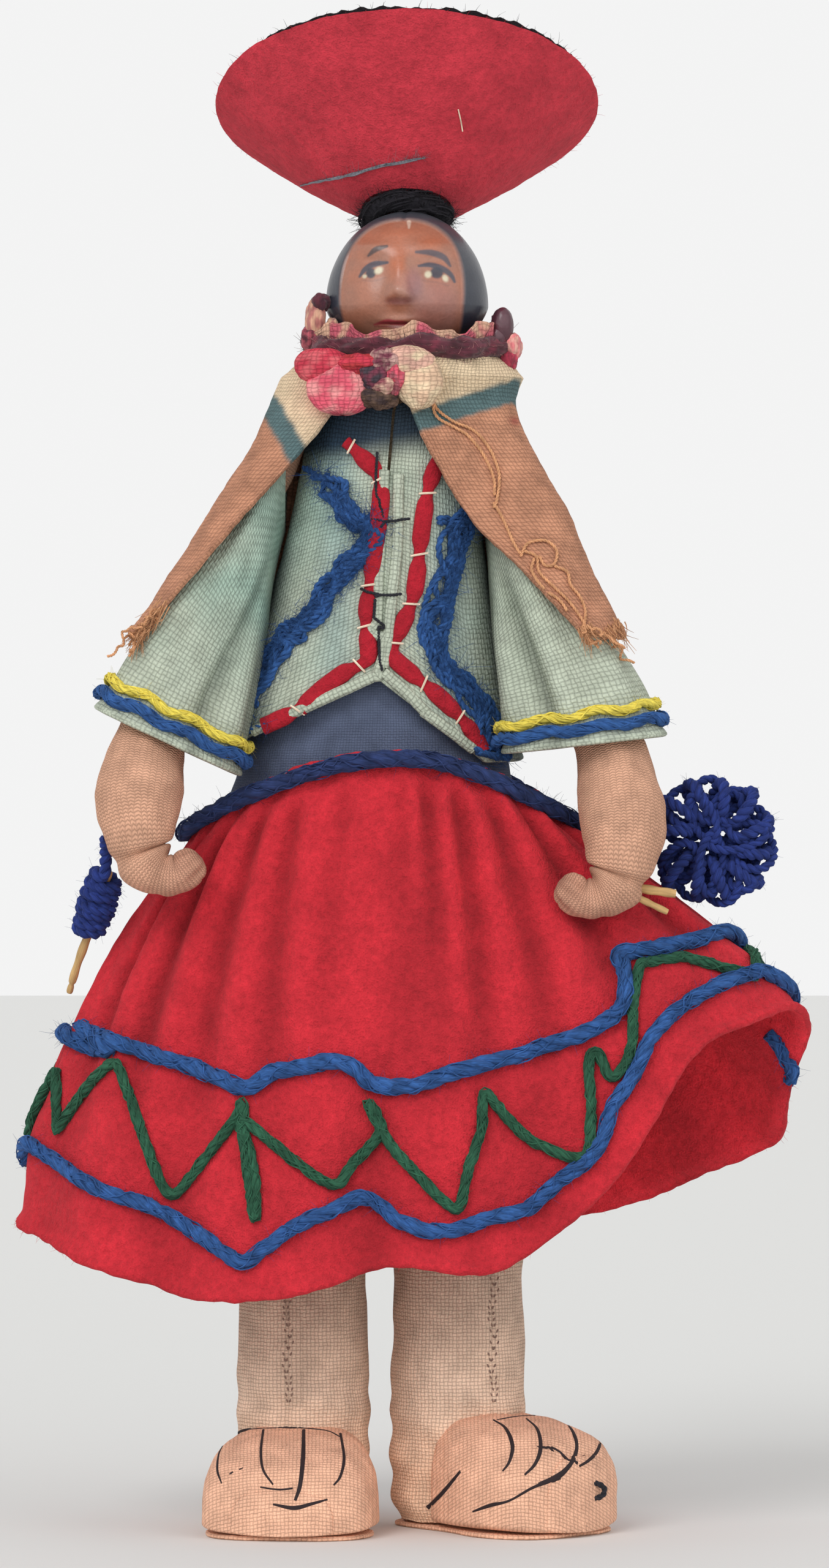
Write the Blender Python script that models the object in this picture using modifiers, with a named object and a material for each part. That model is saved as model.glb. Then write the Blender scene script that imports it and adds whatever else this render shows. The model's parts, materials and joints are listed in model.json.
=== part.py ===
"""Builds a stuffed cloth doll of a highland woman spinning wool, standing on its own feet.

The doll faces -Y and stands on Z = 0. Its own right hand is at -X and its left hand at +X.
Lengths are in metres; the shapes are lofts, thickened sheets and yarns that follow them.
"""

import math

import bmesh
import bpy
from mathutils import Matrix, Vector

MM = 0.001
FULL_TURN = 2 * math.pi
RIGHT, LEFT = -1, 1  # the doll's own sides, as signs along X
SIDES = {RIGHT: "right", LEFT: "left"}

# Clearances that the pieces keep to each other
SEAT_GAP = 0.3 * MM
CLOTH_GAP = 0.4 * MM
LAID_GAP = 0.35 * MM
SLEEVE_GAP = 0.7 * MM
TURNING_GAP = 0.5 * MM
SHOULDER_GAP = 1.2 * MM
CUT_OVERRUN = 4 * MM

# Heights that the pieces share
HIP_BALL_Z = 90 * MM
LEG_RADIUS_RIGHT = 11 * MM
LEG_RADIUS_LEFT = 11.2 * MM
HIP_Z = HIP_BALL_Z + LEG_RADIUS_LEFT + SEAT_GAP
TORSO_HEIGHT = 92 * MM
NECK_TOP_Z = HIP_Z + TORSO_HEIGHT
SHOULDER_DROP = 12.5 * MM
SHOULDER_Z = NECK_TOP_Z - SHOULDER_DROP
WAIST_RISE = 24.5 * MM
WAIST_Z = HIP_Z + WAIST_RISE
WRIST_DROP_RIGHT = 14 * MM
WRIST_DROP_LEFT = 18 * MM
WRIST_Z = {RIGHT: WAIST_Z - WRIST_DROP_RIGHT, LEFT: WAIST_Z - WRIST_DROP_LEFT}

# Stuffed torso
TORSO_HALF_WIDTH = 26 * MM
TORSO_HALF_DEPTH = 13 * MM
TORSO_LEAN = 3 * MM
NECK_X = 2.5 * MM
# height, half width, half depth and lean, as shares of the four sizes above
TORSO_SHARES = (
    (0.00, 0.84, 0.81, -0.73),
    (0.03, 0.92, 0.95, -0.83),
    (0.11, 0.95, 1.00, -1.00),
    (0.20, 0.89, 0.97, -1.00),
    (0.29, 0.80, 0.92, -1.00),
    (0.42, 0.69, 0.86, -0.87),
    (0.55, 0.60, 0.81, -0.67),
    (0.69, 0.51, 0.77, -0.40),
    (0.81, 0.46, 0.70, -0.13),
    (0.90, 0.45, 0.62, 0.10),
    (0.95, 0.40, 0.54, 0.40),
    (0.98, 0.32, 0.45, 0.70),
    (1.00, 0.23, 0.36, 0.80),
)

# Neck peg and moulded head
PEG_RADIUS = 2.2 * MM
PEG_IN_TORSO = 12 * MM
PEG_IN_HEAD = 11 * MM
HEAD_HALF_WIDTH = 13.1 * MM
HEAD_HALF_DEPTH = 11.2 * MM
HEAD_HALF_HEIGHT = 12 * MM
HEAD_FORWARD = 0.5 * MM
JAW_TAPER_SHARE = 0.16
FACE_FLAT_SHARE = 0.10
NOSE_OUT = 1.5 * MM
NOSE_WIDTH = 3.2 * MM
NOSE_HEIGHT = 5.5 * MM
NOSE_DROP = 1.5 * MM
FACE_TURN = math.radians(-7)

# Hat: a felt dish on a wool pad, tipped back on the crown of the head
HAT_TILT = math.radians(23.6)
HAT_RIM_RADIUS = 31.8 * MM
HAT_BASE_RADIUS = 8 * MM
HAT_HEIGHT = 19.4 * MM
HAT_FELT = 1.5 * MM
HAT_BULGE = 0.8 * MM
LINING_FELT = 1.0 * MM
LINING_STAND = 1.0 * MM
PAD_RING_RADIUS = 6 * MM
PAD_THICKNESS = 3.0 * MM
PAD_SEAT = 0.7 * MM

# Bodice: the cloth band that shows under the jacket
BODICE_HEIGHT_SHARES = (0.03, 0.11, 0.20, 0.29, 0.42, 0.55, 0.69)
BODICE_CLOTH = 0.7 * MM

# Jacket body
JACKET_CLOTH = 1.0 * MM
JACKET_EASE_TOP = 1.5 * MM
JACKET_EASE_HEM = 2.7 * MM
JACKET_HEM_RISE = 1 * MM
JACKET_HEM_Z = WAIST_Z + JACKET_HEM_RISE
JACKET_APEX_RISE = 14 * MM
JACKET_BACK_RISE = 3 * MM
JACKET_TOP_DROP = 5.5 * MM
JACKET_TOP_Z = NECK_TOP_Z - JACKET_TOP_DROP
NECKLINE_DROP = 10 * MM
JACKET_OPENING = 0.8 * MM
JACKET_V_ANGLES = {RIGHT: math.radians(78), LEFT: math.radians(48)}
NECKLINE_ANGLE = math.radians(48)
ARMHOLE_RADIUS = 5.6 * MM

# Trims on the jacket fronts: places across and up, as shares of the jacket's half width and height
FELT_STRIP_WIDTH = 3.0 * MM
FELT_STRIP_THICKNESS = 0.8 * MM
COUCHED_YARN_RADIUS = 0.9 * MM
RIGHT_FELT_SHARES = (
    (-0.45, 0.83), (-0.29, 0.80), (-0.17, 0.74), (-0.13, 0.66), (-0.15, 0.55), (-0.20, 0.46),
    (-0.23, 0.37), (-0.24, 0.29), (-0.31, 0.24), (-0.48, 0.205), (-0.68, 0.135), (-0.86, 0.085),
)
LEFT_FELT_SHARES = (
    (0.46, 0.83), (0.36, 0.79), (0.26, 0.73), (0.25, 0.66), (0.27, 0.57), (0.20, 0.48),
    (0.16, 0.39), (0.16, 0.31), (0.25, 0.245), (0.40, 0.19), (0.54, 0.115),
)
RIGHT_YARN_SHARES = (
    (-0.72, 0.82), (-0.58, 0.76), (-0.42, 0.68), (-0.34, 0.60), (-0.42, 0.52), (-0.56, 0.46),
    (-0.60, 0.40), (-0.74, 0.36), (-0.86, 0.29), (-0.92, 0.20),
)
LEFT_YARN_SHARES = (
    (0.72, 0.80), (0.62, 0.73), (0.55, 0.66), (0.46, 0.58), (0.40, 0.49), (0.38, 0.40),
    (0.46, 0.33), (0.58, 0.27), (0.72, 0.19),
)

# Sleeves
SLEEVE_CLOTH = 0.9 * MM
SLEEVE_TOP_DROP = 5 * MM
SLEEVE_TOP_Z = NECK_TOP_Z - SLEEVE_TOP_DROP
UNDERARM_DROP = 16 * MM
UNDERARM_Z = SHOULDER_Z - UNDERARM_DROP
CUFF_REACH_RIGHT = 48.3 * MM
CUFF_REACH_LEFT = 44.7 * MM
CUFF_REACH = {RIGHT: CUFF_REACH_RIGHT, LEFT: CUFF_REACH_LEFT}
CUFF_OUTER_RISE_RIGHT = 26.8 * MM
CUFF_OUTER_RISE_LEFT = 26.5 * MM
CUFF_OUTER_Z = {RIGHT: WRIST_Z[RIGHT] + CUFF_OUTER_RISE_RIGHT, LEFT: WRIST_Z[LEFT] + CUFF_OUTER_RISE_LEFT}
CUFF_INNER_RISE_RIGHT = 13 * MM
CUFF_INNER_RISE_LEFT = 20.5 * MM
CUFF_INNER_Z = {RIGHT: WRIST_Z[RIGHT] + CUFF_INNER_RISE_RIGHT, LEFT: WRIST_Z[LEFT] + CUFF_INNER_RISE_LEFT}
CUFF_INNER_X_RIGHT = 27 * MM
CUFF_INNER_X_LEFT = 22.5 * MM
CUFF_INNER_X = {RIGHT: CUFF_INNER_X_RIGHT, LEFT: CUFF_INNER_X_LEFT}
SLEEVE_TOP_X = 17.2 * MM
SLEEVE_HALF_DEPTH = 8 * MM
CUFF_HALF_DEPTH = 11.5 * MM
CUFF_FORWARD = 13 * MM
SLEEVE_FOLD = 0.7 * MM
SLEEVE_FOLDS = 3
# the outer edge, as shares of its run outwards and of its drop
SLEEVE_EDGE_SHARES = ((0, 0), (0.10, 0.17), (0.24, 0.33), (0.45, 0.52), (0.70, 0.72), (0.88, 0.87), (1, 1))
CUFF_YARN_RADIUS = 1.0 * MM
CUFF_ROOM = 2.4 * MM
YELLOW_YARN_SHARE = 0.87
BLUE_YARN_SHARE = 0.94

# Arms, with a wire inside
ARM_WIRE_RADIUS = 0.6 * MM
ARM_BORE_GAP = 0.4 * MM
WIRE_IN_TORSO = 5 * MM
ARM_REACH_RIGHT = 41.3 * MM
ARM_REACH_LEFT = 37.7 * MM
ARM_REACH = {RIGHT: ARM_REACH_RIGHT, LEFT: ARM_REACH_LEFT}
ARM_DROP = {RIGHT: SHOULDER_Z - WRIST_Z[RIGHT], LEFT: SHOULDER_Z - WRIST_Z[LEFT]}
ARM_FORWARD = 22.5 * MM
ARM_GIRTH = 7.2 * MM
SHOULDER_DEEPER_SHARE = 0.25
HAND_CURL = 9 * MM
# run outwards, forward, drop and radius, as shares of the sizes above, from the shoulder to the wrist
ARM_SHARES = (
    (0.00, 0.00, 0.00, 0.30),
    (0.11, 0.02, 0.02, 0.30),
    (0.19, 0.07, 0.09, 0.33),
    (0.28, 0.14, 0.20, 0.40),
    (0.45, 0.25, 0.37, 0.55),
    (0.72, 0.48, 0.55, 0.70),
    (0.92, 0.65, 0.71, 0.78),
    (1.00, 0.86, 0.86, 1.00),
    (1.00, 0.97, 0.95, 0.84),
)
# the curled end, as shares of the curl inwards, forwards and down, and of the arm's girth
HAND_SHARES = (
    (0.08, 0.03, 0.43, 0.67),
    (0.34, 0.08, 0.73, 0.54),
    (0.71, 0.11, 0.79, 0.44),
    (0.99, 0.12, 0.61, 0.35),
)

# Spindle hanging from the right hand
SPINDLE_RADIUS = 0.9 * MM
SPINDLE_TIP_RADIUS = 0.6 * MM
SPINDLE_OUT = 6.8 * MM
SPINDLE_BACK = 9 * MM
SPINDLE_DOWN = 20.5 * MM
SPUN_YARN_RADIUS = 1.1 * MM
SPUN_TURNS = 4
SPUN_GAP = 0.8 * MM
# the way from the wrist to the yarn's start: outwards, back and down
LEAD_SHARES = (0.72, 0.66, 0.12)
LEAD_RUN_BACK = 6 * MM
LEAD_RUN_DOWN = 5.5 * MM

# Hank in the left hand
HANK_YARN_RADIUS = 1.1 * MM
HANK_LOOPS = 8
HANK_RING_RADIUS = 6.9 * MM
HANK_LOOP_RADIUS = 3.1 * MM
HANK_OUT = 15.2 * MM
HANK_BEHIND_HAND = 14.5 * MM
HANK_ABOVE_HAND = 2.2 * MM
HANK_SPREAD = math.radians(338)
HANK_START = math.radians(195)
POINTS_PER_LOOP = 20
POINTS_PER_TURN = 10

# Short twig in the left hand that the hank hangs by
TWIG_RADIUS = 0.8 * MM
TWIG_LENGTH = 8 * MM
TWIG_INSIDE = 4 * MM
TWIG_BELOW_WRIST = 5.2 * MM
TWIG_DROP = 1.2 * MM

# Shawl over the shoulders
SHAWL_CLOTH = 0.9 * MM
SHAWL_EASE = 1.3 * MM
SHAWL_ABOVE_CUFF = 9.2 * MM
SHAWL_BOTTOM_Z = CUFF_OUTER_Z[RIGHT] + SHAWL_ABOVE_CUFF
SHAWL_SHOULDER_DROP = 3 * MM
SHAWL_SHOULDER_Z = NECK_TOP_Z - SHAWL_SHOULDER_DROP
SHAWL_NECK_Z = NECK_TOP_Z
SHAWL_SHOULDER_HALF_WIDTH = 18 * MM
SHAWL_SHOULDER_HALF_DEPTH = 11.5 * MM
SHAWL_NECK_HALF_WIDTH = 15.4 * MM
SHAWL_NECK_HALF_DEPTH = 12.6 * MM
SHAWL_NECK_RISE = 3 * MM
# height between bottom and shoulder, right edge and left edge as shares of the cuffs' reach
SHAWL_EDGE_SHARES = (
    (0.00, -0.84, 0.73),
    (0.20, -0.72, 0.57),
    (0.40, -0.60, 0.38),
    (0.61, -0.47, 0.23),
    (0.82, -0.31, 0.10),
    (1.00, -0.12, 0.03),
)
SHAWL_NECK_EDGE_SHARES = (-0.05, 0.03)
SHAWL_FOLD = 0.8 * MM
SHAWL_FOLDS = 5
NECK_ROLL_RADIUS = 1.8 * MM

# Skirt
SKIRT_FELT = 1.5 * MM
WAIST_SIDE_DROP = 12 * MM
WAIST_HALF_WIDTH_RIGHT = 33 * MM
WAIST_HALF_WIDTH_LEFT = 31.5 * MM
WAIST_HALF_WIDTH = {RIGHT: WAIST_HALF_WIDTH_RIGHT, LEFT: WAIST_HALF_WIDTH_LEFT}
WAIST_HALF_DEPTH = 17.2 * MM
SKIRT_HEADER = 2.2 * MM
HEM_Z = 40 * MM
HEM_LIFT = 46.5 * MM
HEM_REACH_RIGHT = 62.3 * MM
HEM_REACH_LEFT = 69.5 * MM
HEM_REACH = {RIGHT: HEM_REACH_RIGHT, LEFT: HEM_REACH_LEFT}
HEM_HALF_DEPTH = 36 * MM
SKIRT_BULGE_RIGHT = 6.5 * MM
SKIRT_BULGE_LEFT = 3.5 * MM
SKIRT_BULGE = {RIGHT: SKIRT_BULGE_RIGHT, LEFT: SKIRT_BULGE_LEFT}
SKIRT_BULGE_DEPTH = 1.5 * MM
FOLD_DEPTH = 4.2 * MM
# the hem's height every 15 degrees, from the front round by the doll's left, as shares of the lift
HEM_RISE_SHARES = (
    0.12, 0.11, 0.37, 0.83, 0.97, 1.00, 0.85, 0.57, 0.44, 0.33, 0.23, 0.18,
    0.17, 0.17, 0.17, 0.19, 0.21, 0.22, 0.23, 0.20, 0.14, 0.07, 0.00, 0.02,
)
# each fold's middle and half width in degrees, and its depth as a share of the fold depth
SKIRT_FOLDS_SHARES = (
    (-3, 7, 0.9), (22, 9, 0.7), (-38, 9, 0.6), (-68, 10, 0.5), (48, 9, 0.35), (98, 10, 0.7),
    (128, 9, 0.8), (156, 9, 0.7), (182, 9, 0.8), (208, 9, 0.7), (236, 9, 0.7), (262, 10, 0.5),
)
SKIRT_COLUMNS = 60
SKIRT_ROWS = 7
SKIRT_YARN_RADIUS = 1.35 * MM
WAIST_YARN_RADIUS = 1.5 * MM
ZIGZAG_YARN_RADIUS = 1.1 * MM
ZIGZAG_TEETH = 15
ZIGZAG_MARGIN = 1.7
# the places of the two blue yarns down the skirt, every 30 degrees from the front, as shares
UPPER_YARN_SHARES = (0.62, 0.62, 0.61, 0.60, 0.60, 0.60, 0.60, 0.60, 0.56, 0.51, 0.54, 0.60)
LOWER_YARN_SHARES = (0.92, 0.92, 0.90, 0.88, 0.90, 0.91, 0.91, 0.90, 0.88, 0.84, 0.88, 0.92)

# Legs and feet
LEG_X_RIGHT = -14.7 * MM
LEG_X_LEFT = 11 * MM
LEG_X = {RIGHT: LEG_X_RIGHT, LEFT: LEG_X_LEFT}
LEG_RADIUS = {RIGHT: LEG_RADIUS_RIGHT, LEFT: LEG_RADIUS_LEFT}
LEG_DEPTH_SHARE = 0.92
SOLE_THICKNESS = 0.8 * MM
# height and radius, as shares of the hip ball's height and the leg's radius
LEG_SHARES = (
    (0.00, 0.84), (0.05, 0.97), (0.14, 1.00), (0.28, 0.99), (0.48, 0.95), (0.70, 0.97), (1.00, 1.00),
)
LEG_CROWN_ANGLES = (30, 55, 76)
FOOT_TURN = {RIGHT: math.radians(-7), LEFT: math.radians(47)}
FOOT_LENGTH_RIGHT = 26 * MM
FOOT_LENGTH_LEFT = 27 * MM
FOOT_LENGTH = {RIGHT: FOOT_LENGTH_RIGHT, LEFT: FOOT_LENGTH_LEFT}
FOOT_HALF_WIDTH_RIGHT = 14.5 * MM
FOOT_HALF_WIDTH_LEFT = 13.6 * MM
FOOT_HALF_WIDTH = {RIGHT: FOOT_HALF_WIDTH_RIGHT, LEFT: FOOT_HALF_WIDTH_LEFT}
FOOT_HEIGHT_RIGHT = 16.5 * MM
FOOT_HEIGHT_LEFT = 18.5 * MM
FOOT_HEIGHT = {RIGHT: FOOT_HEIGHT_RIGHT, LEFT: FOOT_HEIGHT_LEFT}
FOOT_START = 4 * MM
# length, half width and height, as shares, from the instep to the toes
FOOT_SHARES = (
    (0.00, 0.80, 1.00), (0.22, 0.93, 1.00), (0.45, 1.00, 0.93), (0.65, 0.98, 0.82),
    (0.81, 0.94, 0.70), (0.93, 0.82, 0.56), (1.00, 0.58, 0.36),
)
# the sole's outline from heel to toe, as shares of the foot's length and half width
HEEL_BACK_SHARE = 0.36
SOLE_SHARES = (
    (0.00, 0.30), (0.06, 0.52), (0.20, 0.64), (0.45, 0.74),
    (0.68, 0.94), (0.84, 0.90), (0.95, 0.72), (1.00, 0.42),
)

# Number of facets round each form
TORSO_SIDES = 20
ARM_SIDES = 10
LEG_SIDES = 16
FOOT_SIDES = 14
SLEEVE_SIDES = 18
SLEEVE_ROWS = 8
JACKET_COLUMNS = 36
JACKET_ROWS = 9
SHAWL_COLUMNS = 37
HEAD_SEGMENTS = 22
HEAD_RINGS = 14
HAT_STEPS = 36
PAD_SIDES = 8
ROLL_POINTS = 36
HULL_SAMPLES = 120
SLICE_ROWS = 24
SLICE_ANGLES = 72
YARN_SIDES_RESOLUTION = 1
ARM_STEPS = 2
SMOOTH_ANGLE = math.radians(50)
MERGE_DISTANCE = 0.01 * MM
PIVOT_MARK = 10 * MM

# Colours as linear values, with roughness
FINISHES = {
    "muslin": ((0.43, 0.30, 0.22), 0.95),
    "knit": ((0.67, 0.40, 0.27), 0.95),
    "wood": ((0.44, 0.28, 0.12), 0.7),
    "wire": ((0.30, 0.28, 0.26), 0.45),
    "painted_head": ((0.30, 0.11, 0.07), 0.35),
    "hat_felt": ((0.51, 0.03, 0.05), 0.95),
    "black_wool": ((0.02, 0.02, 0.022), 0.95),
    "bodice_cloth": ((0.11, 0.14, 0.20), 0.9),
    "sage_cloth": ((0.34, 0.39, 0.32), 0.9),
    "trim_felt": ((0.42, 0.02, 0.035), 0.9),
    "blue_yarn": ((0.03, 0.09, 0.27), 0.95),
    "navy_yarn": ((0.015, 0.02, 0.14), 0.95),
    "yellow_yarn": ((0.75, 0.60, 0.08), 0.95),
    "green_yarn": ((0.03, 0.11, 0.06), 0.95),
    "shawl_cloth": ((0.38, 0.17, 0.09), 0.9),
    "maroon_yarn": ((0.08, 0.015, 0.025), 0.9),
    "skirt_felt": ((0.58, 0.02, 0.035), 0.95),
}


def clear_scene():
    """Remove every object that the file opens with."""
    for thing in list(bpy.data.objects):
        bpy.data.objects.remove(thing, do_unlink=True)


def new_collection(name):
    """Make a collection in the scene."""
    collection = bpy.data.collections.new(name)
    bpy.context.scene.collection.children.link(collection)
    return collection


def finish(name):
    """Return the material of that name, making it on first use."""
    found = bpy.data.materials.get(name)
    if found:
        return found
    colour, roughness = FINISHES[name]
    made = bpy.data.materials.new(name)
    made.use_nodes = True
    shader = made.node_tree.nodes["Principled BSDF"]
    shader.inputs["Base Color"].default_value = (*colour, 1)
    shader.inputs["Roughness"].default_value = roughness
    shader.inputs["Metallic"].default_value = 1.0 if name == "wire" else 0.0
    made.diffuse_color = (*colour, 1)
    return made


def place(data, name, finish_name):
    """Put mesh or curve data into the doll's collection under the doll's root."""
    thing = bpy.data.objects.new(name, data)
    bpy.data.collections["spinner_doll"].objects.link(thing)
    thing.parent = bpy.data.objects["doll_root"]
    data.materials.append(finish(finish_name))
    return thing


def new_pivot(name, at, carrier="doll_root", carrier_at=Vector()):
    """Put an empty on a joint's axis, at a place in the doll's frame."""
    pivot = bpy.data.objects.new(name, None)
    bpy.data.collections["spinner_doll"].objects.link(pivot)
    pivot.empty_display_size = PIVOT_MARK
    pivot.parent = bpy.data.objects[carrier]
    pivot.location = at - carrier_at
    return pivot


def hang_on(pivot, at, names):
    """Parent pieces to the pivot that turns them and leave them where they are."""
    for name in names:
        thing = bpy.data.objects[name]
        thing.parent = pivot
        thing.matrix_parent_inverse = Matrix.Translation(-at)


def shade(mesh):
    """Shade a mesh smooth but for its sharp edges."""
    mesh.shade_smooth()
    mesh.set_sharp_from_angle(angle=SMOOTH_ANGLE)


def read_table(table, at):
    """Read a table of rows whose first value rises, between its rows."""
    if at <= table[0][0]:
        return table[0][1:]
    for low, high in zip(table, table[1:]):
        if at <= high[0]:
            part = (at - low[0]) / (high[0] - low[0])
            return tuple(a + (b - a) * part for a, b in zip(low[1:], high[1:]))
    return table[-1][1:]


def read_round(values, angle):
    """Read values spaced evenly round a turn, on a smooth curve through them."""
    count = len(values)
    place_in = (angle / FULL_TURN * count) % count
    first = int(place_in)
    part = place_in - first
    before, here, after, later = (values[(first + k) % count] for k in (-1, 0, 1, 2))
    slope_here, slope_after = (after - before) / 2, (later - here) / 2
    return (
        here * (2 * part**3 - 3 * part**2 + 1)
        + slope_here * (part**3 - 2 * part**2 + part)
        + after * (3 * part**2 - 2 * part**3)
        + slope_after * (part**3 - part**2)
    )


def smooth_route(points, steps):
    """Return a denser route on a smooth curve through the points."""
    route = []
    padded = [points[0] * 2 - points[1], *points, points[-1] * 2 - points[-2]]
    for before, here, after, later in zip(padded, padded[1:], padded[2:], padded[3:]):
        for step in range(steps):
            part = step / steps
            route.append(
                here * (2 * part**3 - 3 * part**2 + 1)
                + (after - before) / 2 * (part**3 - 2 * part**2 + part)
                + after * (3 * part**2 - 2 * part**3)
                + (later - here) / 2 * (part**3 - part**2)
            )
    route.append(points[-1])
    return route


def loft(name, rings, finish_name, to_collection=None):
    """Skin rings of equal count into one closed body, capped at both ends."""
    bm = bmesh.new()
    rows = [[bm.verts.new(point) for point in ring] for ring in rings]
    for lower, upper in zip(rows, rows[1:]):
        for k, corner in enumerate(lower):
            after = (k + 1) % len(lower)
            bm.faces.new((corner, lower[after], upper[after], upper[k]))
    bm.faces.new(rows[0][::-1])
    bm.faces.new(rows[-1])
    bmesh.ops.recalc_face_normals(bm, faces=bm.faces)
    mesh = bpy.data.meshes.new(name)
    bm.to_mesh(mesh)
    bm.free()
    shade(mesh)
    if to_collection:
        thing = bpy.data.objects.new(name, mesh)
        to_collection.objects.link(thing)
        thing.parent = bpy.data.objects["doll_root"]
        return thing
    return place(mesh, name, finish_name)


def cloth(name, grid, thickness, finish_name, closed, flip=False):
    """Make a sheet through a grid of points, rows from bottom to top, thickened inwards."""
    bm = bmesh.new()
    rows = [[bm.verts.new(point) for point in row] for row in grid]
    columns = len(grid[0])
    for lower, upper in zip(rows, rows[1:]):
        for k in range(columns if closed else columns - 1):
            after = (k + 1) % columns
            corners = [lower[k], lower[after], upper[after], upper[k]]
            bm.faces.new(corners[::-1] if flip else corners)
    mesh = bpy.data.meshes.new(name)
    bm.to_mesh(mesh)
    bm.free()
    shade(mesh)
    sheet = place(mesh, name, finish_name)
    solidify = sheet.modifiers.new("cloth_thickness", "SOLIDIFY")
    solidify.thickness = thickness
    solidify.offset = -1
    solidify.use_quality_normals = True
    return sheet


def yarn(name, points, radius, finish_name, closed=False):
    """Lay a yarn of one thickness through points."""
    curve = bpy.data.curves.new(name, "CURVE")
    curve.dimensions = "3D"
    curve.bevel_depth = radius
    curve.bevel_resolution = YARN_SIDES_RESOLUTION
    curve.use_fill_caps = not closed
    spline = curve.splines.new("POLY")
    spline.points.add(len(points) - 1)
    for knot, point in zip(spline.points, points):
        knot.co = (*point, 1)
    spline.use_cyclic_u = closed
    return place(curve, name, finish_name)


def cut(target, cutter):
    """Take a cutter's shape out of a piece and keep the cutter out of sight."""
    cutter.hide_render = True
    cutter.display_type = "WIRE"
    boolean = target.modifiers.new(cutter.name, "BOOLEAN")
    boolean.operation = "DIFFERENCE"
    boolean.solver = "EXACT"
    boolean.object = cutter


def rod_mesh(name, start, end, radius, end_radius, sides):
    """Make a round rod between two points, tapering to its end radius."""
    axis = end - start
    bm = bmesh.new()
    bmesh.ops.create_cone(
        bm, cap_ends=True, segments=sides, radius1=radius, radius2=end_radius, depth=axis.length
    )
    bm.transform(axis.to_track_quat("Z", "Y").to_matrix().to_4x4())
    bm.transform(Matrix.Translation((start + end) / 2))
    mesh = bpy.data.meshes.new(name)
    bm.to_mesh(mesh)
    bm.free()
    shade(mesh)
    return mesh


def rod(name, start, end, radius, end_radius, finish_name, sides=TORSO_SIDES):
    """Make a round wooden piece between two points."""
    return place(rod_mesh(name, start, end, radius, end_radius, sides), name, finish_name)


def rod_cutter(name, start, end, radius, sides=TORSO_SIDES):
    """Make a round cutter between two points."""
    cutter = bpy.data.objects.new(name, rod_mesh(name, start, end, radius, radius, sides))
    bpy.data.collections["cutters"].objects.link(cutter)
    cutter.parent = bpy.data.objects["doll_root"]
    return cutter


def tube_rings(points, radii, sides, deeper=0.0):
    """Rings square to a route, turned as little as possible; deeper widens the first in Y, fading out."""
    rings = []
    across = Vector((0, 1, 0))
    for k, (point, radius) in enumerate(zip(points, radii)):
        before, after = points[max(k - 1, 0)], points[min(k + 1, len(points) - 1)]
        ahead = (after - before).normalized()
        across = (across - ahead * across.dot(ahead)).normalized()
        third = ahead.cross(across)
        widen = 1 + deeper * max(1 - 2 * k / len(points), 0)
        ring = []
        for side in range(sides):
            angle = FULL_TURN * side / sides
            ring.append(point + (across * math.cos(angle) * widen + third * math.sin(angle)) * radius)
        rings.append(ring)
    return rings


# Torso and what follows its shape


def torso_size(z):
    """Half width, half depth and middle of the torso at a height."""
    width, depth, lean = read_table(TORSO_SHARES, (z - HIP_Z) / TORSO_HEIGHT)
    return width * TORSO_HALF_WIDTH, depth * TORSO_HALF_DEPTH, lean * TORSO_LEAN


def torso_point(angle, z, lift):
    """Point on the torso's skin, raised by lift; the angle runs from the front towards +X."""
    half_width, half_depth, middle = torso_size(z)
    return Vector(
        (middle + math.sin(angle) * (half_width + lift), -math.cos(angle) * (half_depth + lift), z)
    )


def jacket_lift(z):
    """How far the jacket's outer face stands off the torso at a height."""
    share = min(max((JACKET_TOP_Z - z) / (JACKET_TOP_Z - JACKET_HEM_Z), 0), 1)
    return JACKET_EASE_TOP + (JACKET_EASE_HEM - JACKET_EASE_TOP) * share + JACKET_CLOTH


def jacket_side(side, z, forward=0.0):
    """How far the jacket reaches to one side at a height, a distance forward of its middle."""
    half_width, half_depth, middle = torso_size(z)
    lift = jacket_lift(z)
    ahead = min(abs(forward) / (half_depth + lift), 1)
    return side * middle + (half_width + lift) * math.sqrt(1 - ahead * ahead)


def arm_start(side):
    """How far out an arm begins, clear of the torso's side below the shoulder."""
    half_width, _, middle = torso_size(SHOULDER_Z - ARM_GIRTH * ARM_SHARES[0][3])
    return half_width + side * middle + SHOULDER_GAP


def shoulder_bore(side):
    """Start and end of the bore that the arm's wire turns in."""
    inner = Vector((side * (arm_start(side) - WIRE_IN_TORSO - TURNING_GAP), 0, SHOULDER_Z))
    return inner, Vector((side * (arm_start(side) + CUT_OVERRUN), 0, SHOULDER_Z))


def head_centre():
    """Middle of the head, over the top of the neck."""
    return Vector((NECK_X, -HEAD_FORWARD, NECK_TOP_Z + SEAT_GAP + HEAD_HALF_HEIGHT))


def build_torso():
    """The stuffed body, bored for the neck peg and the two arm wires."""
    rings = []
    for height_share, *_ in TORSO_SHARES:
        z = HIP_Z + TORSO_HEIGHT * height_share
        rings.append([torso_point(FULL_TURN * k / TORSO_SIDES, z, 0) for k in range(TORSO_SIDES)])
    torso = loft("torso", rings, "muslin")
    peg_foot = Vector((NECK_X, 0, NECK_TOP_Z - PEG_IN_TORSO - SEAT_GAP))
    peg_top = Vector((NECK_X, 0, NECK_TOP_Z + CUT_OVERRUN))
    cut(torso, rod_cutter("cut_neck", peg_foot, peg_top, PEG_RADIUS + SEAT_GAP))
    for side, side_name in SIDES.items():
        cut(torso, rod_cutter(f"cut_wire_{side_name}", *shoulder_bore(side), ARM_WIRE_RADIUS + ARM_BORE_GAP, 8))


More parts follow.
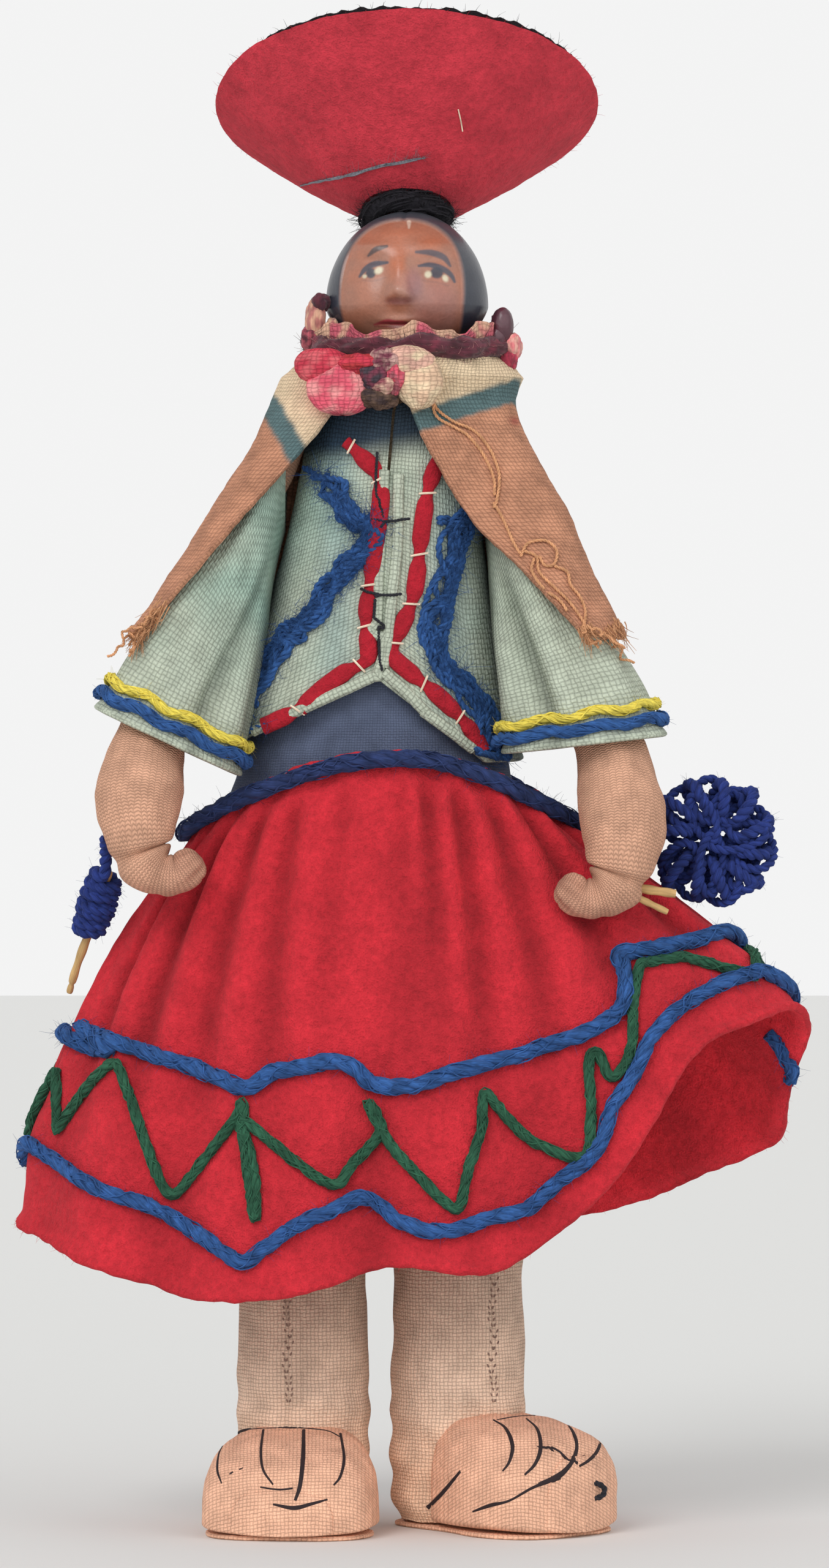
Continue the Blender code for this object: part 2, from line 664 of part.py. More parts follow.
def build_neck_peg():
    """The wooden peg that joins head and torso."""
    foot = Vector((NECK_X, 0, NECK_TOP_Z - PEG_IN_TORSO))
    top = Vector((NECK_X, 0, NECK_TOP_Z + PEG_IN_HEAD))
    rod("neck_peg", foot, top, PEG_RADIUS, PEG_RADIUS, "wood")


def build_head():
    """The moulded head: an egg with a tapered jaw, a flatter face and a nose."""
    mesh = bpy.data.meshes.new("head")
    bm = bmesh.new()
    bmesh.ops.create_uvsphere(bm, u_segments=HEAD_SEGMENTS, v_segments=HEAD_RINGS, radius=1)
    for corner in bm.verts:
        x, y, z = corner.co
        jaw = 1 - JAW_TAPER_SHARE * max(-z, 0)
        flat = 1 - FACE_FLAT_SHARE * max(-y, 0)
        corner.co = (x * HEAD_HALF_WIDTH * jaw, y * HEAD_HALF_DEPTH * flat * jaw, z * HEAD_HALF_HEIGHT)
        if corner.co.y < 0:
            across = corner.co.x / NOSE_WIDTH
            up = (corner.co.z + NOSE_DROP) / NOSE_HEIGHT
            corner.co.y -= NOSE_OUT * math.exp(-across * across - up * up)
    bm.to_mesh(mesh)
    bm.free()
    shade(mesh)
    head = place(mesh, "head", "painted_head")
    head.location = head_centre()
    head.rotation_euler.z = FACE_TURN
    socket_foot = Vector((NECK_X, 0, NECK_TOP_Z - CUT_OVERRUN))
    socket_top = Vector((NECK_X, 0, NECK_TOP_Z + PEG_IN_HEAD + SEAT_GAP))
    cut(head, rod_cutter("cut_socket", socket_foot, socket_top, PEG_RADIUS + SEAT_GAP))


def turned(name, profile, finish_name, steps=HAT_STEPS, ring=False):
    """Turn a profile of (radius, height) points about its own Z axis; a ring's profile is closed."""
    mesh = bpy.data.meshes.new(name)
    edges = [(k, k + 1) for k in range(len(profile) - 1)]
    if ring:
        edges.append((len(profile) - 1, 0))
    mesh.from_pydata([(radius, 0, z) for radius, z in profile], edges, [])
    thing = place(mesh, name, finish_name)
    screw = thing.modifiers.new("turned", "SCREW")
    screw.steps = steps
    screw.render_steps = steps
    screw.use_merge_vertices = True
    screw.merge_threshold = MERGE_DISTANCE
    screw.use_normal_calculate = False
    return thing


def hat_axis():
    """Direction of the hat's own axis, tipped back."""
    return Vector((0, math.sin(HAT_TILT), math.cos(HAT_TILT)))


def pad_height():
    """Height of the pad ring's middle above the head's centre, along the hat's axis."""
    tube = PAD_THICKNESS / 2
    reach = HEAD_HALF_HEIGHT + PAD_SEAT + tube
    return math.sqrt(reach * reach - PAD_RING_RADIUS * PAD_RING_RADIUS)


def build_hat():
    """Felt dish, its lining, and the wool pad between the dish and the head."""
    turn = Matrix.Rotation(-HAT_TILT, 4, "X")
    base_height = pad_height() + PAD_THICKNESS / 2 + SEAT_GAP
    seat = head_centre() + hat_axis() * base_height
    slope = math.atan2(HAT_RIM_RADIUS - HAT_BASE_RADIUS, HAT_HEIGHT)
    wall = HAT_FELT / math.cos(slope)
    middle_radius = (HAT_RIM_RADIUS + HAT_BASE_RADIUS) / 2
    felt_profile = [
        (0, HAT_FELT),
        (HAT_BASE_RADIUS - HAT_FELT / 2, HAT_FELT),
        (middle_radius + HAT_BULGE - wall, HAT_HEIGHT / 2),
        (HAT_RIM_RADIUS - wall, HAT_HEIGHT),
        (HAT_RIM_RADIUS, HAT_HEIGHT),
        (middle_radius + HAT_BULGE, HAT_HEIGHT / 2),
        (HAT_BASE_RADIUS, 0),
        (0, 0),
    ]
    lining_wall = LINING_FELT / math.cos(slope)
    inset = wall + SEAT_GAP / math.cos(slope)
    rise = LINING_STAND * math.sin(slope)
    lining_top = HAT_HEIGHT + LINING_STAND * math.cos(slope)
    lining_foot = HAT_FELT + SEAT_GAP
    foot_radius = HAT_BASE_RADIUS - HAT_FELT
    lining_profile = [
        (0, lining_foot + LINING_FELT),
        (foot_radius - LINING_FELT / 2, lining_foot + LINING_FELT),
        (middle_radius + HAT_BULGE - inset - lining_wall, HAT_HEIGHT / 2),
        (HAT_RIM_RADIUS - inset - lining_wall + rise, lining_top),
        (HAT_RIM_RADIUS - inset + rise, lining_top),
        (middle_radius + HAT_BULGE - inset, HAT_HEIGHT / 2),
        (foot_radius, lining_foot),
        (0, lining_foot),
    ]
    for name, profile, finish_name in (
        ("hat_felt", felt_profile, "hat_felt"),
        ("hat_lining", lining_profile, "black_wool"),
    ):
        dish = turned(name, profile, finish_name)
        dish.matrix_local = Matrix.Translation(seat) @ turn
    tube = PAD_THICKNESS / 2
    ring = []
    for k in range(PAD_SIDES):
        angle = math.pi / 2 - FULL_TURN * k / PAD_SIDES
        ring.append((PAD_RING_RADIUS + math.cos(angle) * tube, math.sin(angle) * tube))
    pad = turned("hat_pad", ring, "black_wool", TORSO_SIDES, ring=True)
    pad.matrix_local = Matrix.Translation(head_centre() + hat_axis() * pad_height()) @ turn


def build_bodice():
    """The band of cloth round the waist and ribs."""
    lift = CLOTH_GAP + BODICE_CLOTH
    grid = []
    for height_share in BODICE_HEIGHT_SHARES:
        z = HIP_Z + TORSO_HEIGHT * height_share
        grid.append([torso_point(FULL_TURN * k / TORSO_SIDES, z, lift) for k in range(TORSO_SIDES)])
    cloth("bodice", grid, BODICE_CLOTH, "bodice_cloth", closed=True)


# Jacket


def jacket_hem(angle):
    """Height of the jacket's hem: an upturned V in front, a little raised behind."""
    turned_angle = (angle + math.pi) % FULL_TURN - math.pi
    side = LEFT if turned_angle > 0 else RIGHT
    v_share = max(1 - abs(turned_angle) / JACKET_V_ANGLES[side], 0)
    back_share = (1 - math.cos(turned_angle)) / 2
    return JACKET_HEM_Z + JACKET_APEX_RISE * v_share + JACKET_BACK_RISE * back_share**2


def jacket_top(angle):
    """Height of the neckline, cut low in front."""
    turned_angle = abs((angle + math.pi) % FULL_TURN - math.pi)
    share = max(1 - turned_angle / NECKLINE_ANGLE, 0)
    return JACKET_TOP_Z - NECKLINE_DROP * share


def build_jacket():
    """The jacket's body, open down the front and cut for the arms."""
    start = math.asin(JACKET_OPENING / 2 / TORSO_HALF_WIDTH)
    grid = []
    for row in range(JACKET_ROWS):
        line = []
        for column in range(JACKET_COLUMNS):
            angle = start + (FULL_TURN - 2 * start) * column / (JACKET_COLUMNS - 1)
            hem, top = jacket_hem(angle), jacket_top(angle)
            z = hem + (top - hem) * row / (JACKET_ROWS - 1)
            line.append(torso_point(angle, z, jacket_lift(z)))
        grid.append(line)
    jacket = cloth("jacket", grid, JACKET_CLOTH, "sage_cloth", closed=False)
    for side, side_name in SIDES.items():
        inner, outer = shoulder_bore(side)
        cut(jacket, rod_cutter(f"cut_armhole_{side_name}", inner, outer + (outer - inner), ARMHOLE_RADIUS))


def on_jacket_front(across_share, up_share, lift):
    """Point on the jacket's front, and the outward direction there."""
    z = JACKET_HEM_Z + (JACKET_TOP_Z - JACKET_HEM_Z) * up_share
    half_width, half_depth, middle = torso_size(z)
    reach = half_width + jacket_lift(z)
    depth = half_depth + jacket_lift(z)
    angle = math.asin(max(-1, min(1, across_share)))
    outward = Vector((math.sin(angle) / reach, -math.cos(angle) / depth, 0)).normalized()
    return Vector((middle + reach * math.sin(angle), -depth * math.cos(angle), z)) + outward * lift, outward


def build_felt_strip(name, shares):
    """A flat strip of felt laid along one jacket front."""
    lift = LAID_GAP + FELT_STRIP_THICKNESS / 2
    laid = [on_jacket_front(across, up, lift) for across, up in shares]
    route = smooth_route([point for point, _ in laid], 2)
    outwards = smooth_route([outward for _, outward in laid], 2)
    rings = []
    for k, (point, outward) in enumerate(zip(route, outwards)):
        ahead = (route[min(k + 1, len(route) - 1)] - route[max(k - 1, 0)]).normalized()
        outward = outward.normalized()
        aside = ahead.cross(outward).normalized() * FELT_STRIP_WIDTH / 2
        rise = outward * FELT_STRIP_THICKNESS / 2
        rings.append([point + aside + rise, point - aside + rise, point - aside - rise, point + aside - rise])
    loft(name, rings, "trim_felt")


def build_jacket_trims():
    """Red felt strips and couched blue yarns on both fronts."""
    build_felt_strip("front_felt_right", RIGHT_FELT_SHARES)
    build_felt_strip("front_felt_left", LEFT_FELT_SHARES)
    lift = LAID_GAP + COUCHED_YARN_RADIUS
    for name, shares in (("front_yarn_right", RIGHT_YARN_SHARES), ("front_yarn_left", LEFT_YARN_SHARES)):
        points = [on_jacket_front(across, up, lift)[0] for across, up in shares]
        yarn(name, smooth_route(points, 2), COUCHED_YARN_RADIUS, "blue_yarn")


# Sleeves


def sleeve_edges(side, share):
    """Inner and outer edge of a sleeve, as (reach, height), at a share of its length."""
    inner_z = UNDERARM_Z + (CUFF_INNER_Z[side] - UNDERARM_Z) * share
    underarm_x = jacket_side(side, UNDERARM_Z) + SLEEVE_GAP
    inner_x = underarm_x + (CUFF_INNER_X[side] - underarm_x) * share
    clear_x = jacket_side(side, inner_z, CUFF_FORWARD * share) + SLEEVE_GAP
    inner = (max(inner_x, clear_x), inner_z)
    table = [(k / (len(SLEEVE_EDGE_SHARES) - 1), *row) for k, row in enumerate(SLEEVE_EDGE_SHARES)]
    run, drop = read_table(table, share)
    outer = (
        SLEEVE_TOP_X + (CUFF_REACH[side] - SLEEVE_TOP_X) * run,
        SLEEVE_TOP_Z + (CUFF_OUTER_Z[side] - SLEEVE_TOP_Z) * drop,
    )
    return inner, outer


def sleeve_depth(share):
    """Half depth and forward shift of a sleeve at a share of its length."""
    return SLEEVE_HALF_DEPTH + (CUFF_HALF_DEPTH - SLEEVE_HALF_DEPTH) * share, CUFF_FORWARD * share


def sleeve_point(side, share, angle, lift=0.0):
    """Point on a sleeve's outer face; the angle runs from its inner edge round by the front."""
    inner, outer = sleeve_edges(side, share)
    half_depth, forward = sleeve_depth(share)
    middle_x, middle_z = (inner[0] + outer[0]) / 2, (inner[1] + outer[1]) / 2
    along_x, along_z = (inner[0] - outer[0]) / 2, (inner[1] - outer[1]) / 2
    length = math.hypot(along_x, along_z)
    fold = SLEEVE_FOLD * share * math.sin(SLEEVE_FOLDS * angle)
    stretch = 1 + (lift + fold) / length
    x = middle_x + along_x * math.cos(angle) * stretch
    z = middle_z + along_z * math.cos(angle) * stretch
    y = -forward - math.sin(angle) * (half_depth + lift + fold)
    clear_x = jacket_side(side, z, y) + SLEEVE_GAP + CUFF_ROOM * share - lift
    return Vector((side * max(x, clear_x), y, z))


def build_sleeves():
    """Both sleeves with the yarns sewn round their cuffs."""
    for side, side_name in SIDES.items():
        grid = []
        for row in range(SLEEVE_ROWS):
            share = 1 - row / (SLEEVE_ROWS - 1)
            grid.append([sleeve_point(side, share, FULL_TURN * k / SLEEVE_SIDES) for k in range(SLEEVE_SIDES)])
        cloth(f"sleeve_{side_name}", grid, SLEEVE_CLOTH, "sage_cloth", closed=True, flip=side == RIGHT)
        lift = LAID_GAP + CUFF_YARN_RADIUS
        for colour, share in (("yellow", YELLOW_YARN_SHARE), ("blue", BLUE_YARN_SHARE)):
            ring = [sleeve_point(side, share, FULL_TURN * k / SLEEVE_SIDES, lift) for k in range(SLEEVE_SIDES)]
            yarn(f"cuff_{colour}_{side_name}", ring, CUFF_YARN_RADIUS, f"{colour}_yarn", closed=True)


# Arms and what the hands hold


def arm_route(side):
    """Points and radii of an arm from the shoulder to the curled finger end."""
    start = arm_start(side)
    points, radii = [], []
    for run, forward, drop, girth in ARM_SHARES:
        x = start + (ARM_REACH[side] - start) * run
        y = -ARM_FORWARD * forward
        z = SHOULDER_Z - ARM_DROP[side] * drop
        underside = z - ARM_GIRTH * girth
        if underside < SHOULDER_Z - ARMHOLE_RADIUS:
            room = SLEEVE_GAP + SLEEVE_CLOTH + SHOULDER_GAP if underside < UNDERARM_Z else TURNING_GAP
            x = max(x, jacket_side(side, underside, y) + room + ARM_GIRTH * girth)
        points.append(Vector((side * x, y, z)))
        radii.append(ARM_GIRTH * girth)
    wrist = points[-1]
    for inward, ahead, down, girth in HAND_SHARES:
        points.append(wrist + Vector((-side * inward, -ahead, -down)) * HAND_CURL)
        radii.append(ARM_GIRTH * girth)
    return points, radii


def build_arms():
    """Stuffed arms, each with a blind bore and the wire that it is bent by."""
    for side, side_name in SIDES.items():
        points, radii = arm_route(side)
        route = smooth_route(points, ARM_STEPS)
        table = [(k, radius) for k, radius in enumerate(radii)]
        girths = [read_table(table, k / ARM_STEPS)[0] for k in range(len(route))]
        outer = tube_rings(route, girths, ARM_SIDES, SHOULDER_DEEPER_SHARE)
        tip_ahead = (route[-1] - route[-2]).normalized()
        tip = [route[-1] + (corner - route[-1]) / 2 + tip_ahead * girths[-1] / 2 for corner in outer[-1]]
        bore_count = len(route) // 2
        bore = tube_rings(route[:bore_count], [ARM_WIRE_RADIUS + ARM_BORE_GAP] * bore_count, ARM_SIDES)
        arm = loft(f"arm_{side_name}", [tip, *outer[::-1], *bore], "knit")
        if side == LEFT:
            start, end = twig_line()
            inward = (start - end).normalized()
            cut(arm, rod_cutter("cut_twig", start + inward * SEAT_GAP, end, TWIG_RADIUS + SEAT_GAP, ARM_SIDES))
        wire_start, _ = shoulder_bore(side)
        wire_start += Vector((side * TURNING_GAP, 0, 0))
        wire_end = route[bore_count - 2] + (route[bore_count - 1] - route[bore_count - 2]) / 2
        yarn(f"arm_wire_{side_name}", [wire_start, *route[: bore_count - 1], wire_end], ARM_WIRE_RADIUS, "wire")


def hand_place(side):
    """Middle of the wrist where a hand starts to curl."""
    points, _ = arm_route(side)
    return points[len(ARM_SHARES) - 1]


def twig_line():
    """Both ends of the twig, the first inside the left hand."""
    wrist = hand_place(LEFT)
    hand_radius = ARM_GIRTH * HAND_SHARES[0][3]
    start = wrist + Vector((LEFT * (hand_radius - TWIG_INSIDE), 0, -TWIG_BELOW_WRIST))
    return start, start + Vector((LEFT * TWIG_LENGTH, 0, -TWIG_DROP))


def build_twig():
    """The twig's end sits in the hand."""
    rod("hank_twig", *twig_line(), TWIG_RADIUS, TWIG_RADIUS, "wood", ARM_SIDES)


def spindle_pivot():
    """Where the spun yarn leaves the right hand."""
    out, back, down = LEAD_SHARES
    hand_radius = ARM_GIRTH * ARM_SHARES[-1][3]
    toward = Vector((RIGHT * out, back, -down)).normalized()
    return hand_place(RIGHT) + toward * (hand_radius + SPUN_YARN_RADIUS + SEAT_GAP)


def build_spindle():
    """A thin stick hung from the hand by the yarn that is wound round its upper end."""
    pivot = spindle_pivot()
    top = pivot + Vector((0, LEAD_RUN_BACK, -LEAD_RUN_DOWN))
    foot = top + Vector((RIGHT * SPINDLE_OUT, SPINDLE_BACK, -SPINDLE_DOWN))
    down = (foot - top).normalized()
    rod("spindle_stick", top, foot, SPINDLE_RADIUS, SPINDLE_TIP_RADIUS, "wood", ARM_SIDES)
    across = Vector((0, -1, 0))
    across = (across - down * across.dot(down)).normalized()
    third = down.cross(across)
    around = SPINDLE_RADIUS + SEAT_GAP + SPUN_YARN_RADIUS
    winding = SPUN_TURNS * (2 * SPUN_YARN_RADIUS + SPUN_GAP)
    steps = SPUN_TURNS * POINTS_PER_TURN
    route = [pivot]
    for k in range(steps + 1):
        angle = FULL_TURN * k / POINTS_PER_TURN
        along = SPUN_YARN_RADIUS + (winding - SPUN_YARN_RADIUS) * k / steps
        route.append(top + down * along + (across * math.cos(angle) + third * math.sin(angle)) * around)
    yarn("spindle_yarn", route, SPUN_YARN_RADIUS, "navy_yarn")
    report_gap("spindle_yarn", route, SPUN_YARN_RADIUS, POINTS_PER_TURN)


def build_hank():
    """A hank of one unbroken yarn: loops wound round a ring, with its end led to the hand."""
    wrist = hand_place(LEFT)
    middle = wrist + Vector((HANK_OUT, HANK_BEHIND_HAND, HANK_ABOVE_HAND))
    count = HANK_LOOPS * POINTS_PER_LOOP
    route = []
    for k in range(count + 1):
        share = k / count
        ring_angle = HANK_START + HANK_SPREAD * share
        loop_angle = FULL_TURN * HANK_LOOPS * share
        radius = HANK_RING_RADIUS + HANK_LOOP_RADIUS * math.cos(loop_angle)
        route.append(
            middle
            + Vector((math.cos(ring_angle) * radius, 0, math.sin(ring_angle) * radius))
            + Vector((0, HANK_LOOP_RADIUS * math.sin(loop_angle), 0))
        )
    hand_radius = ARM_GIRTH * ARM_SHARES[-1][3]
    toward = (route[0] - wrist).normalized()
    lead = wrist + toward * (hand_radius + HANK_YARN_RADIUS + SEAT_GAP)
    yarn("hank", [lead, *route], HANK_YARN_RADIUS, "navy_yarn")
    report_gap("hank", [lead, *route], HANK_YARN_RADIUS, POINTS_PER_LOOP)


def report_gap(name, route, radius, points_per_loop):
    """Print the least gap between a winding's turns, measured on its own points."""
    nearest = min(
        (a - b).length
        for k, a in enumerate(route)
        for b in route[k + points_per_loop // 2 :]
    )
    print(f"{name}: least gap between turns {(nearest - 2 * radius) / MM:.2f} mm")


# Shawl


def hull_ring(points, gap):
    """Outline round flat points, gap off them, as if a band were drawn round them."""
    outline = []
    for k in range(HULL_SAMPLES + 1):
        angle = FULL_TURN * k / HULL_SAMPLES
        outward = Vector((math.sin(angle), -math.cos(angle)))
        outline.append(max(points, key=outward.dot) + outward * gap)
    return outline


def cut_and_space(outline, right_x, left_x, count):
    """The outline from its front point at left_x round the back to right_x, evenly spaced."""
    turns = outline * 2
    first = next(k for k in range(len(turns) - 1) if turns[k].y < 0 and turns[k].x <= left_x < turns[k + 1].x)
    after_back = next(k for k in range(first, len(turns)) if turns[k].y > 0)
    last = next(
        k
        for k in range(after_back, len(turns) - 1)
        if turns[k].y < 0 and turns[k].x <= right_x < turns[k + 1].x
    )

    def at_x(k, x):
        a, b = turns[k], turns[k + 1]
        return a.lerp(b, (x - a.x) / (b.x - a.x))

    line = [at_x(first, left_x), *turns[first + 1 : last + 1], at_x(last, right_x)]
    lengths = [0.0]
    for a, b in zip(line, line[1:]):
        lengths.append(lengths[-1] + (b - a).length)
    spaced = []
    k = 0
    for step in range(count):
        target = lengths[-1] * step / (count - 1)
        while k < len(line) - 2 and lengths[k + 1] < target:
            k += 1
        run = lengths[k + 1] - lengths[k]
        spaced.append(line[k].lerp(line[k + 1], (target - lengths[k]) / run if run else 0))
    return spaced


def sleeve_slice(side, z):
    """Points where a sleeve's outer face crosses a height."""
    found = []
    for k in range(SLICE_ANGLES):
        angle = FULL_TURN * k / SLICE_ANGLES
        line = [sleeve_point(side, row / SLICE_ROWS, angle) for row in range(SLICE_ROWS + 1)]
        for upper, lower in zip(line, line[1:]):
            if upper.z >= z > lower.z:
                crossing = upper.lerp(lower, (upper.z - z) / (upper.z - lower.z))
                found.append(Vector((crossing.x, crossing.y)))
    return found


def oval(middle, half_width, half_depth):
    """Points round an upright oval section."""
    angles = [FULL_TURN * k / SLICE_ROWS for k in range(SLICE_ROWS)]
    return [Vector((middle + math.sin(a) * half_width, -math.cos(a) * half_depth)) for a in angles]


def shawl_row(height_share):
    """One row of the shawl below the shoulder line."""
    z = SHAWL_BOTTOM_Z + (SHAWL_SHOULDER_Z - SHAWL_BOTTOM_Z) * height_share
    right_share, left_share = read_table(SHAWL_EDGE_SHARES, height_share)
    half_width, half_depth, middle = torso_size(z)
    lift = jacket_lift(z)
    under = oval(middle, half_width + lift, half_depth + lift)
    if z < SLEEVE_TOP_Z:
        under += sleeve_slice(RIGHT, z) + sleeve_slice(LEFT, z)
    else:
        under += oval(middle, SHAWL_SHOULDER_HALF_WIDTH, SHAWL_SHOULDER_HALF_DEPTH)
    outline = hull_ring(under, SHAWL_EASE + SHAWL_CLOTH)
    row = cut_and_space(outline, right_share * CUFF_REACH[RIGHT], left_share * CUFF_REACH[LEFT], SHAWL_COLUMNS)
    points = []
    for k, point in enumerate(row):
        across = k / (SHAWL_COLUMNS - 1)
        hang = (1 - height_share) * math.sin(math.pi * across)
        ripple = SHAWL_FOLD * hang * (1 - math.cos(FULL_TURN * SHAWL_FOLDS * across)) / 2
        outward = point.normalized() * ripple
        points.append(Vector((point.x + outward.x, point.y + outward.y, z)))
    return points


def neck_ring_point(angle, lift, rise):
    """Point on the shawl's neck edge, which stands higher at the sides and back."""
    back = (1 - math.cos(angle)) / 2
    return Vector(
        (
            NECK_X + math.sin(angle) * (SHAWL_NECK_HALF_WIDTH + lift),
            -math.cos(angle) * (SHAWL_NECK_HALF_DEPTH + lift),
            SHAWL_NECK_Z + SHAWL_NECK_RISE * back + rise,
        )
    )


def build_shawl():
    """The shawl, drawn round the neck and hanging over both arms and the back."""
    grid = [shawl_row(height_share) for height_share, *_ in SHAWL_EDGE_SHARES]
    right_share, left_share = SHAWL_NECK_EDGE_SHARES
    reach = SHAWL_NECK_HALF_WIDTH
    start = math.asin(left_share * CUFF_REACH[LEFT] / reach)
    end = FULL_TURN + math.asin(right_share * CUFF_REACH[RIGHT] / reach)
    neck = []
    for k in range(SHAWL_COLUMNS):
        angle = start + (end - start) * k / (SHAWL_COLUMNS - 1)
        neck.append(neck_ring_point(angle, 0, 0))
    grid.append(neck)
    cloth("shawl", grid, SHAWL_CLOTH, "shawl_cloth", closed=False)
    rise = NECK_ROLL_RADIUS + SEAT_GAP
    roll = [
        neck_ring_point(FULL_TURN * k / ROLL_POINTS, -SHAWL_CLOTH / 2, rise) for k in range(ROLL_POINTS)
    ]
    yarn("shawl_neck_roll", roll, NECK_ROLL_RADIUS, "maroon_yarn", closed=True)


# Skirt


def skirt_fold(angle):
    """How deep the folds draw the hem in at an angle."""
    depth = 0.0
    for middle, half_width, share in SKIRT_FOLDS_SHARES:
        off = (math.degrees(angle) - middle + 180) % 360 - 180
        depth += share * math.exp(-((off / half_width) ** 2))
    return FOLD_DEPTH * depth


def skirt_point(angle, share):
    """Point on the skirt's outer face at a share of the way from waist to hem."""
    side = LEFT if math.sin(angle) > 0 else RIGHT
    across, ahead = math.sin(angle), -math.cos(angle)
    waist = Vector(
        (across * WAIST_HALF_WIDTH[side], ahead * WAIST_HALF_DEPTH, WAIST_Z - WAIST_SIDE_DROP * across**2)
    )
    drawn_in = skirt_fold(angle)
    hem = Vector(
        (
            across * (HEM_REACH[side] - drawn_in),
            ahead * (HEM_HALF_DEPTH - drawn_in),
            HEM_Z + HEM_LIFT * read_round(HEM_RISE_SHARES, angle),
        )
    )
    bulge = Vector((across * SKIRT_BULGE[side], ahead * SKIRT_BULGE_DEPTH, 0))
    return waist.lerp(hem, share) + bulge * 4 * share * (1 - share)


def skirt_grid():
    """Rows of the skirt from the hem up to the header above the waist yarn."""
    grid = []
    for row in range(SKIRT_ROWS):
        share = 1 - row / (SKIRT_ROWS - 1)
        grid.append([skirt_point(FULL_TURN * k / SKIRT_COLUMNS, share) for k in range(SKIRT_COLUMNS)])
    grid.append([point + Vector((0, 0, SKIRT_HEADER)) for point in grid[-1]])
    return grid


def on_skirt(column, share, lift):
    """Point lifted off the skirt's faceted outer face, at a column and a share down from the waist."""
    grid = skirt_grid()
    row = (1 - share) * (SKIRT_ROWS - 1)
    low = min(int(row), SKIRT_ROWS - 2)
    part = row - low
    here = grid[low][column].lerp(grid[low + 1][column], part)
    after_k, before_k = (column + 1) % SKIRT_COLUMNS, (column - 1) % SKIRT_COLUMNS
    after = grid[low][after_k].lerp(grid[low + 1][after_k], part)
    before = grid[low][before_k].lerp(grid[low + 1][before_k], part)
    upward = grid[low + 1][column] - grid[low][column]
    outward = (after - before).cross(upward).normalized()
    return here + outward * lift


def build_skirt():
    """The felt skirt with its folds."""
    cloth("skirt", skirt_grid(), SKIRT_FELT, "skirt_felt", closed=True)


def build_skirt_trims():
    """Two blue yarns round the skirt with a green zigzag between, and the yarn that ties the waist."""
    lift = LAID_GAP + SKIRT_YARN_RADIUS
    for name, shares in (("skirt_yarn_upper", UPPER_YARN_SHARES), ("skirt_yarn_lower", LOWER_YARN_SHARES)):
        ring = []
        for k in range(SKIRT_COLUMNS):
            ring.append(on_skirt(k, read_round(shares, FULL_TURN * k / SKIRT_COLUMNS), lift))
        yarn(name, ring, SKIRT_YARN_RADIUS, "blue_yarn", closed=True)
    zigzag = []
    columns_per_tooth = SKIRT_COLUMNS // ZIGZAG_TEETH
    inset = SKIRT_YARN_RADIUS + ZIGZAG_YARN_RADIUS + SEAT_GAP
    for k in range(SKIRT_COLUMNS):
        angle = FULL_TURN * k / SKIRT_COLUMNS
        length = (skirt_point(angle, 1) - skirt_point(angle, 0)).length
        margin = ZIGZAG_MARGIN * inset / length
        upper = read_round(UPPER_YARN_SHARES, angle) + margin
        lower = read_round(LOWER_YARN_SHARES, angle) - margin
        place_in = (k % columns_per_tooth) / columns_per_tooth
        wave = 1 - abs(2 * place_in - 1)
        zigzag.append(on_skirt(k, upper + (lower - upper) * wave, LAID_GAP + ZIGZAG_YARN_RADIUS))
    yarn("skirt_zigzag", zigzag, ZIGZAG_YARN_RADIUS, "green_yarn", closed=True)
    tie_lift = SEAT_GAP + WAIST_YARN_RADIUS
    tie = []
    for k in range(SKIRT_COLUMNS):
        angle = FULL_TURN * k / SKIRT_COLUMNS
        outward = Vector((math.sin(angle), -math.cos(angle), 0))
        tie.append(skirt_point(angle, 0) + outward * tie_lift + Vector((0, 0, SKIRT_HEADER / 2)))
    yarn("waist_yarn", tie, WAIST_YARN_RADIUS, "navy_yarn", closed=True)


# Legs and feet


def leg_rings(side, grow):
    """Rings of a leg from the heel up to its rounded hip end, grown for cutting when asked."""
    foot_z = SOLE_THICKNESS + SEAT_GAP
    rings = []
    table = []
    for height_share, radius_share in LEG_SHARES:
        table.append((foot_z + (HIP_BALL_Z - foot_z) * height_share, LEG_RADIUS[side] * radius_share))
    for degrees in LEG_CROWN_ANGLES:
        angle = math.radians(degrees)
        table.append(
            (HIP_BALL_Z + LEG_RADIUS[side] * math.sin(angle), LEG_RADIUS[side] * math.cos(angle))
        )
    for k, (z, radius) in enumerate(table):
        height = z - (grow if k == 0 else 0)
        ring = []
        for corner in range(LEG_SIDES):
            angle = FULL_TURN * corner / LEG_SIDES
            ring.append(
                Vector(
                    (
                        LEG_X[side] + math.sin(angle) * (radius + grow),
                        -math.cos(angle) * (radius + grow) * LEG_DEPTH_SHARE,
                        height,
                    )
                )
            )
        rings.append(ring)
    return rings


def foot_point(side, along, across, z):
    """Point in a foot's own directions: along its length, across it and up."""
    turn = FOOT_TURN[side]
    ahead = Vector((math.sin(turn), -math.cos(turn), 0))
    aside = Vector((math.cos(turn), math.sin(turn), 0))
    return Vector((LEG_X[side], 0, z)) + ahead * along + aside * across


def build_foot(side, side_name):
    """The padded front of a foot, cut to fit round the leg."""
    floor = SOLE_THICKNESS + SEAT_GAP
    rings = []
    for length_share, width_share, height_share in FOOT_SHARES:
        along = FOOT_START + (FOOT_LENGTH[side] - FOOT_START) * length_share
        ring = []
        for k in range(FOOT_SIDES):
            angle = FULL_TURN * k / FOOT_SIDES
            across = math.cos(angle) * FOOT_HALF_WIDTH[side] * width_share
            up = max(math.sin(angle), 0) * FOOT_HEIGHT[side] * height_share
            ring.append(foot_point(side, along, across, floor + up))
        rings.append(ring)
    foot = loft(f"foot_{side_name}", rings, "muslin")
    cutter = loft(f"cut_leg_{side_name}", leg_rings(side, SEAT_GAP), None, bpy.data.collections["cutters"])
    cut(foot, cutter)


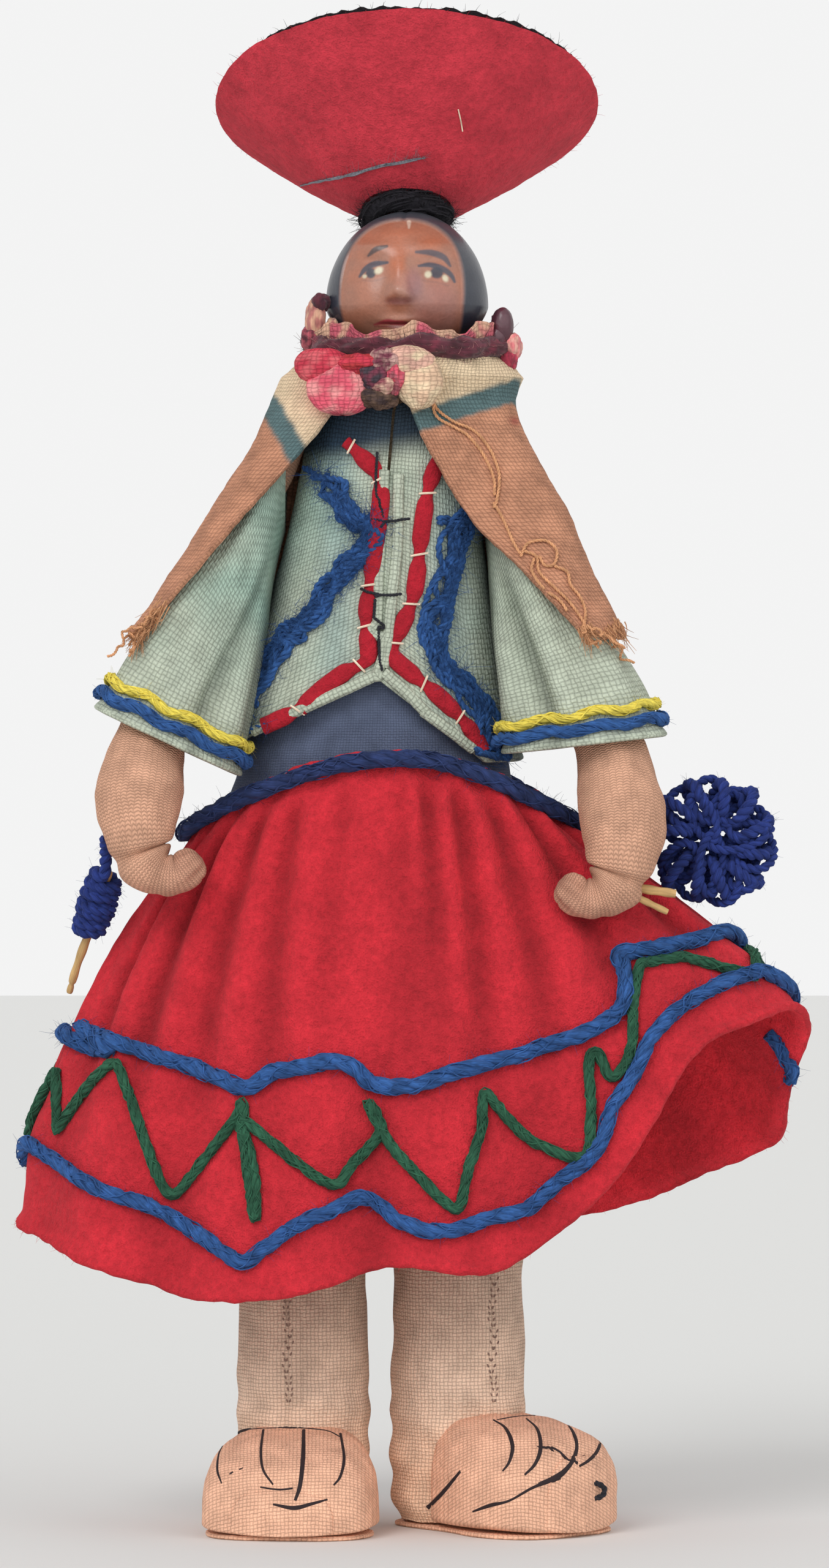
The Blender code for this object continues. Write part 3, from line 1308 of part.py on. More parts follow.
def build_sole(side, side_name):
    """The flat cloth sole under leg and foot."""
    heel = HEEL_BACK_SHARE * FOOT_LENGTH[side]
    right_edge, left_edge = [], []
    for length_share, width_share in SOLE_SHARES:
        along = -heel + (FOOT_LENGTH[side] + heel) * length_share
        across = FOOT_HALF_WIDTH[side] * width_share
        right_edge.append((along, across))
        left_edge.append((along, -across))
    outline = right_edge + left_edge[::-1]
    rings = [[foot_point(side, along, across, z) for along, across in outline] for z in (0, SOLE_THICKNESS)]
    loft(f"sole_{side_name}", rings, "muslin")


def build_legs():
    """Both legs, each with a foot and a sole."""
    for side, side_name in SIDES.items():
        loft(f"leg_{side_name}", leg_rings(side, 0), "muslin")
        build_foot(side, side_name)
        build_sole(side, side_name)


def add_pivots():
    """Hang each moving group on an empty that stands on its joint's axis."""
    neck = Vector((NECK_X, 0, NECK_TOP_Z))
    hang_on(new_pivot("head_axis", neck), neck, ("head", "hat_pad", "hat_felt", "hat_lining"))
    held = {RIGHT: (), LEFT: ("hank_twig", "hank")}
    for side, side_name in SIDES.items():
        shoulder = Vector((side * arm_start(side), 0, SHOULDER_Z))
        arm_axis = new_pivot(f"{side_name}_shoulder_axis", shoulder)
        worn = [f"{piece}_{side_name}" for piece in ("arm", "arm_wire", "sleeve", "cuff_yellow", "cuff_blue")]
        hang_on(arm_axis, shoulder, (*worn, *held[side]))
        hip = Vector((LEG_X[side], 0, HIP_BALL_Z))
        hip_axis = new_pivot(f"{side_name}_hip_axis", hip)
        hang_on(hip_axis, hip, [f"{piece}_{side_name}" for piece in ("leg", "foot", "sole")])
        if side == RIGHT:
            pivot = spindle_pivot()
            spindle_axis = new_pivot("spindle_axis", pivot, arm_axis.name, shoulder)
            hang_on(spindle_axis, pivot, ("spindle_stick", "spindle_yarn"))


def centre_on_floor(root):
    """Move the root so that the doll's box stands centred on the origin."""
    bpy.context.view_layer.update()
    graph = bpy.context.evaluated_depsgraph_get()
    low, high = Vector((math.inf,) * 3), Vector((-math.inf,) * 3)
    for thing in bpy.data.collections["spinner_doll"].objects:
        if thing.type == "EMPTY":
            continue
        mesh = thing.evaluated_get(graph).to_mesh()
        for corner in mesh.vertices:
            point = thing.matrix_world @ corner.co
            low = Vector(map(min, low, point))
            high = Vector(map(max, high, point))
        thing.evaluated_get(graph).to_mesh_clear()
    root.location -= Vector(((low.x + high.x) / 2, (low.y + high.y) / 2, low.z))


def main():
    """Build the whole doll."""
    clear_scene()
    doll = new_collection("spinner_doll")
    new_collection("cutters")
    root = bpy.data.objects.new("doll_root", None)
    doll.objects.link(root)
    build_torso()
    build_neck_peg()
    build_head()
    build_hat()
    build_bodice()
    build_jacket()
    build_jacket_trims()
    build_sleeves()
    build_arms()
    build_spindle()
    build_twig()
    build_hank()
    build_shawl()
    build_skirt()
    build_skirt_trims()
    build_legs()
    add_pivots()
    centre_on_floor(root)


main()
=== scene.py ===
"""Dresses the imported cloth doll: felt, woven cloth, knit, yarn, a painted head and ink on the feet.

All shapes are worked out in millimetres in the doll's own frame: Z = 0 is the floor, the doll faces -Y,
its own right hand is at -X, and X = 0 lies between its legs. World places are these plus one offset.
"""

import json
import logging
import math
from dataclasses import dataclass, field
from enum import Enum

import bmesh
import bpy
import numpy as np
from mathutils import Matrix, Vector, noise
from mathutils.bvhtree import BVHTree

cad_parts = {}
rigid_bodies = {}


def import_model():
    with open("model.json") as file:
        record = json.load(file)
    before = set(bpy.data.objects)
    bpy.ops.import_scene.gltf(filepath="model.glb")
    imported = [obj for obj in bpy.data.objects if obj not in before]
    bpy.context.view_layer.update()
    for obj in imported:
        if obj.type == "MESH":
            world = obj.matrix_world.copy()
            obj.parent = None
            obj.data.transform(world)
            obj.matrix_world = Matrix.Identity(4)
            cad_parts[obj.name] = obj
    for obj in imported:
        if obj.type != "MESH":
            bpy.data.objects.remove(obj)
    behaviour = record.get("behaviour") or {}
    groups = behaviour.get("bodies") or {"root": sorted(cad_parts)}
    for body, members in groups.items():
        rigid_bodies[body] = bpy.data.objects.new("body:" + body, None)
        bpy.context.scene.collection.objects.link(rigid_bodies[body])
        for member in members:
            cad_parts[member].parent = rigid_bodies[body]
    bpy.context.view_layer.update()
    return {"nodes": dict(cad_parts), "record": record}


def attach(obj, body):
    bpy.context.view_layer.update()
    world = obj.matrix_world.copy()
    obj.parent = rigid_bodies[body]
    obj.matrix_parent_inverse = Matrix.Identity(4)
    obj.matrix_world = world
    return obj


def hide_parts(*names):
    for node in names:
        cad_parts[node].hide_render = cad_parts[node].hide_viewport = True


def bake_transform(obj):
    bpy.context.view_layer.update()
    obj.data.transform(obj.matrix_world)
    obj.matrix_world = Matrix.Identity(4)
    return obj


LOG = logging.getLogger("spinner_doll")
MM = 0.001
TURN = 2 * math.pi
COLOUR_LAYER = "paint"
CLOTH_LAYER = "cloth_mm"
RIM_SHARE = 0.35
WELD = 0.0005
SMOOTH_ALL = 180.0
PLAIN_GLOSS = 0.25
SOFT_SHEEN = 0.6
FINE_HAIR = 0.04
Colour = tuple[float, float, float]


class Side(Enum):
    """The doll's own sides, as signs along X."""

    RIGHT = -1
    LEFT = 1

    @property
    def word(self) -> str:
        """The side's name in lower case."""
        return self.name.lower()


def right_left(right: float, left: float) -> dict[int, float]:
    """A field with one value for each side of the doll, by its sign."""
    return field(default_factory=lambda: {Side.RIGHT.value: right, Side.LEFT.value: left})


def linear(red: float, green: float, blue: float) -> Colour:
    """Turn an 8-bit display colour, given as three values from 0 to 255, into a linear one."""
    shares = (tone / 255 for tone in (red, green, blue))
    return tuple(c / 12.92 if c <= 10 / 255 else ((c + 0.055) / 1.055) ** 2.4 for c in shares)


def smooth(edge0: float, edge1: float, value: np.ndarray) -> np.ndarray:
    """How far each value has risen, smoothly from 0 to 1, between two edges."""
    share = np.clip((np.asarray(value, float) - edge0) / (edge1 - edge0), 0, 1)
    return share * share * (3 - 2 * share)


def bump(value: np.ndarray, middle: float, width: float) -> np.ndarray:
    """A soft hump of height 1 round a middle."""
    return np.exp(-(((np.asarray(value, float) - middle) / width) ** 2))


def from_front(angle: np.ndarray) -> np.ndarray:
    """Angles counted from the front, -pi to pi."""
    return (angle + math.pi) % TURN - math.pi


def ripple(points: np.ndarray, scale: float, seed: float = 0.0) -> np.ndarray:
    """Smooth noise between about -1 and 1.

    Args:
        points: places in mm, last axis of 3.
        scale: size of the lumps in mm.
        seed: shifts the pattern.

    Returns:
        One value per place.
    """
    flat = np.asarray(points, float).reshape(-1, 3) / scale + seed
    values = [noise.noise(Vector(p)) for p in flat]
    return np.array(values).reshape(np.asarray(points).shape[:-1])


def curved(
    before: np.ndarray, here: np.ndarray, after: np.ndarray, later: np.ndarray, share: np.ndarray
) -> np.ndarray:
    """A smooth curve from here to after.

    Args:
        before, here, after, later: four values in order.
        share: how far along, 0 at here and 1 at after.

    Returns:
        The values between.
    """
    return (
        here * (2 * share**3 - 3 * share**2 + 1)
        + (after - before) / 2 * (share**3 - 2 * share**2 + share)
        + after * (3 * share**2 - 2 * share**3)
        + (later - here) / 2 * (share**3 - share**2)
    )


def on_curve(points: list, steps: int, closed: bool = False) -> np.ndarray:
    """Pass a smooth curve through points.

    Args:
        points: the places to pass through.
        steps: new points for each stretch.
        closed: whether the curve comes back to its start.

    Returns:
        The points of the curve.
    """
    given = np.asarray(points, float)
    if closed:
        padded = np.vstack([given[-1], given, given[0], given[1]])
    else:
        padded = np.vstack([2 * given[0] - given[1], given, 2 * given[-1] - given[-2]])
    share = np.linspace(0, 1, steps, endpoint=False)[:, None]
    route = []
    for k in range(1, len(padded) - 2):
        before, here, after, later = padded[k - 1 : k + 3]
        route.append(curved(before, here, after, later, share))
    route = np.vstack(route)
    return route if closed else np.vstack([route, given[-1]])


def evenly(route: np.ndarray, spacing: float, closed: bool = False) -> np.ndarray:
    """Space a route's points evenly.

    Args:
        route: points in mm.
        spacing: the wanted distance in mm.
        closed: whether the route comes back to its start.

    Returns:
        The new points.
    """
    line = np.vstack([route, route[:1]]) if closed else route
    lengths = np.concatenate([[0], np.cumsum(np.linalg.norm(np.diff(line, axis=0), axis=1))])
    count = max(int(lengths[-1] / spacing), 3)
    wanted = np.linspace(0, lengths[-1], count, endpoint=not closed)
    return np.stack([np.interp(wanted, lengths, line[:, k]) for k in range(3)], axis=1)


def frames_along(route: np.ndarray, closed: bool = False) -> tuple[np.ndarray, np.ndarray]:
    """Two directions square to a route, turned as little as possible along it.

    Args:
        route: points in mm.
        closed: whether the route comes back to its start.

    Returns:
        The two directions at each point.
    """
    if closed:
        ahead = np.roll(route, -1, axis=0) - np.roll(route, 1, axis=0)
    else:
        ahead = np.gradient(route, axis=0)
    ahead /= np.linalg.norm(ahead, axis=1)[:, None] + 1e-12
    across = np.zeros_like(route)
    current = np.array([0.0, 1.0, 0.0]) if abs(ahead[0][1]) < 0.9 else np.array([1.0, 0.0, 0.0])
    for k, way in enumerate(ahead):
        current = current - way * current.dot(way)
        current /= np.linalg.norm(current)
        across[k] = current
    if closed:
        first, last = across[0], across[-1]
        twist = math.atan2(np.cross(last, first).dot(ahead[0]), last.dot(first))
        angles = twist * np.arange(len(route)) / len(route)
        third = np.cross(ahead, across)
        across = across * np.cos(angles)[:, None] + third * np.sin(angles)[:, None]
    return across, np.cross(ahead, across)


def rings_along(across: np.ndarray, third: np.ndarray, angle: np.ndarray) -> np.ndarray:
    """Directions round a route at angles, one ring for each of its points."""
    return across[:, None] * np.cos(angle)[None, :, None] + third[:, None] * np.sin(angle)[None, :, None]


class MeshPile:
    """Collects surfaces in mm and makes one object of them."""

    def __init__(self) -> None:
        """Start empty."""
        self.points: list[np.ndarray] = []
        self.faces: list[list[int]] = []
        self.corners: list[np.ndarray] = []
        self.paint: list[np.ndarray] = []
        self.count = 0

    def _keep(self, points: np.ndarray, paint: np.ndarray | None) -> int:
        """Store points with their colours and return the number of the first.

        Args:
            points: the points, in mm.
            paint: their colours; white without them.

        Returns:
            The number of the first of them.
        """
        first = self.count
        self.points.append(points)
        self.paint.append(np.ones((len(points), 4)) if paint is None else paint.reshape(-1, 4))
        self.count += len(points)
        return first

    def grid(
        self,
        grid: np.ndarray,
        round_: bool = False,
        flip: bool = False,
        paint: np.ndarray | None = None,
        cloth: np.ndarray | None = None,
    ) -> None:
        """Add a surface through rows and columns of points.

        Args:
            grid: rows x columns x 3 places in mm.
            round_: whether the last column joins the first.
            flip: turn the faces over.
            paint: rows x columns x 4 colours.
            cloth: rows x columns x 2 places along its cloth, where they aren't simply the rows and columns.
        """
        rows, columns = grid.shape[:2]
        first = self._keep(grid.reshape(-1, 3), paint)
        wrapped = np.concatenate([grid, grid[:, :1]], axis=1) if round_ else grid
        along = np.linalg.norm(np.diff(wrapped, axis=1), axis=2).mean(axis=0)
        up = np.linalg.norm(np.diff(grid, axis=0), axis=2).mean(axis=1)
        u = np.concatenate([[0], np.cumsum(along)])
        v = np.concatenate([[0], np.cumsum(up)])
        row, column = np.meshgrid(np.arange(rows - 1), np.arange(wrapped.shape[1] - 1), indexing="ij")
        row, column = row.ravel(), column.ravel()
        after = (column + 1) % columns
        low, high = first + row * columns, first + (row + 1) * columns
        quads = np.stack([low + column, low + after, high + after, high + column], axis=1)
        uv = np.stack(
            [
                np.stack([u[column], v[row]], 1),
                np.stack([u[column + 1], v[row]], 1),
                np.stack([u[column + 1], v[row + 1]], 1),
                np.stack([u[column], v[row + 1]], 1),
            ],
            axis=1,
        )
        if cloth is not None:
            uv = cloth.reshape(-1, 2)[quads - first]
        if flip:
            quads, uv = quads[:, ::-1], uv[:, ::-1]
        self.faces.extend(quads.tolist())
        self.corners.append(uv.reshape(-1, 2))

    def shell(
        self,
        grid: np.ndarray,
        thickness: float,
        round_: bool = False,
        paint: np.ndarray | None = None,
        lining: float = 1.0,
    ) -> None:
        """Add a cloth of some thickness whose outer face is the grid.

        Args:
            grid: rows x columns x 3 places in mm, facing out.
            thickness: how thick the cloth is, in mm.
            round_: whether the last column joins the first.
            paint: rows x columns x 4 colours.
            lining: how much lighter the inner face is painted, as a share: painted light on the inside.
        """
        inner = grid - outward(grid, round_) * thickness
        self.grid(grid, round_, paint=paint)
        self.grid(inner, round_, flip=True, paint=None if paint is None else paint * lining)
        for row, near, flip in ((0, 1, True), (-1, -2, False)):
            middle = (grid[row] + inner[row]) / 2
            out = grid[row] - grid[near]
            out /= np.linalg.norm(out, axis=1)[:, None] + 1e-9
            swell = out * thickness * RIM_SHARE
            soft = [middle + (side - middle) * 0.75 + swell * 0.7 for side in (grid[row], inner[row])]
            rim = np.stack([grid[row], soft[0], middle + swell, soft[1], inner[row]])
            colours = None if paint is None else np.stack([paint[row]] * len(rim))
            self.grid(rim, round_, flip=flip, paint=colours)
        if not round_:
            for column, flip in ((0, False), (-1, True)):
                rim = np.stack([grid[:, column], inner[:, column]])
                colours = None if paint is None else np.stack([paint[:, column]] * 2)
                self.grid(rim, flip=flip, paint=colours)

    def tube(
        self,
        route: np.ndarray,
        radius: np.ndarray | float,
        sides: int = 8,
        closed: bool = False,
        colour: Colour | None = None,
    ) -> None:
        """Add a tube along a route, closed at its ends.

        Args:
            route: points in mm.
            radius: one radius, or one for each point, in mm.
            sides: facets round the tube.
            closed: whether the route comes back to its start.
            colour: one colour for the whole tube.
        """
        across, third = frames_along(route, closed)
        radii = np.broadcast_to(np.asarray(radius, float), (len(route),)).copy()
        angle = np.arange(sides) / sides * TURN
        ring = rings_along(across, third, angle)
        grid = route[:, None] + ring * radii[:, None, None]
        if closed:
            grid = np.concatenate([grid, grid[:1]])
        else:
            first = route[0] + ring[0] * radii[0] * 0.02
            last = route[-1] + ring[-1] * radii[-1] * 0.02
            grid = np.concatenate([first[None], grid, last[None]])
        paint = None
        if colour is not None:
            paint = blank(grid)
            paint[..., :3] = colour
        self.grid(grid, round_=True, paint=paint)

    def yarn(
        self,
        route: np.ndarray,
        radius: float,
        pitch: float,
        plies: int = 2,
        closed: bool = False,
        wander: float = 0.06,
        seed: float = 1.0,
    ) -> None:
        """Add a twisted yarn.

        Args:
            route: points in mm.
            radius: the yarn's radius in mm.
            pitch: the length of one twist in mm.
            plies: strands that are twisted together.
            closed: whether the route comes back to its start.
            wander: how much the thickness varies, as a share.
            seed: shifts the variation.
        """
        line = evenly(route, pitch / 9, closed)
        across, third = frames_along(line, closed)
        length = np.linalg.norm(np.diff(line, axis=0), axis=1).sum()
        turns = max(round(length / pitch), 1)
        angle = np.linspace(0, TURN * turns, len(line), endpoint=not closed)
        vary = 1 + wander * ripple(line, 3.0, seed)
        for ply in range(plies):
            turned = angle + TURN * ply / plies
            off = across * np.cos(turned)[:, None] + third * np.sin(turned)[:, None]
            self.tube(line + off * radius * 0.44, radius * 0.6 * vary, 7, closed)

    def wool(
        self, route: np.ndarray, radius: float, seed: int, closed: bool = False, hairy: float = 1.0
    ) -> None:
        """Add a soft, loosely spun wool yarn: uneven plies, stray strands and short fuzz.

        Args:
            route: points in mm.
            radius: the yarn's radius in mm.
            seed: for the random numbers.
            closed: whether the route comes back to its start.
            hairy: how much fuzz it has.
        """
        rng = np.random.default_rng(seed)
        self.yarn(route, radius * 0.94, radius * 7.5, 3, closed, 0.28, float(seed))
        line = evenly(route, 0.45, closed)
        across, third = frames_along(line, closed)
        share = np.linspace(0, 1, len(line), endpoint=not closed)
        length = np.linalg.norm(np.diff(line, axis=0), axis=1).sum()
        for strand in range(8):
            turns = round(length / radius / rng.uniform(9, 16)) * rng.choice([-1, 1])
            angle = rng.uniform(0, TURN) + TURN * turns * share + 0.9 * ripple(line, 2.0, strand * 3.1)
            reach = radius * (0.92 + 0.2 * ripple(line, 2.4, strand + 0.5))
            off = across * np.cos(angle)[:, None] + third * np.sin(angle)[:, None]
            self.tube(line + off * reach[:, None], 0.13 + 0.06 * ripple(line, 1.5, float(strand)), 4, closed)
        roots = np.repeat(line, max(round(3 * hairy), 1), axis=0)
        ways = rng.normal(size=roots.shape)
        self.hairs(roots + ways * radius * 0.3, ways, (radius * 0.4, radius * 1.0), 0.045, seed, 1.3)

    def hairs(
        self,
        roots: np.ndarray,
        ways: np.ndarray,
        length: tuple[float, float],
        radius: float,
        seed: int,
        curl: float = 0.5,
        colour: Colour | None = None,
    ) -> None:
        """Add loose fibres that stand off a surface.

        Args:
            roots: where they start, in mm.
            ways: the direction in which each leaves.
            length: shortest and longest fibre in mm.
            radius: the fibre's radius in mm.
            seed: for the random numbers.
            curl: how far a fibre bends away, as a share of its length.
            colour: one colour for all of them.
        """
        rng = np.random.default_rng(seed)
        count = len(roots)
        long = rng.uniform(*length, count)[:, None]
        ways = ways / (np.linalg.norm(ways, axis=1)[:, None] + 1e-9)
        aside = rng.normal(size=(count, 3))
        aside /= np.linalg.norm(aside, axis=1)[:, None]
        steps = 5
        corners = (0, TURN / 3, 2 * TURN / 3)
        rings = []
        side = np.cross(ways, aside)
        side /= np.linalg.norm(side, axis=1)[:, None] + 1e-9
        third = np.cross(ways, side)
        for step in range(steps):
            share = step / (steps - 1)
            middle = roots + ways * long * share + aside * long * curl * share**2
            thick = radius * (1 - 0.7 * share)
            ring = [middle + (side * math.cos(a) + third * math.sin(a)) * thick for a in corners]
            rings.append(np.stack(ring, axis=1))
        stack = np.stack(rings, axis=1)
        first = self._keep(stack.reshape(-1, 3), _flat_paint(count * steps * 3, colour))
        base = first + np.arange(count)[:, None] * steps * 3
        for step in range(steps - 1):
            for k in range(3):
                low, high = step * 3, (step + 1) * 3
                quad = np.array([low + k, low + (k + 1) % 3, high + (k + 1) % 3, high + k])
                self.faces.extend((base + quad).tolist())
                self.corners.append(np.tile(np.array([[0, 0], [1, 0], [1, 1], [0, 1]], float), (count, 1)))

    def build(self, name: str, finish: bpy.types.Material, sharp: float = 60) -> bpy.types.Object:
        """Make the object, shaded smooth.

        Args:
            name: the piece's name.
            finish: its material.
            sharp: edges sharper than this many degrees stay sharp.

        Returns:
            The new object, in the scene.
        """
        mesh = bpy.data.meshes.new(name)
        places = (np.vstack(self.points) + DollFrame.offset) * MM
        mesh.from_pydata(places.tolist(), [], self.faces)
        layer = mesh.uv_layers.new(name=CLOTH_LAYER)
        layer.data.foreach_set("uv", np.vstack(self.corners).astype(np.float32).ravel())
        colours = mesh.color_attributes.new(COLOUR_LAYER, "FLOAT_COLOR", "POINT")
        colours.data.foreach_set("color", np.vstack(self.paint).astype(np.float32).ravel())
        mesh.materials.append(finish)
        whole = bmesh.new()
        whole.from_mesh(mesh)
        bmesh.ops.remove_doubles(whole, verts=whole.verts, dist=WELD * MM)
        whole.to_mesh(mesh)
        whole.free()
        mesh.shade_smooth()
        mesh.set_sharp_from_angle(angle=math.radians(sharp))
        piece = bpy.data.objects.new(name, mesh)
        bpy.context.scene.collection.objects.link(piece)
        LOG.info("%s: %d faces", name, len(self.faces))
        return piece


def _flat_paint(count: int, colour: Colour | None) -> np.ndarray:
    """The same colour for a number of points.

    Args:
        count: how many points.
        colour: their colour; white without one.

    Returns:
        The colours.
    """
    paint = np.ones((count, 4))
    if colour is not None:
        paint[:, :3] = colour
    return paint


def blank(grid: np.ndarray) -> np.ndarray:
    """White paint for each place of a grid."""
    return np.ones((*grid.shape[:2], 4))


def capped(grid: np.ndarray) -> np.ndarray:
    """A grid closed at its first and last row by a row that lies in one point."""
    foot, crown = (np.tile(row.mean(axis=0), (1, grid.shape[1], 1)) for row in (grid[0], grid[-1]))
    return np.concatenate([foot, grid, crown])


def beside(route: np.ndarray, normals: np.ndarray) -> np.ndarray:
    """Directions along a surface, square to a route on it.

    Args:
        route: points in mm.
        normals: the surface's directions at them.

    Returns:
        One direction for each point.
    """
    ahead = np.gradient(route, axis=0)
    ahead /= np.linalg.norm(ahead, axis=1)[:, None] + 1e-9
    return np.cross(ahead, normals)


def pointed(grid: np.ndarray, route: np.ndarray, share: float) -> np.ndarray:
    """The rings along a route, closed by ends that are a share of their size, facing out.

    Args:
        grid: the rings.
        route: the points that they stand round.
        share: the size of each end ring, as a share.

    Returns:
        The closed grid.
    """
    ends = (grid[k] * share + route[k, None] * (1 - share) for k in (slice(0, 1), slice(-1, None)))
    first, last = ends
    return np.concatenate([first, grid, last])[:, ::-1]


def outward(grid: np.ndarray, round_: bool = False) -> np.ndarray:
    """Directions square to a grid's surface, on its outer side.

    Args:
        grid: rows x columns x 3 places.
        round_: whether the last column joins the first.

    Returns:
        rows x columns x 3 unit directions.
    """
    if round_:
        along = np.roll(grid, -1, axis=1) - np.roll(grid, 1, axis=1)
    else:
        along = np.gradient(grid, axis=1)
    up = np.gradient(grid, axis=0)
    normal = np.cross(along, up)
    return normal / (np.linalg.norm(normal, axis=2)[..., None] + 1e-12)


def raised(grid: np.ndarray, lift: np.ndarray, round_: bool = False) -> np.ndarray:
    """A grid moved out along its own directions by a lift in mm at each place."""
    return grid + outward(grid, round_) * lift[..., None]


class DollFrame:
    """Where the doll's own frame lies in the world."""

    offset = np.zeros(3)
    neck = np.array([2.5, 0.0, 193.5])

    @classmethod
    def read(cls, record: dict) -> None:
        """Find the offset from the neck joint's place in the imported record."""
        joint = next(j for j in record["behaviour"]["joints"] if j["name"] == "head_turn")
        cls.offset = np.array(joint["pos_m"]) / MM - cls.neck

    @classmethod
    def world(cls, x: float, y: float, z: float) -> tuple[float, float, float]:
        """A place of the doll's frame in world metres."""
        return tuple((np.array([x, y, z]) + cls.offset) * MM)


def settle(piece: bpy.types.Object, body: str, slot: str, *nodes: str) -> bpy.types.Object:
    """Attach a piece to the body that it rides on and hide the nodes that it stands for.

    Args:
        piece: the piece.
        body: the body it rides on.
        slot: its material slot; not used.
        nodes: the nodes of the part that it stands for.

    Returns:
        The piece.
    """
    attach(piece, body)
    if nodes:
        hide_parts(*nodes)
    return piece


class NodeSheet:
    """Wires the nodes of one material."""

    def __init__(self, name: str) -> None:
        """Start a material with its shader.

        Args:
            name: the material's name.
        """
        self.material = bpy.data.materials.new(name)
        self.material.use_nodes = True
        self.tree = self.material.node_tree
        self.shader = self.tree.nodes["Principled BSDF"]

    def put(self, target: bpy.types.NodeSocket, value: object) -> None:
        """Link a socket or set a plain value.

        Args:
            target: the input.
            value: a socket or a value.
        """
        if isinstance(value, bpy.types.NodeSocket):
            self.tree.links.new(value, target)
        else:
            target.default_value = value

    def node(
        self, kind: str, inputs: dict, output: int | str = 0, **settings: object
    ) -> bpy.types.NodeSocket:
        """Add a node.

        Args:
            kind: the node's type.
            inputs: values or sockets by input name or number.
            output: which of its outputs is wanted.
            settings: properties of the node.

        Returns:
            That output.
        """
        made = self.tree.nodes.new(kind)
        for key, value in settings.items():
            setattr(made, key, value)
        for key, value in inputs.items():
            self.put(made.inputs[key], value)
        return made.outputs[output]

    def math(self, operation: str, first: object, second: object = 0.0) -> bpy.types.NodeSocket:
        """A sum on two values."""
        return self.node("ShaderNodeMath", {0: first, 1: second}, operation=operation)

    def place(self) -> bpy.types.NodeSocket:
        """The place on the piece, in metres."""
        return self.node("ShaderNodeTexCoord", {}, "Object")

    def cloth_place(self) -> bpy.types.NodeSocket:
        """The place along the cloth, in mm."""
        return self.node("ShaderNodeUVMap", {}, uv_map=CLOTH_LAYER)

    def noise(self, size: float, detail: float = 3.0, stretch: Colour | None = None) -> bpy.types.NodeSocket:
        """Noise whose lumps have a size in mm.

        Args:
            size: size of the lumps.
            detail: octaves.
            stretch: how much each direction of the cloth is drawn out; without it the noise fills space.

        Returns:
            The noise, about 0 to 1.
        """
        if stretch is None:
            return self.node(
                "ShaderNodeTexNoise", {"Vector": self.place(), "Scale": 1 / (size * MM), "Detail": detail}
            )
        drawn = self.node("ShaderNodeVectorMath", {0: self.cloth_place(), 1: stretch}, operation="MULTIPLY")
        return self.node("ShaderNodeTexNoise", {"Vector": drawn, "Scale": 1 / size, "Detail": detail})

    def span(
        self, value: object, low: float, high: float, to_low: float, to_high: float
    ) -> bpy.types.NodeSocket:
        """Stretch a value from one range to another."""
        inputs = {"Value": value, "From Min": low, "From Max": high, "To Min": to_low, "To Max": to_high}
        return self.node("ShaderNodeMapRange", inputs)

    def tint(self, colour: object, share: object) -> bpy.types.NodeSocket:
        """A colour made darker or lighter by a share."""
        return self.node("ShaderNodeVectorMath", {0: colour, "Scale": share}, operation="SCALE")

    def painted(self) -> bpy.types.NodeSocket:
        """The colour painted on the piece's points."""
        return self.node("ShaderNodeVertexColor", {}, layer_name=COLOUR_LAYER)

    def relief(self, height: object, depth: float) -> None:
        """Give the shader a relief that is so many mm deep."""
        bumped = self.node("ShaderNodeBump", {"Height": height, "Distance": depth * MM, "Strength": 1.0})
        self.put(self.shader.inputs["Normal"], bumped)


@dataclass(frozen=True)
class Finish:
    """A material: its colour and how it takes the light."""

    name: str
    colour: Colour
    roughness: float = 0.95
    sheen: float = 0.0
    painted: bool = True
    mottle: float = 0.14

    def make(self) -> bpy.types.Material:
        """Return the material, made on first use.

        Returns:
            The material.
        """
        title = f"doll_{self.name}"
        found = bpy.data.materials.get(title)
        if found:
            return found
        sheet = NodeSheet(title)
        inputs = sheet.shader.inputs
        inputs["Roughness"].default_value = self.roughness
        inputs["Specular IOR Level"].default_value = PLAIN_GLOSS
        inputs["Sheen Weight"].default_value = self.sheen
        inputs["Sheen Roughness"].default_value = SOFT_SHEEN
        inputs["Sheen Tint"].default_value = (*(min(c * 1.5 + 0.1, 1) for c in self.colour), 1)
        colour = self.dress(sheet)
        if self.painted:
            colour = sheet.node("ShaderNodeVectorMath", {0: colour, 1: sheet.painted()}, operation="MULTIPLY")
        sheet.put(inputs["Base Color"], colour)
        sheet.material.diffuse_color = (*self.colour, 1)
        return sheet.material

    def mottled(self, sheet: NodeSheet, size: float) -> bpy.types.NodeSocket:
        """The colour with soft uneven patches of a size in mm."""
        share = sheet.span(sheet.noise(size), 0.3, 0.7, 1 - self.mottle, 1 + self.mottle)
        return sheet.tint(self.colour, share)

    def dress(self, sheet: NodeSheet) -> bpy.types.NodeSocket:
        """Wire the nodes and return the colour."""
        return self.mottled(sheet, 4.0)


@dataclass(frozen=True)
class Felt(Finish):
    """Pressed wool: fine matted fibres and soft lumps."""

    sheen: float = 0.25

    def dress(self, sheet: NodeSheet) -> bpy.types.NodeSocket:
        """Wire the nodes and return the colour.

        Args:
            sheet: the material's nodes.

        Returns:
            The colour.
        """
        fibre = sheet.noise(0.32, 4.0)
        matted = sheet.noise(1.1, 3.0)
        lumps = sheet.noise(3.0, 2.0)
        height = sheet.math("ADD", sheet.math("MULTIPLY", lumps, 1.8), sheet.math("MULTIPLY", matted, 1.2))
        sheet.relief(sheet.math("ADD", height, fibre), 0.42)
        fine, coarse = sheet.span(fibre, 0.3, 0.7, -0.1, 0.1), sheet.span(matted, 0.3, 0.7, 0.86, 1.12)
        return sheet.tint(self.mottled(sheet, 5.5), sheet.math("ADD", fine, coarse))


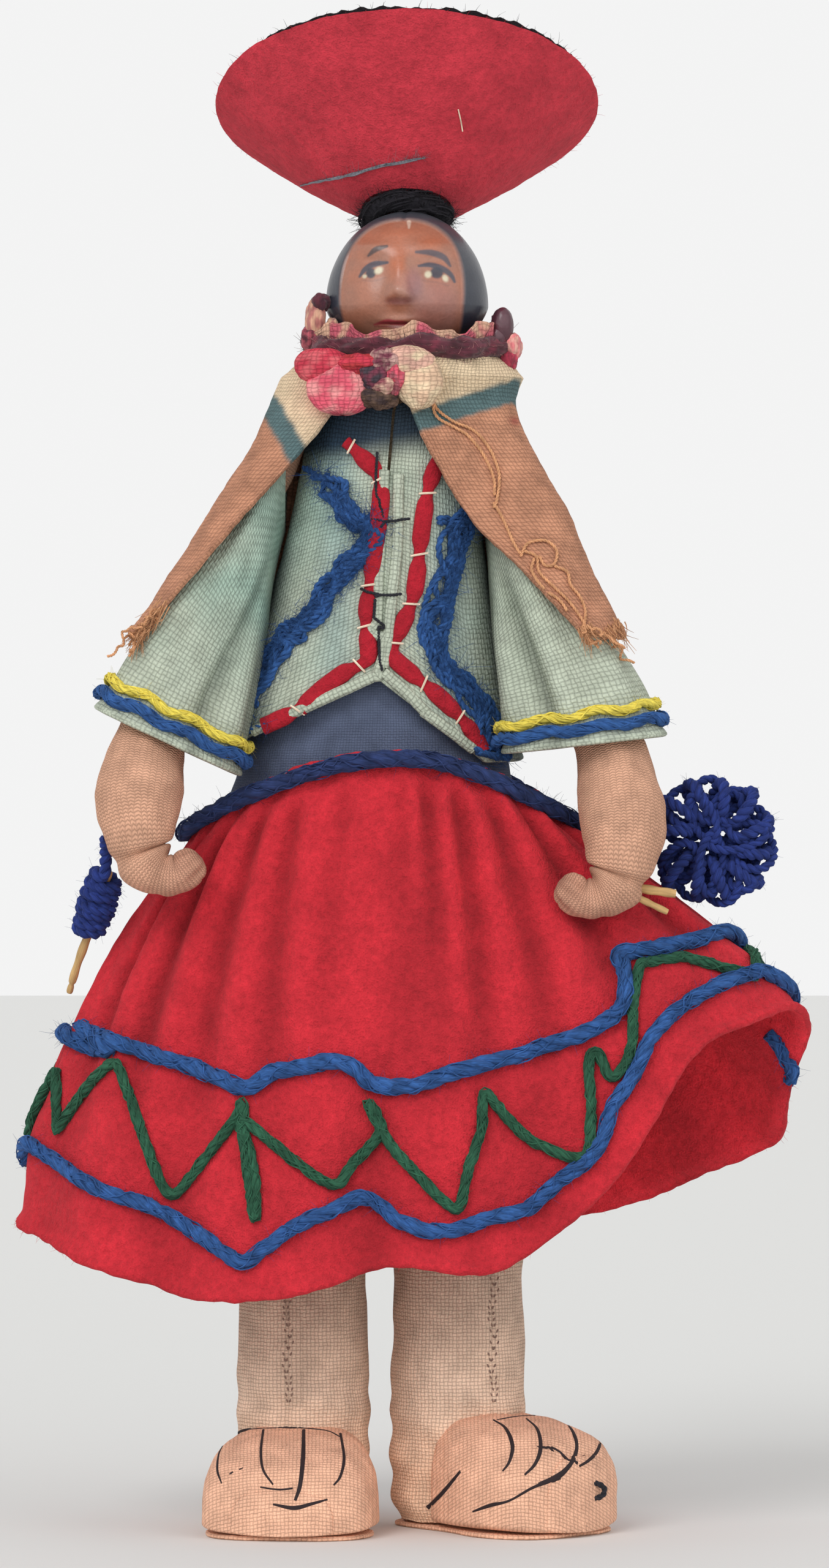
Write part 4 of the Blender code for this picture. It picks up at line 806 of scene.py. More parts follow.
@dataclass(frozen=True)
class Weave(Finish):
    """Plain-woven cloth: threads that pass over and under each other."""

    thread: float = 0.5
    depth: float = 0.16
    gap: float = 0.62

    def dress(self, sheet: NodeSheet) -> bpy.types.NodeSocket:
        """Wire the nodes and return the colour.

        Args:
            sheet: the material's nodes.

        Returns:
            The colour.
        """
        split = sheet.tree.nodes.new("ShaderNodeSeparateXYZ")
        sheet.put(split.inputs[0], sheet.cloth_place())
        wander = sheet.span(sheet.noise(3.0), 0, 1, -0.45, 0.45)
        waves = []
        for axis in (0, 1):
            place_along = sheet.math("DIVIDE", split.outputs[axis], self.thread)
            turned = sheet.math("MULTIPLY", sheet.math("ADD", place_along, wander), math.pi)
            waves.append(sheet.math("SINE", turned))
        over = sheet.span(sheet.math("MULTIPLY", *waves), -0.25, 0.25, 0, 1)
        high = [sheet.math("ABSOLUTE", wave) for wave in waves]
        first = sheet.math("MULTIPLY", sheet.math("POWER", high[0], 0.6), over)
        second = sheet.math("MULTIPLY", sheet.math("POWER", high[1], 0.6), sheet.math("SUBTRACT", 1.0, over))
        height = sheet.math("ADD", first, second)
        fuzz = sheet.noise(0.25, 3.0)
        sheet.relief(sheet.math("ADD", height, sheet.math("MULTIPLY", fuzz, 0.5)), self.depth)
        share = sheet.span(height, 0.1, 0.95, self.gap, 1.08)
        return sheet.tint(self.mottled(sheet, 3.0), share)


@dataclass(frozen=True)
class Knit(Finish):
    """Fine stocking knit: rows of small chevrons."""

    stitch: float = 0.62
    depth: float = 0.15

    def dress(self, sheet: NodeSheet) -> bpy.types.NodeSocket:
        """Wire the nodes and return the colour.

        Args:
            sheet: the material's nodes.

        Returns:
            The colour.
        """
        split = sheet.tree.nodes.new("ShaderNodeSeparateXYZ")
        sheet.put(split.inputs[0], sheet.cloth_place())
        wander = sheet.span(sheet.noise(2.0), 0, 1, -0.6, 0.6)
        column = sheet.math("ADD", sheet.math("DIVIDE", split.outputs[0], self.stitch), wander)
        half = sheet.math("ABSOLUTE", sheet.math("SUBTRACT", sheet.math("FRACT", column), 0.5))
        row = sheet.math("ADD", sheet.math("DIVIDE", split.outputs[1], self.stitch * 0.8), half)
        stitch = sheet.math("ABSOLUTE", sheet.math("SINE", sheet.math("MULTIPLY", row, math.pi)))
        valley = sheet.span(half, 0.0, 0.1, 0.4, 1.0)
        height = sheet.math("MULTIPLY", stitch, valley)
        sheet.relief(sheet.math("ADD", height, sheet.math("MULTIPLY", sheet.noise(0.25), 0.5)), self.depth)
        share = sheet.span(height, 0.05, 0.9, 0.74, 1.06)
        return sheet.tint(self.mottled(sheet, 3.5), share)


@dataclass(frozen=True)
class Strand(Finish):
    """Spun wool: fibres that run along the strand."""

    sheen: float = 0.2
    mottle: float = 0.2
    fibre: float = 0.28

    def dress(self, sheet: NodeSheet) -> bpy.types.NodeSocket:
        """Wire the nodes and return the colour.

        Args:
            sheet: the material's nodes.

        Returns:
            The colour.
        """
        streak = sheet.noise(self.fibre, 3.0, (1.0, 0.16, 1.0))
        sheet.relief(streak, 0.16)
        share = sheet.span(streak, 0.3, 0.72, 0.6, 1.35)
        return sheet.tint(self.mottled(sheet, 2.6), share)


@dataclass(frozen=True)
class Varnish(Finish):
    """Brushed paint under an old varnish."""

    roughness: float = 0.42
    coat: float = 0.35
    coat_roughness: float = 0.22
    gloss: float = 0.5

    def dress(self, sheet: NodeSheet) -> bpy.types.NodeSocket:
        """Wire the nodes and return the colour.

        Args:
            sheet: the material's nodes.

        Returns:
            The colour.
        """
        sheet.shader.inputs["Coat Weight"].default_value = self.coat
        sheet.shader.inputs["Coat Roughness"].default_value = self.coat_roughness
        sheet.shader.inputs["Specular IOR Level"].default_value = self.gloss
        grain = sheet.noise(0.5, 4.0)
        sheet.relief(sheet.math("ADD", grain, sheet.noise(2.5, 2.0)), 0.05)
        share = sheet.span(grain, 0.3, 0.7, 0.92, 1.07)
        return sheet.tint(self.mottled(sheet, 2.2), share)


@dataclass(frozen=True)
class Grain(Finish):
    """Wood with its grain along the piece, or drawn metal."""

    roughness: float = 0.6
    metal: float = 0.0

    def dress(self, sheet: NodeSheet) -> bpy.types.NodeSocket:
        """Wire the nodes and return the colour.

        Args:
            sheet: the material's nodes.

        Returns:
            The colour.
        """
        sheet.shader.inputs["Metallic"].default_value = self.metal
        streak = sheet.noise(0.5, 4.0) if not self.painted else sheet.noise(0.3, 4.0, (1.0, 0.08, 1.0))
        sheet.relief(streak, 0.06)
        return sheet.tint(self.mottled(sheet, 3.0), sheet.span(streak, 0.3, 0.7, 0.75, 1.2))


HAT_FELT = Felt("hat_felt", linear(202, 56, 70))
SKIRT_FELT = Felt("skirt_felt", linear(206, 44, 56))
TRIM_FELT = Felt("trim_felt", linear(178, 30, 46))
LINING_FELT = Felt("black_felt", linear(38, 38, 42))
BLACK_WOOL = Strand("black_wool", linear(36, 34, 40))
MUSLIN = Weave("leg_muslin", linear(232, 202, 178), thread=0.62, depth=0.22, gap=0.64)
FOOT_MUSLIN = Weave("foot_muslin", linear(240, 188, 158), thread=0.62, depth=0.2, gap=0.7)
KNIT = Knit("arm_knit", linear(216, 166, 138))
SAGE = Weave("sage_cloth", linear(184, 192, 174), thread=0.8, depth=0.24, gap=0.66)
BODICE = Weave("bodice_cloth", linear(92, 102, 126), thread=0.45, depth=0.12, gap=0.72)
SHIRT = Weave("undershirt_cloth", linear(205, 180, 150), thread=0.5)
SHAWL = Weave("shawl_cloth", linear(255, 255, 255), thread=0.75, depth=0.24, gap=0.72, mottle=0.14)
COLLAR = Strand("maroon_cloth", linear(255, 255, 255), fibre=0.5)
BLUE = Strand("blue_yarn", linear(48, 86, 142), mottle=0.3)
NAVY = Strand("navy_yarn", linear(38, 54, 118), mottle=0.3)
YELLOW = Strand("yellow_yarn", linear(232, 212, 90), mottle=0.1)
TIE_WOOL = Strand("waist_wool", linear(42, 56, 98), mottle=0.3)
GREEN = Strand("green_yarn", linear(44, 88, 66), mottle=0.3)
THREAD = Strand("pale_thread", linear(236, 214, 190), mottle=0.08)
TAN_THREAD = Strand("tan_thread", linear(214, 158, 116), mottle=0.1)
GREY_THREAD = Strand("grey_thread", linear(120, 122, 130))
DARK_THREAD = Strand("dark_thread", linear(44, 44, 50))
HOLES = Finish("seam_holes", linear(138, 114, 102), painted=False)
PAINT = Varnish("head_paint", linear(255, 255, 255), mottle=0.06)
INK = Finish("foot_ink", linear(48, 38, 40), roughness=0.8)
WOOD = Grain("stick_wood", linear(196, 160, 108))
PEG_WOOD = Grain("peg_wood", linear(190, 155, 110), painted=False)
WIRE = Grain("arm_wire", linear(150, 145, 138), roughness=0.4, metal=1.0, painted=False)


@dataclass
class PhotoView:
    """The camera, and the way from a picture's pixel to a surface of the doll."""

    pixel: float = 0.1018
    zero_x: float = 640.0
    floor_y: float = 2490.0
    wide: int = 1354
    tall: int = 2560
    distance: float = 1200.0
    sensor: float = 24.0

    def at(self, px: float, py: float) -> np.ndarray:
        """The place of a pixel on the upright plane through the doll's middle, in mm."""
        return np.array([(px - self.zero_x) * self.pixel, 0.0, (self.floor_y - py) * self.pixel])

    @property
    def eye(self) -> np.ndarray:
        """The camera's place in mm."""
        return self.at(self.wide / 2, self.tall / 2) - np.array([0, self.distance, 0])

    def hit(self, tree: BVHTree, px: float, py: float, lift: float = 0.0) -> np.ndarray:
        """The place on a surface that a pixel shows.

        Args:
            tree: the surface.
            px, py: the pixel.
            lift: how far off the surface, in mm.

        Returns:
            The lifted place, or the nearest place where the pixel misses.
        """
        eye, aim = self.eye, self.at(px, py)
        way = Vector(aim - eye).normalized()
        place, normal, _, _ = tree.ray_cast(Vector(eye), way)
        if place is None:
            near = Vector(aim - np.array([0, 25.0, 0]))
            place, normal, _, _ = tree.find_nearest(near)
        if normal.dot(way) > 0:
            normal = -normal
        return np.array(place) + np.array(normal) * lift

    def lay(
        self, tree: BVHTree, pixels: list, lift: float, steps: int = 8, closed: bool = False
    ) -> np.ndarray:
        """A smooth route over a surface through pixels."""
        flat = [(px, py, 0) for px, py in pixels]
        return np.array([self.hit(tree, px, py, lift) for px, py, _ in on_curve(flat, steps, closed)])

    def set_up(self) -> None:
        """Place the camera as the photograph was taken."""
        camera = bpy.data.cameras.new("photo_camera")
        thing = bpy.data.objects.new("photo_camera", camera)
        bpy.context.scene.collection.objects.link(thing)
        thing.location = DollFrame.world(*self.eye)
        thing.rotation_euler = (math.pi / 2, 0, 0)
        camera.sensor_fit = "VERTICAL"
        camera.sensor_height = self.sensor
        camera.lens = self.sensor * self.distance / (self.tall * self.pixel)
        camera.clip_start = 0.05
        camera.dof.use_dof = False
        bpy.context.scene.camera = thing


def tree_of(*grids: tuple[np.ndarray, bool]) -> BVHTree:
    """Make a searchable surface of grids.

    Args:
        grids: each a grid of places and whether it is closed round.

    Returns:
        The tree, in the doll's frame.
    """
    points, faces = [], []
    for grid, round_ in grids:
        rows, columns = grid.shape[:2]
        first = len(points)
        points.extend(grid.reshape(-1, 3).tolist())
        for row in range(rows - 1):
            for column in range(columns if round_ else columns - 1):
                after = (column + 1) % columns
                low, high = first + row * columns, first + (row + 1) * columns
                faces.append((low + column, low + after, high + after, high + column))
    return BVHTree.FromPolygons(points, faces)


@dataclass
class TorsoForm:
    """The stuffed torso's shape, and the jacket's over it."""

    hip_z: float = 101.5
    height: float = 92.0
    half_width: float = 26.0
    half_depth: float = 13.0
    lean: float = 3.0
    jacket_top: float = 188.0
    jacket_hem: float = 127.0
    ease_top: float = 2.5
    ease_hem: float = 3.7
    shares: tuple = (
        (0.00, 0.84, 0.81, -0.73),
        (0.03, 0.92, 0.95, -0.83),
        (0.11, 0.95, 1.00, -1.00),
        (0.20, 0.89, 0.97, -1.00),
        (0.29, 0.80, 0.92, -1.00),
        (0.42, 0.69, 0.86, -0.87),
        (0.55, 0.60, 0.81, -0.67),
        (0.69, 0.51, 0.77, -0.40),
        (0.81, 0.46, 0.70, -0.13),
        (0.90, 0.45, 0.62, 0.10),
        (0.95, 0.40, 0.54, 0.40),
        (0.98, 0.32, 0.45, 0.70),
        (1.00, 0.23, 0.36, 0.80),
    )

    def size(self, z: np.ndarray) -> tuple[np.ndarray, np.ndarray, np.ndarray]:
        """Half width, half depth and middle at a height.

        Args:
            z: heights in mm.

        Returns:
            The three measures at each height.
        """
        table = np.array(self.shares)
        share = (np.asarray(z, float) - self.hip_z) / self.height
        width, depth, lean = (np.interp(share, table[:, 0], table[:, k]) for k in (1, 2, 3))
        return width * self.half_width, depth * self.half_depth, lean * self.lean

    def jacket_lift(self, z: np.ndarray) -> np.ndarray:
        """How far the jacket's outer face stands off the torso."""
        share = np.clip((self.jacket_top - np.asarray(z, float)) / (self.jacket_top - self.jacket_hem), 0, 1)
        return self.ease_top + (self.ease_hem - self.ease_top) * share

    def jacket_side(self, side: int, z: np.ndarray, forward: np.ndarray) -> np.ndarray:
        """How far the jacket reaches to one side, a distance forward of its middle.

        Args:
            side: -1 for the doll's right, 1 for its left.
            z: heights in mm.
            forward: the distance forward of the middle, in mm.

        Returns:
            The reach, in mm.
        """
        width, depth, middle = self.size(z)
        lift = self.jacket_lift(z)
        ahead = np.minimum(np.abs(forward) / (depth + lift), 1)
        return side * middle + (width + lift) * np.sqrt(1 - ahead**2)

    def skin(self, angle: np.ndarray, z: np.ndarray, lift: np.ndarray) -> np.ndarray:
        """Places on the torso, raised by lift; the angle runs from the front towards +X.

        Args:
            angle: the way round.
            z: heights in mm.
            lift: how far off the torso, in mm.

        Returns:
            The places, in mm.
        """
        width, depth, middle = self.size(z)
        return np.stack(
            [middle + np.sin(angle) * (width + lift), -np.cos(angle) * (depth + lift), z + 0 * angle], axis=-1
        )


def round_angles(count: int) -> np.ndarray:
    """Angles evenly round a turn."""
    return np.arange(count) / count * TURN


@dataclass
class Torso:
    """The stuffed muslin body under the clothes, the bodice on it and the shirt at its neck."""

    form: TorsoForm = field(default_factory=TorsoForm)
    columns: int = 120
    rows: int = 90
    bodice_shares: tuple[float, float] = (0.03, 0.69)
    bodice_cloth: float = 0.7
    bodice_lift: float = 1.1

    def build_body(self) -> None:
        """The stuffed torso, smooth and a little lumpy."""
        z = self.form.hip_z + self.form.height * (1 - np.cos(np.linspace(0, math.pi, self.rows))) / 2
        angle, height = np.meshgrid(round_angles(self.columns), z)
        grid = self.form.skin(angle, height, -0.1)
        grid = raised(grid, ripple(grid, 6.0) * 0.15, True)
        pile = MeshPile()
        pile.grid(capped(grid), True)
        body = settle(pile.build("torso_stuffed", SHIRT.make()), "body", "muslin", "torso")

    def build_bodice(self) -> None:
        """The grey-blue band, with small creases above the waist."""
        low, high = (self.form.hip_z + self.form.height * share for share in self.bodice_shares)
        angle, height = np.meshgrid(round_angles(200), np.linspace(low, high, 90))
        crease = 0.16 * np.sin(height * 1.1 + 1.5 * np.sin(angle * 2.0)) * bump(height, 128, 10)
        grid = self.form.skin(angle, height, self.bodice_lift + crease)
        paint = blank(grid)
        paint[..., :3] *= (0.92 + 0.12 * ripple(grid, 5.0, 3.0))[..., None]
        pile = MeshPile()
        pile.shell(grid, self.bodice_cloth, True, paint)
        band = settle(pile.build("bodice_band", BODICE.make()), "body", "bodice_cloth", "bodice")


@dataclass
class Hat:
    """The felt dish, its dark lining and the wool that holds it on the head."""

    head_middle: tuple = (2.5, -0.5, 205.8)
    head_reach: float = 12.0
    tilt: float = math.radians(23.6)
    rim: float = 31.8
    base: float = 8.0
    height: float = 19.4
    felt: float = 1.5
    bulge: float = 0.8
    lining: float = 1.0
    stand: float = 1.0
    pad_ring: float = 6.0
    pad_tube: float = 1.5
    pad_seat: float = 0.7
    gap: float = 0.3
    columns: int = 300

    @property
    def axis(self) -> np.ndarray:
        """The direction that the dish opens in."""
        return np.array([0, math.sin(self.tilt), math.cos(self.tilt)])

    @property
    def pad_height(self) -> float:
        """How far the pad ring stands above the head's middle."""
        return math.sqrt((self.head_reach + self.pad_seat + self.pad_tube) ** 2 - self.pad_ring**2)

    @property
    def seat(self) -> np.ndarray:
        """The middle of the dish's underside."""
        return np.array(self.head_middle) + self.axis * (self.pad_height + self.pad_tube + self.gap)

    def turn(self, radius: np.ndarray, rise: np.ndarray, angle: np.ndarray, foot: np.ndarray) -> np.ndarray:
        """Places round the hat's own axis, from a foot on it.

        Args:
            radius: distances from the axis.
            rise: heights along it.
            angle: the way round it.
            foot: where the heights start.

        Returns:
            The places, in mm.
        """
        ahead = np.cross(self.axis, [1.0, 0, 0])
        across = np.array([1.0, 0, 0])
        return (
            foot
            + self.axis * rise[..., None]
            + across * (radius * np.sin(angle))[..., None]
            - ahead * (radius * np.cos(angle))[..., None]
        )

    def profile(self, points: list, count: int) -> np.ndarray:
        """Evenly spaced (radius, rise) points through a profile."""
        line = on_curve([(radius, 0, rise) for radius, rise in points], 12)
        return evenly(line, np.linalg.norm(np.diff(line, axis=0), axis=1).sum() / count)[:, (0, 2)]

    def dish(self, profile: np.ndarray, wobble: float, seed: float, ragged: float = 0.0) -> np.ndarray:
        """Turn a profile into an uneven felt form.

        Args:
            profile: (radius, rise) points.
            wobble: how uneven it is, in mm.
            seed: shifts the unevenness.
            ragged: how far its highest part is torn up and down.

        Returns:
            The grid.
        """
        angle, radius = np.meshgrid(round_angles(self.columns), profile[:, 0])
        rise = np.broadcast_to(profile[:, 1][:, None], angle.shape).copy()
        ring = np.stack([np.cos(angle), np.sin(angle), 0 * angle], axis=-1)
        high = smooth(0.75, 1.0, rise / rise.max())
        rise += high * ragged * ripple(ring * self.rim, 1.4, seed)
        rise += smooth(0.3, 1.0, rise / self.height) * 0.5 * ripple(ring * 3, 1.3, seed)
        grid = self.turn(radius, rise, angle, self.seat)
        lumps = ripple(grid, 3.2, seed) * 0.6 + ripple(grid, 1.1, seed + 9) * 0.35
        return raised(grid, lumps * wobble, True)

    def build_felt(self, view: PhotoView) -> None:
        """The red dish with the threads snagged on it.

        Args:
            view: turns the photograph's pixels into places.
        """
        slope = math.atan2(self.rim - self.base, self.height)
        wall = self.felt / math.cos(slope)
        middle = (self.rim + self.base) / 2 + self.bulge
        half = self.height / 2
        outer = [(0.05, 0), (self.base - 1, 0.05), (self.base + 0.6, 0.5), (middle, half)]
        outer += [(self.rim - 0.5, self.height - 0.5), (self.rim - 0.1, self.height + 0.2)]
        inner = [(self.rim - wall * 0.55, self.height + 0.4), (self.rim - wall, self.height - 0.4)]
        inner += [(middle - wall, half), (self.base - 0.6, self.felt + 0.2), (0.05, self.felt)]
        grid = self.dish(self.profile(outer + inner, 110), 0.22, 2.0)[::-1]
        paint = blank(grid)
        near_head = np.linalg.norm(grid - self.seat, axis=2)
        # Uneven tone, plus painted shade: the felt is painted darker near the head, round the wool pad, where
        # shade falls under the dish.
        irregular = 1 + 0.1 * ripple(grid, 9.0, 4.0) - 0.5 * bump(near_head, 5, 5)
        paint[..., :3] *= irregular[..., None]
        pile = MeshPile()
        pile.grid(grid, True, flip=True, paint=paint)
        surface = tree_of((grid, True))
        roots = grid[20:60:2, ::5].reshape(-1, 3)
        away = roots - (self.seat + self.axis * half)
        pile.hairs(roots, away, (0.3, 0.9), 0.035, 4, 0.9)
        settle(pile.build("hat_dish", HAT_FELT.make()), "head", "hat_felt", "hat_felt")
        snag = MeshPile()
        across_front = [(492, 302), (530, 293), (575, 284), (620, 272), (665, 262), (694, 258)]
        smear = view.lay(surface, across_front, 0.25)
        for k in range(5):
            drift = np.stack([0 * smear[:, 0], 0 * smear[:, 0], 0.45 * ripple(smear, 4.0, 5.0 * k)], axis=1)
            snag.tube((smear + drift)[k * 3 : len(smear) - (4 - k) * 2], 0.13, 5)
        picks = np.repeat(smear, 3, axis=0)
        snag.hairs(picks, np.tile([0.2, -1, 0.5], (len(picks), 1)), (0.4, 1.6), FINE_HAIR, 8, 1.2)
        settle(snag.build("hat_snag_grey", GREY_THREAD.make()), "head", "black_wool")
        pick = MeshPile()
        pick.tube(view.lay(surface, [(748, 178), (752, 196), (755, 214)], 0.15), 0.12, 5)
        settle(pick.build("hat_snag_pale", THREAD.make()), "head", "yellow_yarn")

    def build_lining(self) -> None:
        """The dark lining, ragged where it stands out of the rim."""
        slope = math.atan2(self.rim - self.base, self.height)
        inset = self.felt / math.cos(slope) + self.gap / math.cos(slope)
        wall = self.lining / math.cos(slope)
        middle = (self.rim + self.base) / 2 + self.bulge - inset
        rise = self.stand * math.sin(slope)
        top = self.height + self.stand * math.cos(slope) + 0.6
        rim = self.rim - inset + rise + 0.5
        foot = self.felt + self.gap
        outer = [(0.05, foot), (self.base - 2, foot), (middle, self.height / 2)]
        outer += [(rim - 0.3, top - 0.4), (rim, top)]
        inner = [(rim - wall * 0.6, top + 0.1), (rim - wall, top - 0.5), (middle - wall, self.height / 2)]
        inner += [(self.base - 2, foot + self.lining), (0.05, foot + self.lining)]
        grid = self.dish(self.profile(outer + inner, 90), 0.2, 7.0, 0.55)[::-1]
        pile = MeshPile()
        pile.grid(grid, True, flip=True)
        row = int(np.argmax((grid @ self.axis).mean(axis=1)))
        roots = grid[row - 1 : row + 2].reshape(-1, 3)
        away = (roots - self.seat) * 0.4 + self.axis * 6
        pile.hairs(roots[::3], away[::3], (0.3, 1.0), 0.05, 5, 1.3)
        settle(pile.build("hat_lining_felt", LINING_FELT.make()), "head", "black_wool", "hat_lining")

    def build_pad(self) -> None:
        """The ring of black wool between dish and head, with its fibres."""
        foot = np.array(self.head_middle) + self.axis * self.pad_height
        angle, around = np.meshgrid(round_angles(140), round_angles(22))
        tube = self.pad_tube * (1 + 0.12 * ripple(np.stack([np.cos(angle), np.sin(angle), around], -1), 0.35))
        grid = self.turn(self.pad_ring + tube * np.cos(around), tube * np.sin(around), angle, foot)
        grid = np.concatenate([grid, grid[:1]])
        pile = MeshPile()
        pile.grid(grid, True)
        rng = np.random.default_rng(3)
        strands = 150
        for k in range(strands):
            start = rng.uniform(0, TURN)
            sweep = rng.uniform(0.4, 1.1)
            turn = start + np.linspace(0, sweep, 9)
            lift = rng.uniform(0.0, 0.55) + 0.2 * np.sin(turn * 5 + k)
            roll = rng.uniform(0, TURN) + turn * 0.8
            out = self.pad_ring + (self.pad_tube + lift) * np.cos(roll)
            up = (self.pad_tube + lift) * np.sin(roll)
            route = self.turn(out, np.clip(up, -self.pad_tube - 0.5, self.pad_tube + 0.25), turn, foot)
            pile.tube(route, 0.14, 5)
        roots = np.repeat(grid[::2, ::3].reshape(-1, 3), 5, axis=0)
        ways = roots - foot + rng.normal(0, 4.5, roots.shape) + self.axis * 2
        pile.hairs(roots, ways, (0.4, 1.5), 0.06, 6, 1.3)
        pad = settle(pile.build("hat_wool_pad", BLACK_WOOL.make()), "head", "black_wool", "hat_pad")


@dataclass
class Brush:
    """Paints strokes and patches, given in the photograph's pixels, on a grid's points."""

    across: np.ndarray
    up: np.ndarray
    paint: np.ndarray

    def lay(self, share: np.ndarray, colour: Colour) -> None:
        """Cover the points by a share with a colour."""
        share = np.clip(share, 0, 1)[..., None]
        self.paint[..., :3] = self.paint[..., :3] * (1 - share) + np.array(colour) * share

    def oval(
        self, px: float, py: float, wide: float, tall: float, soft: float, tilt: float = 0
    ) -> np.ndarray:
        """The share of an oval patch.

        Args:
            px, py: its middle.
            wide, tall: its half sizes.
            soft: how soft its edge is, as a share of its size.
            tilt: how far it is turned, in degrees.

        Returns:
            The share at each point.
        """
        turn = math.radians(tilt)
        x, y = self.across - px, self.up - py
        along = (x * math.cos(turn) + y * math.sin(turn)) / wide
        aside = (y * math.cos(turn) - x * math.sin(turn)) / tall
        return 1 - smooth(1 - soft, 1 + soft, np.sqrt(along**2 + aside**2))

    def stroke(self, pixels: list, widths: list, soft: float = 1.5) -> np.ndarray:
        """The share of a stroke through pixels.

        Args:
            pixels: its points.
            widths: its half width at each of them.
            soft: how soft its edge is, in pixels.

        Returns:
            The share at each point.
        """
        route = on_curve([(x, y, w) for (x, y), w in zip(pixels, widths)], 10)
        best = np.full(self.across.shape, -1e9)
        for x, y, width in route:
            best = np.maximum(best, width - np.hypot(self.across - x, self.up - y))
        return smooth(-soft, soft, best)


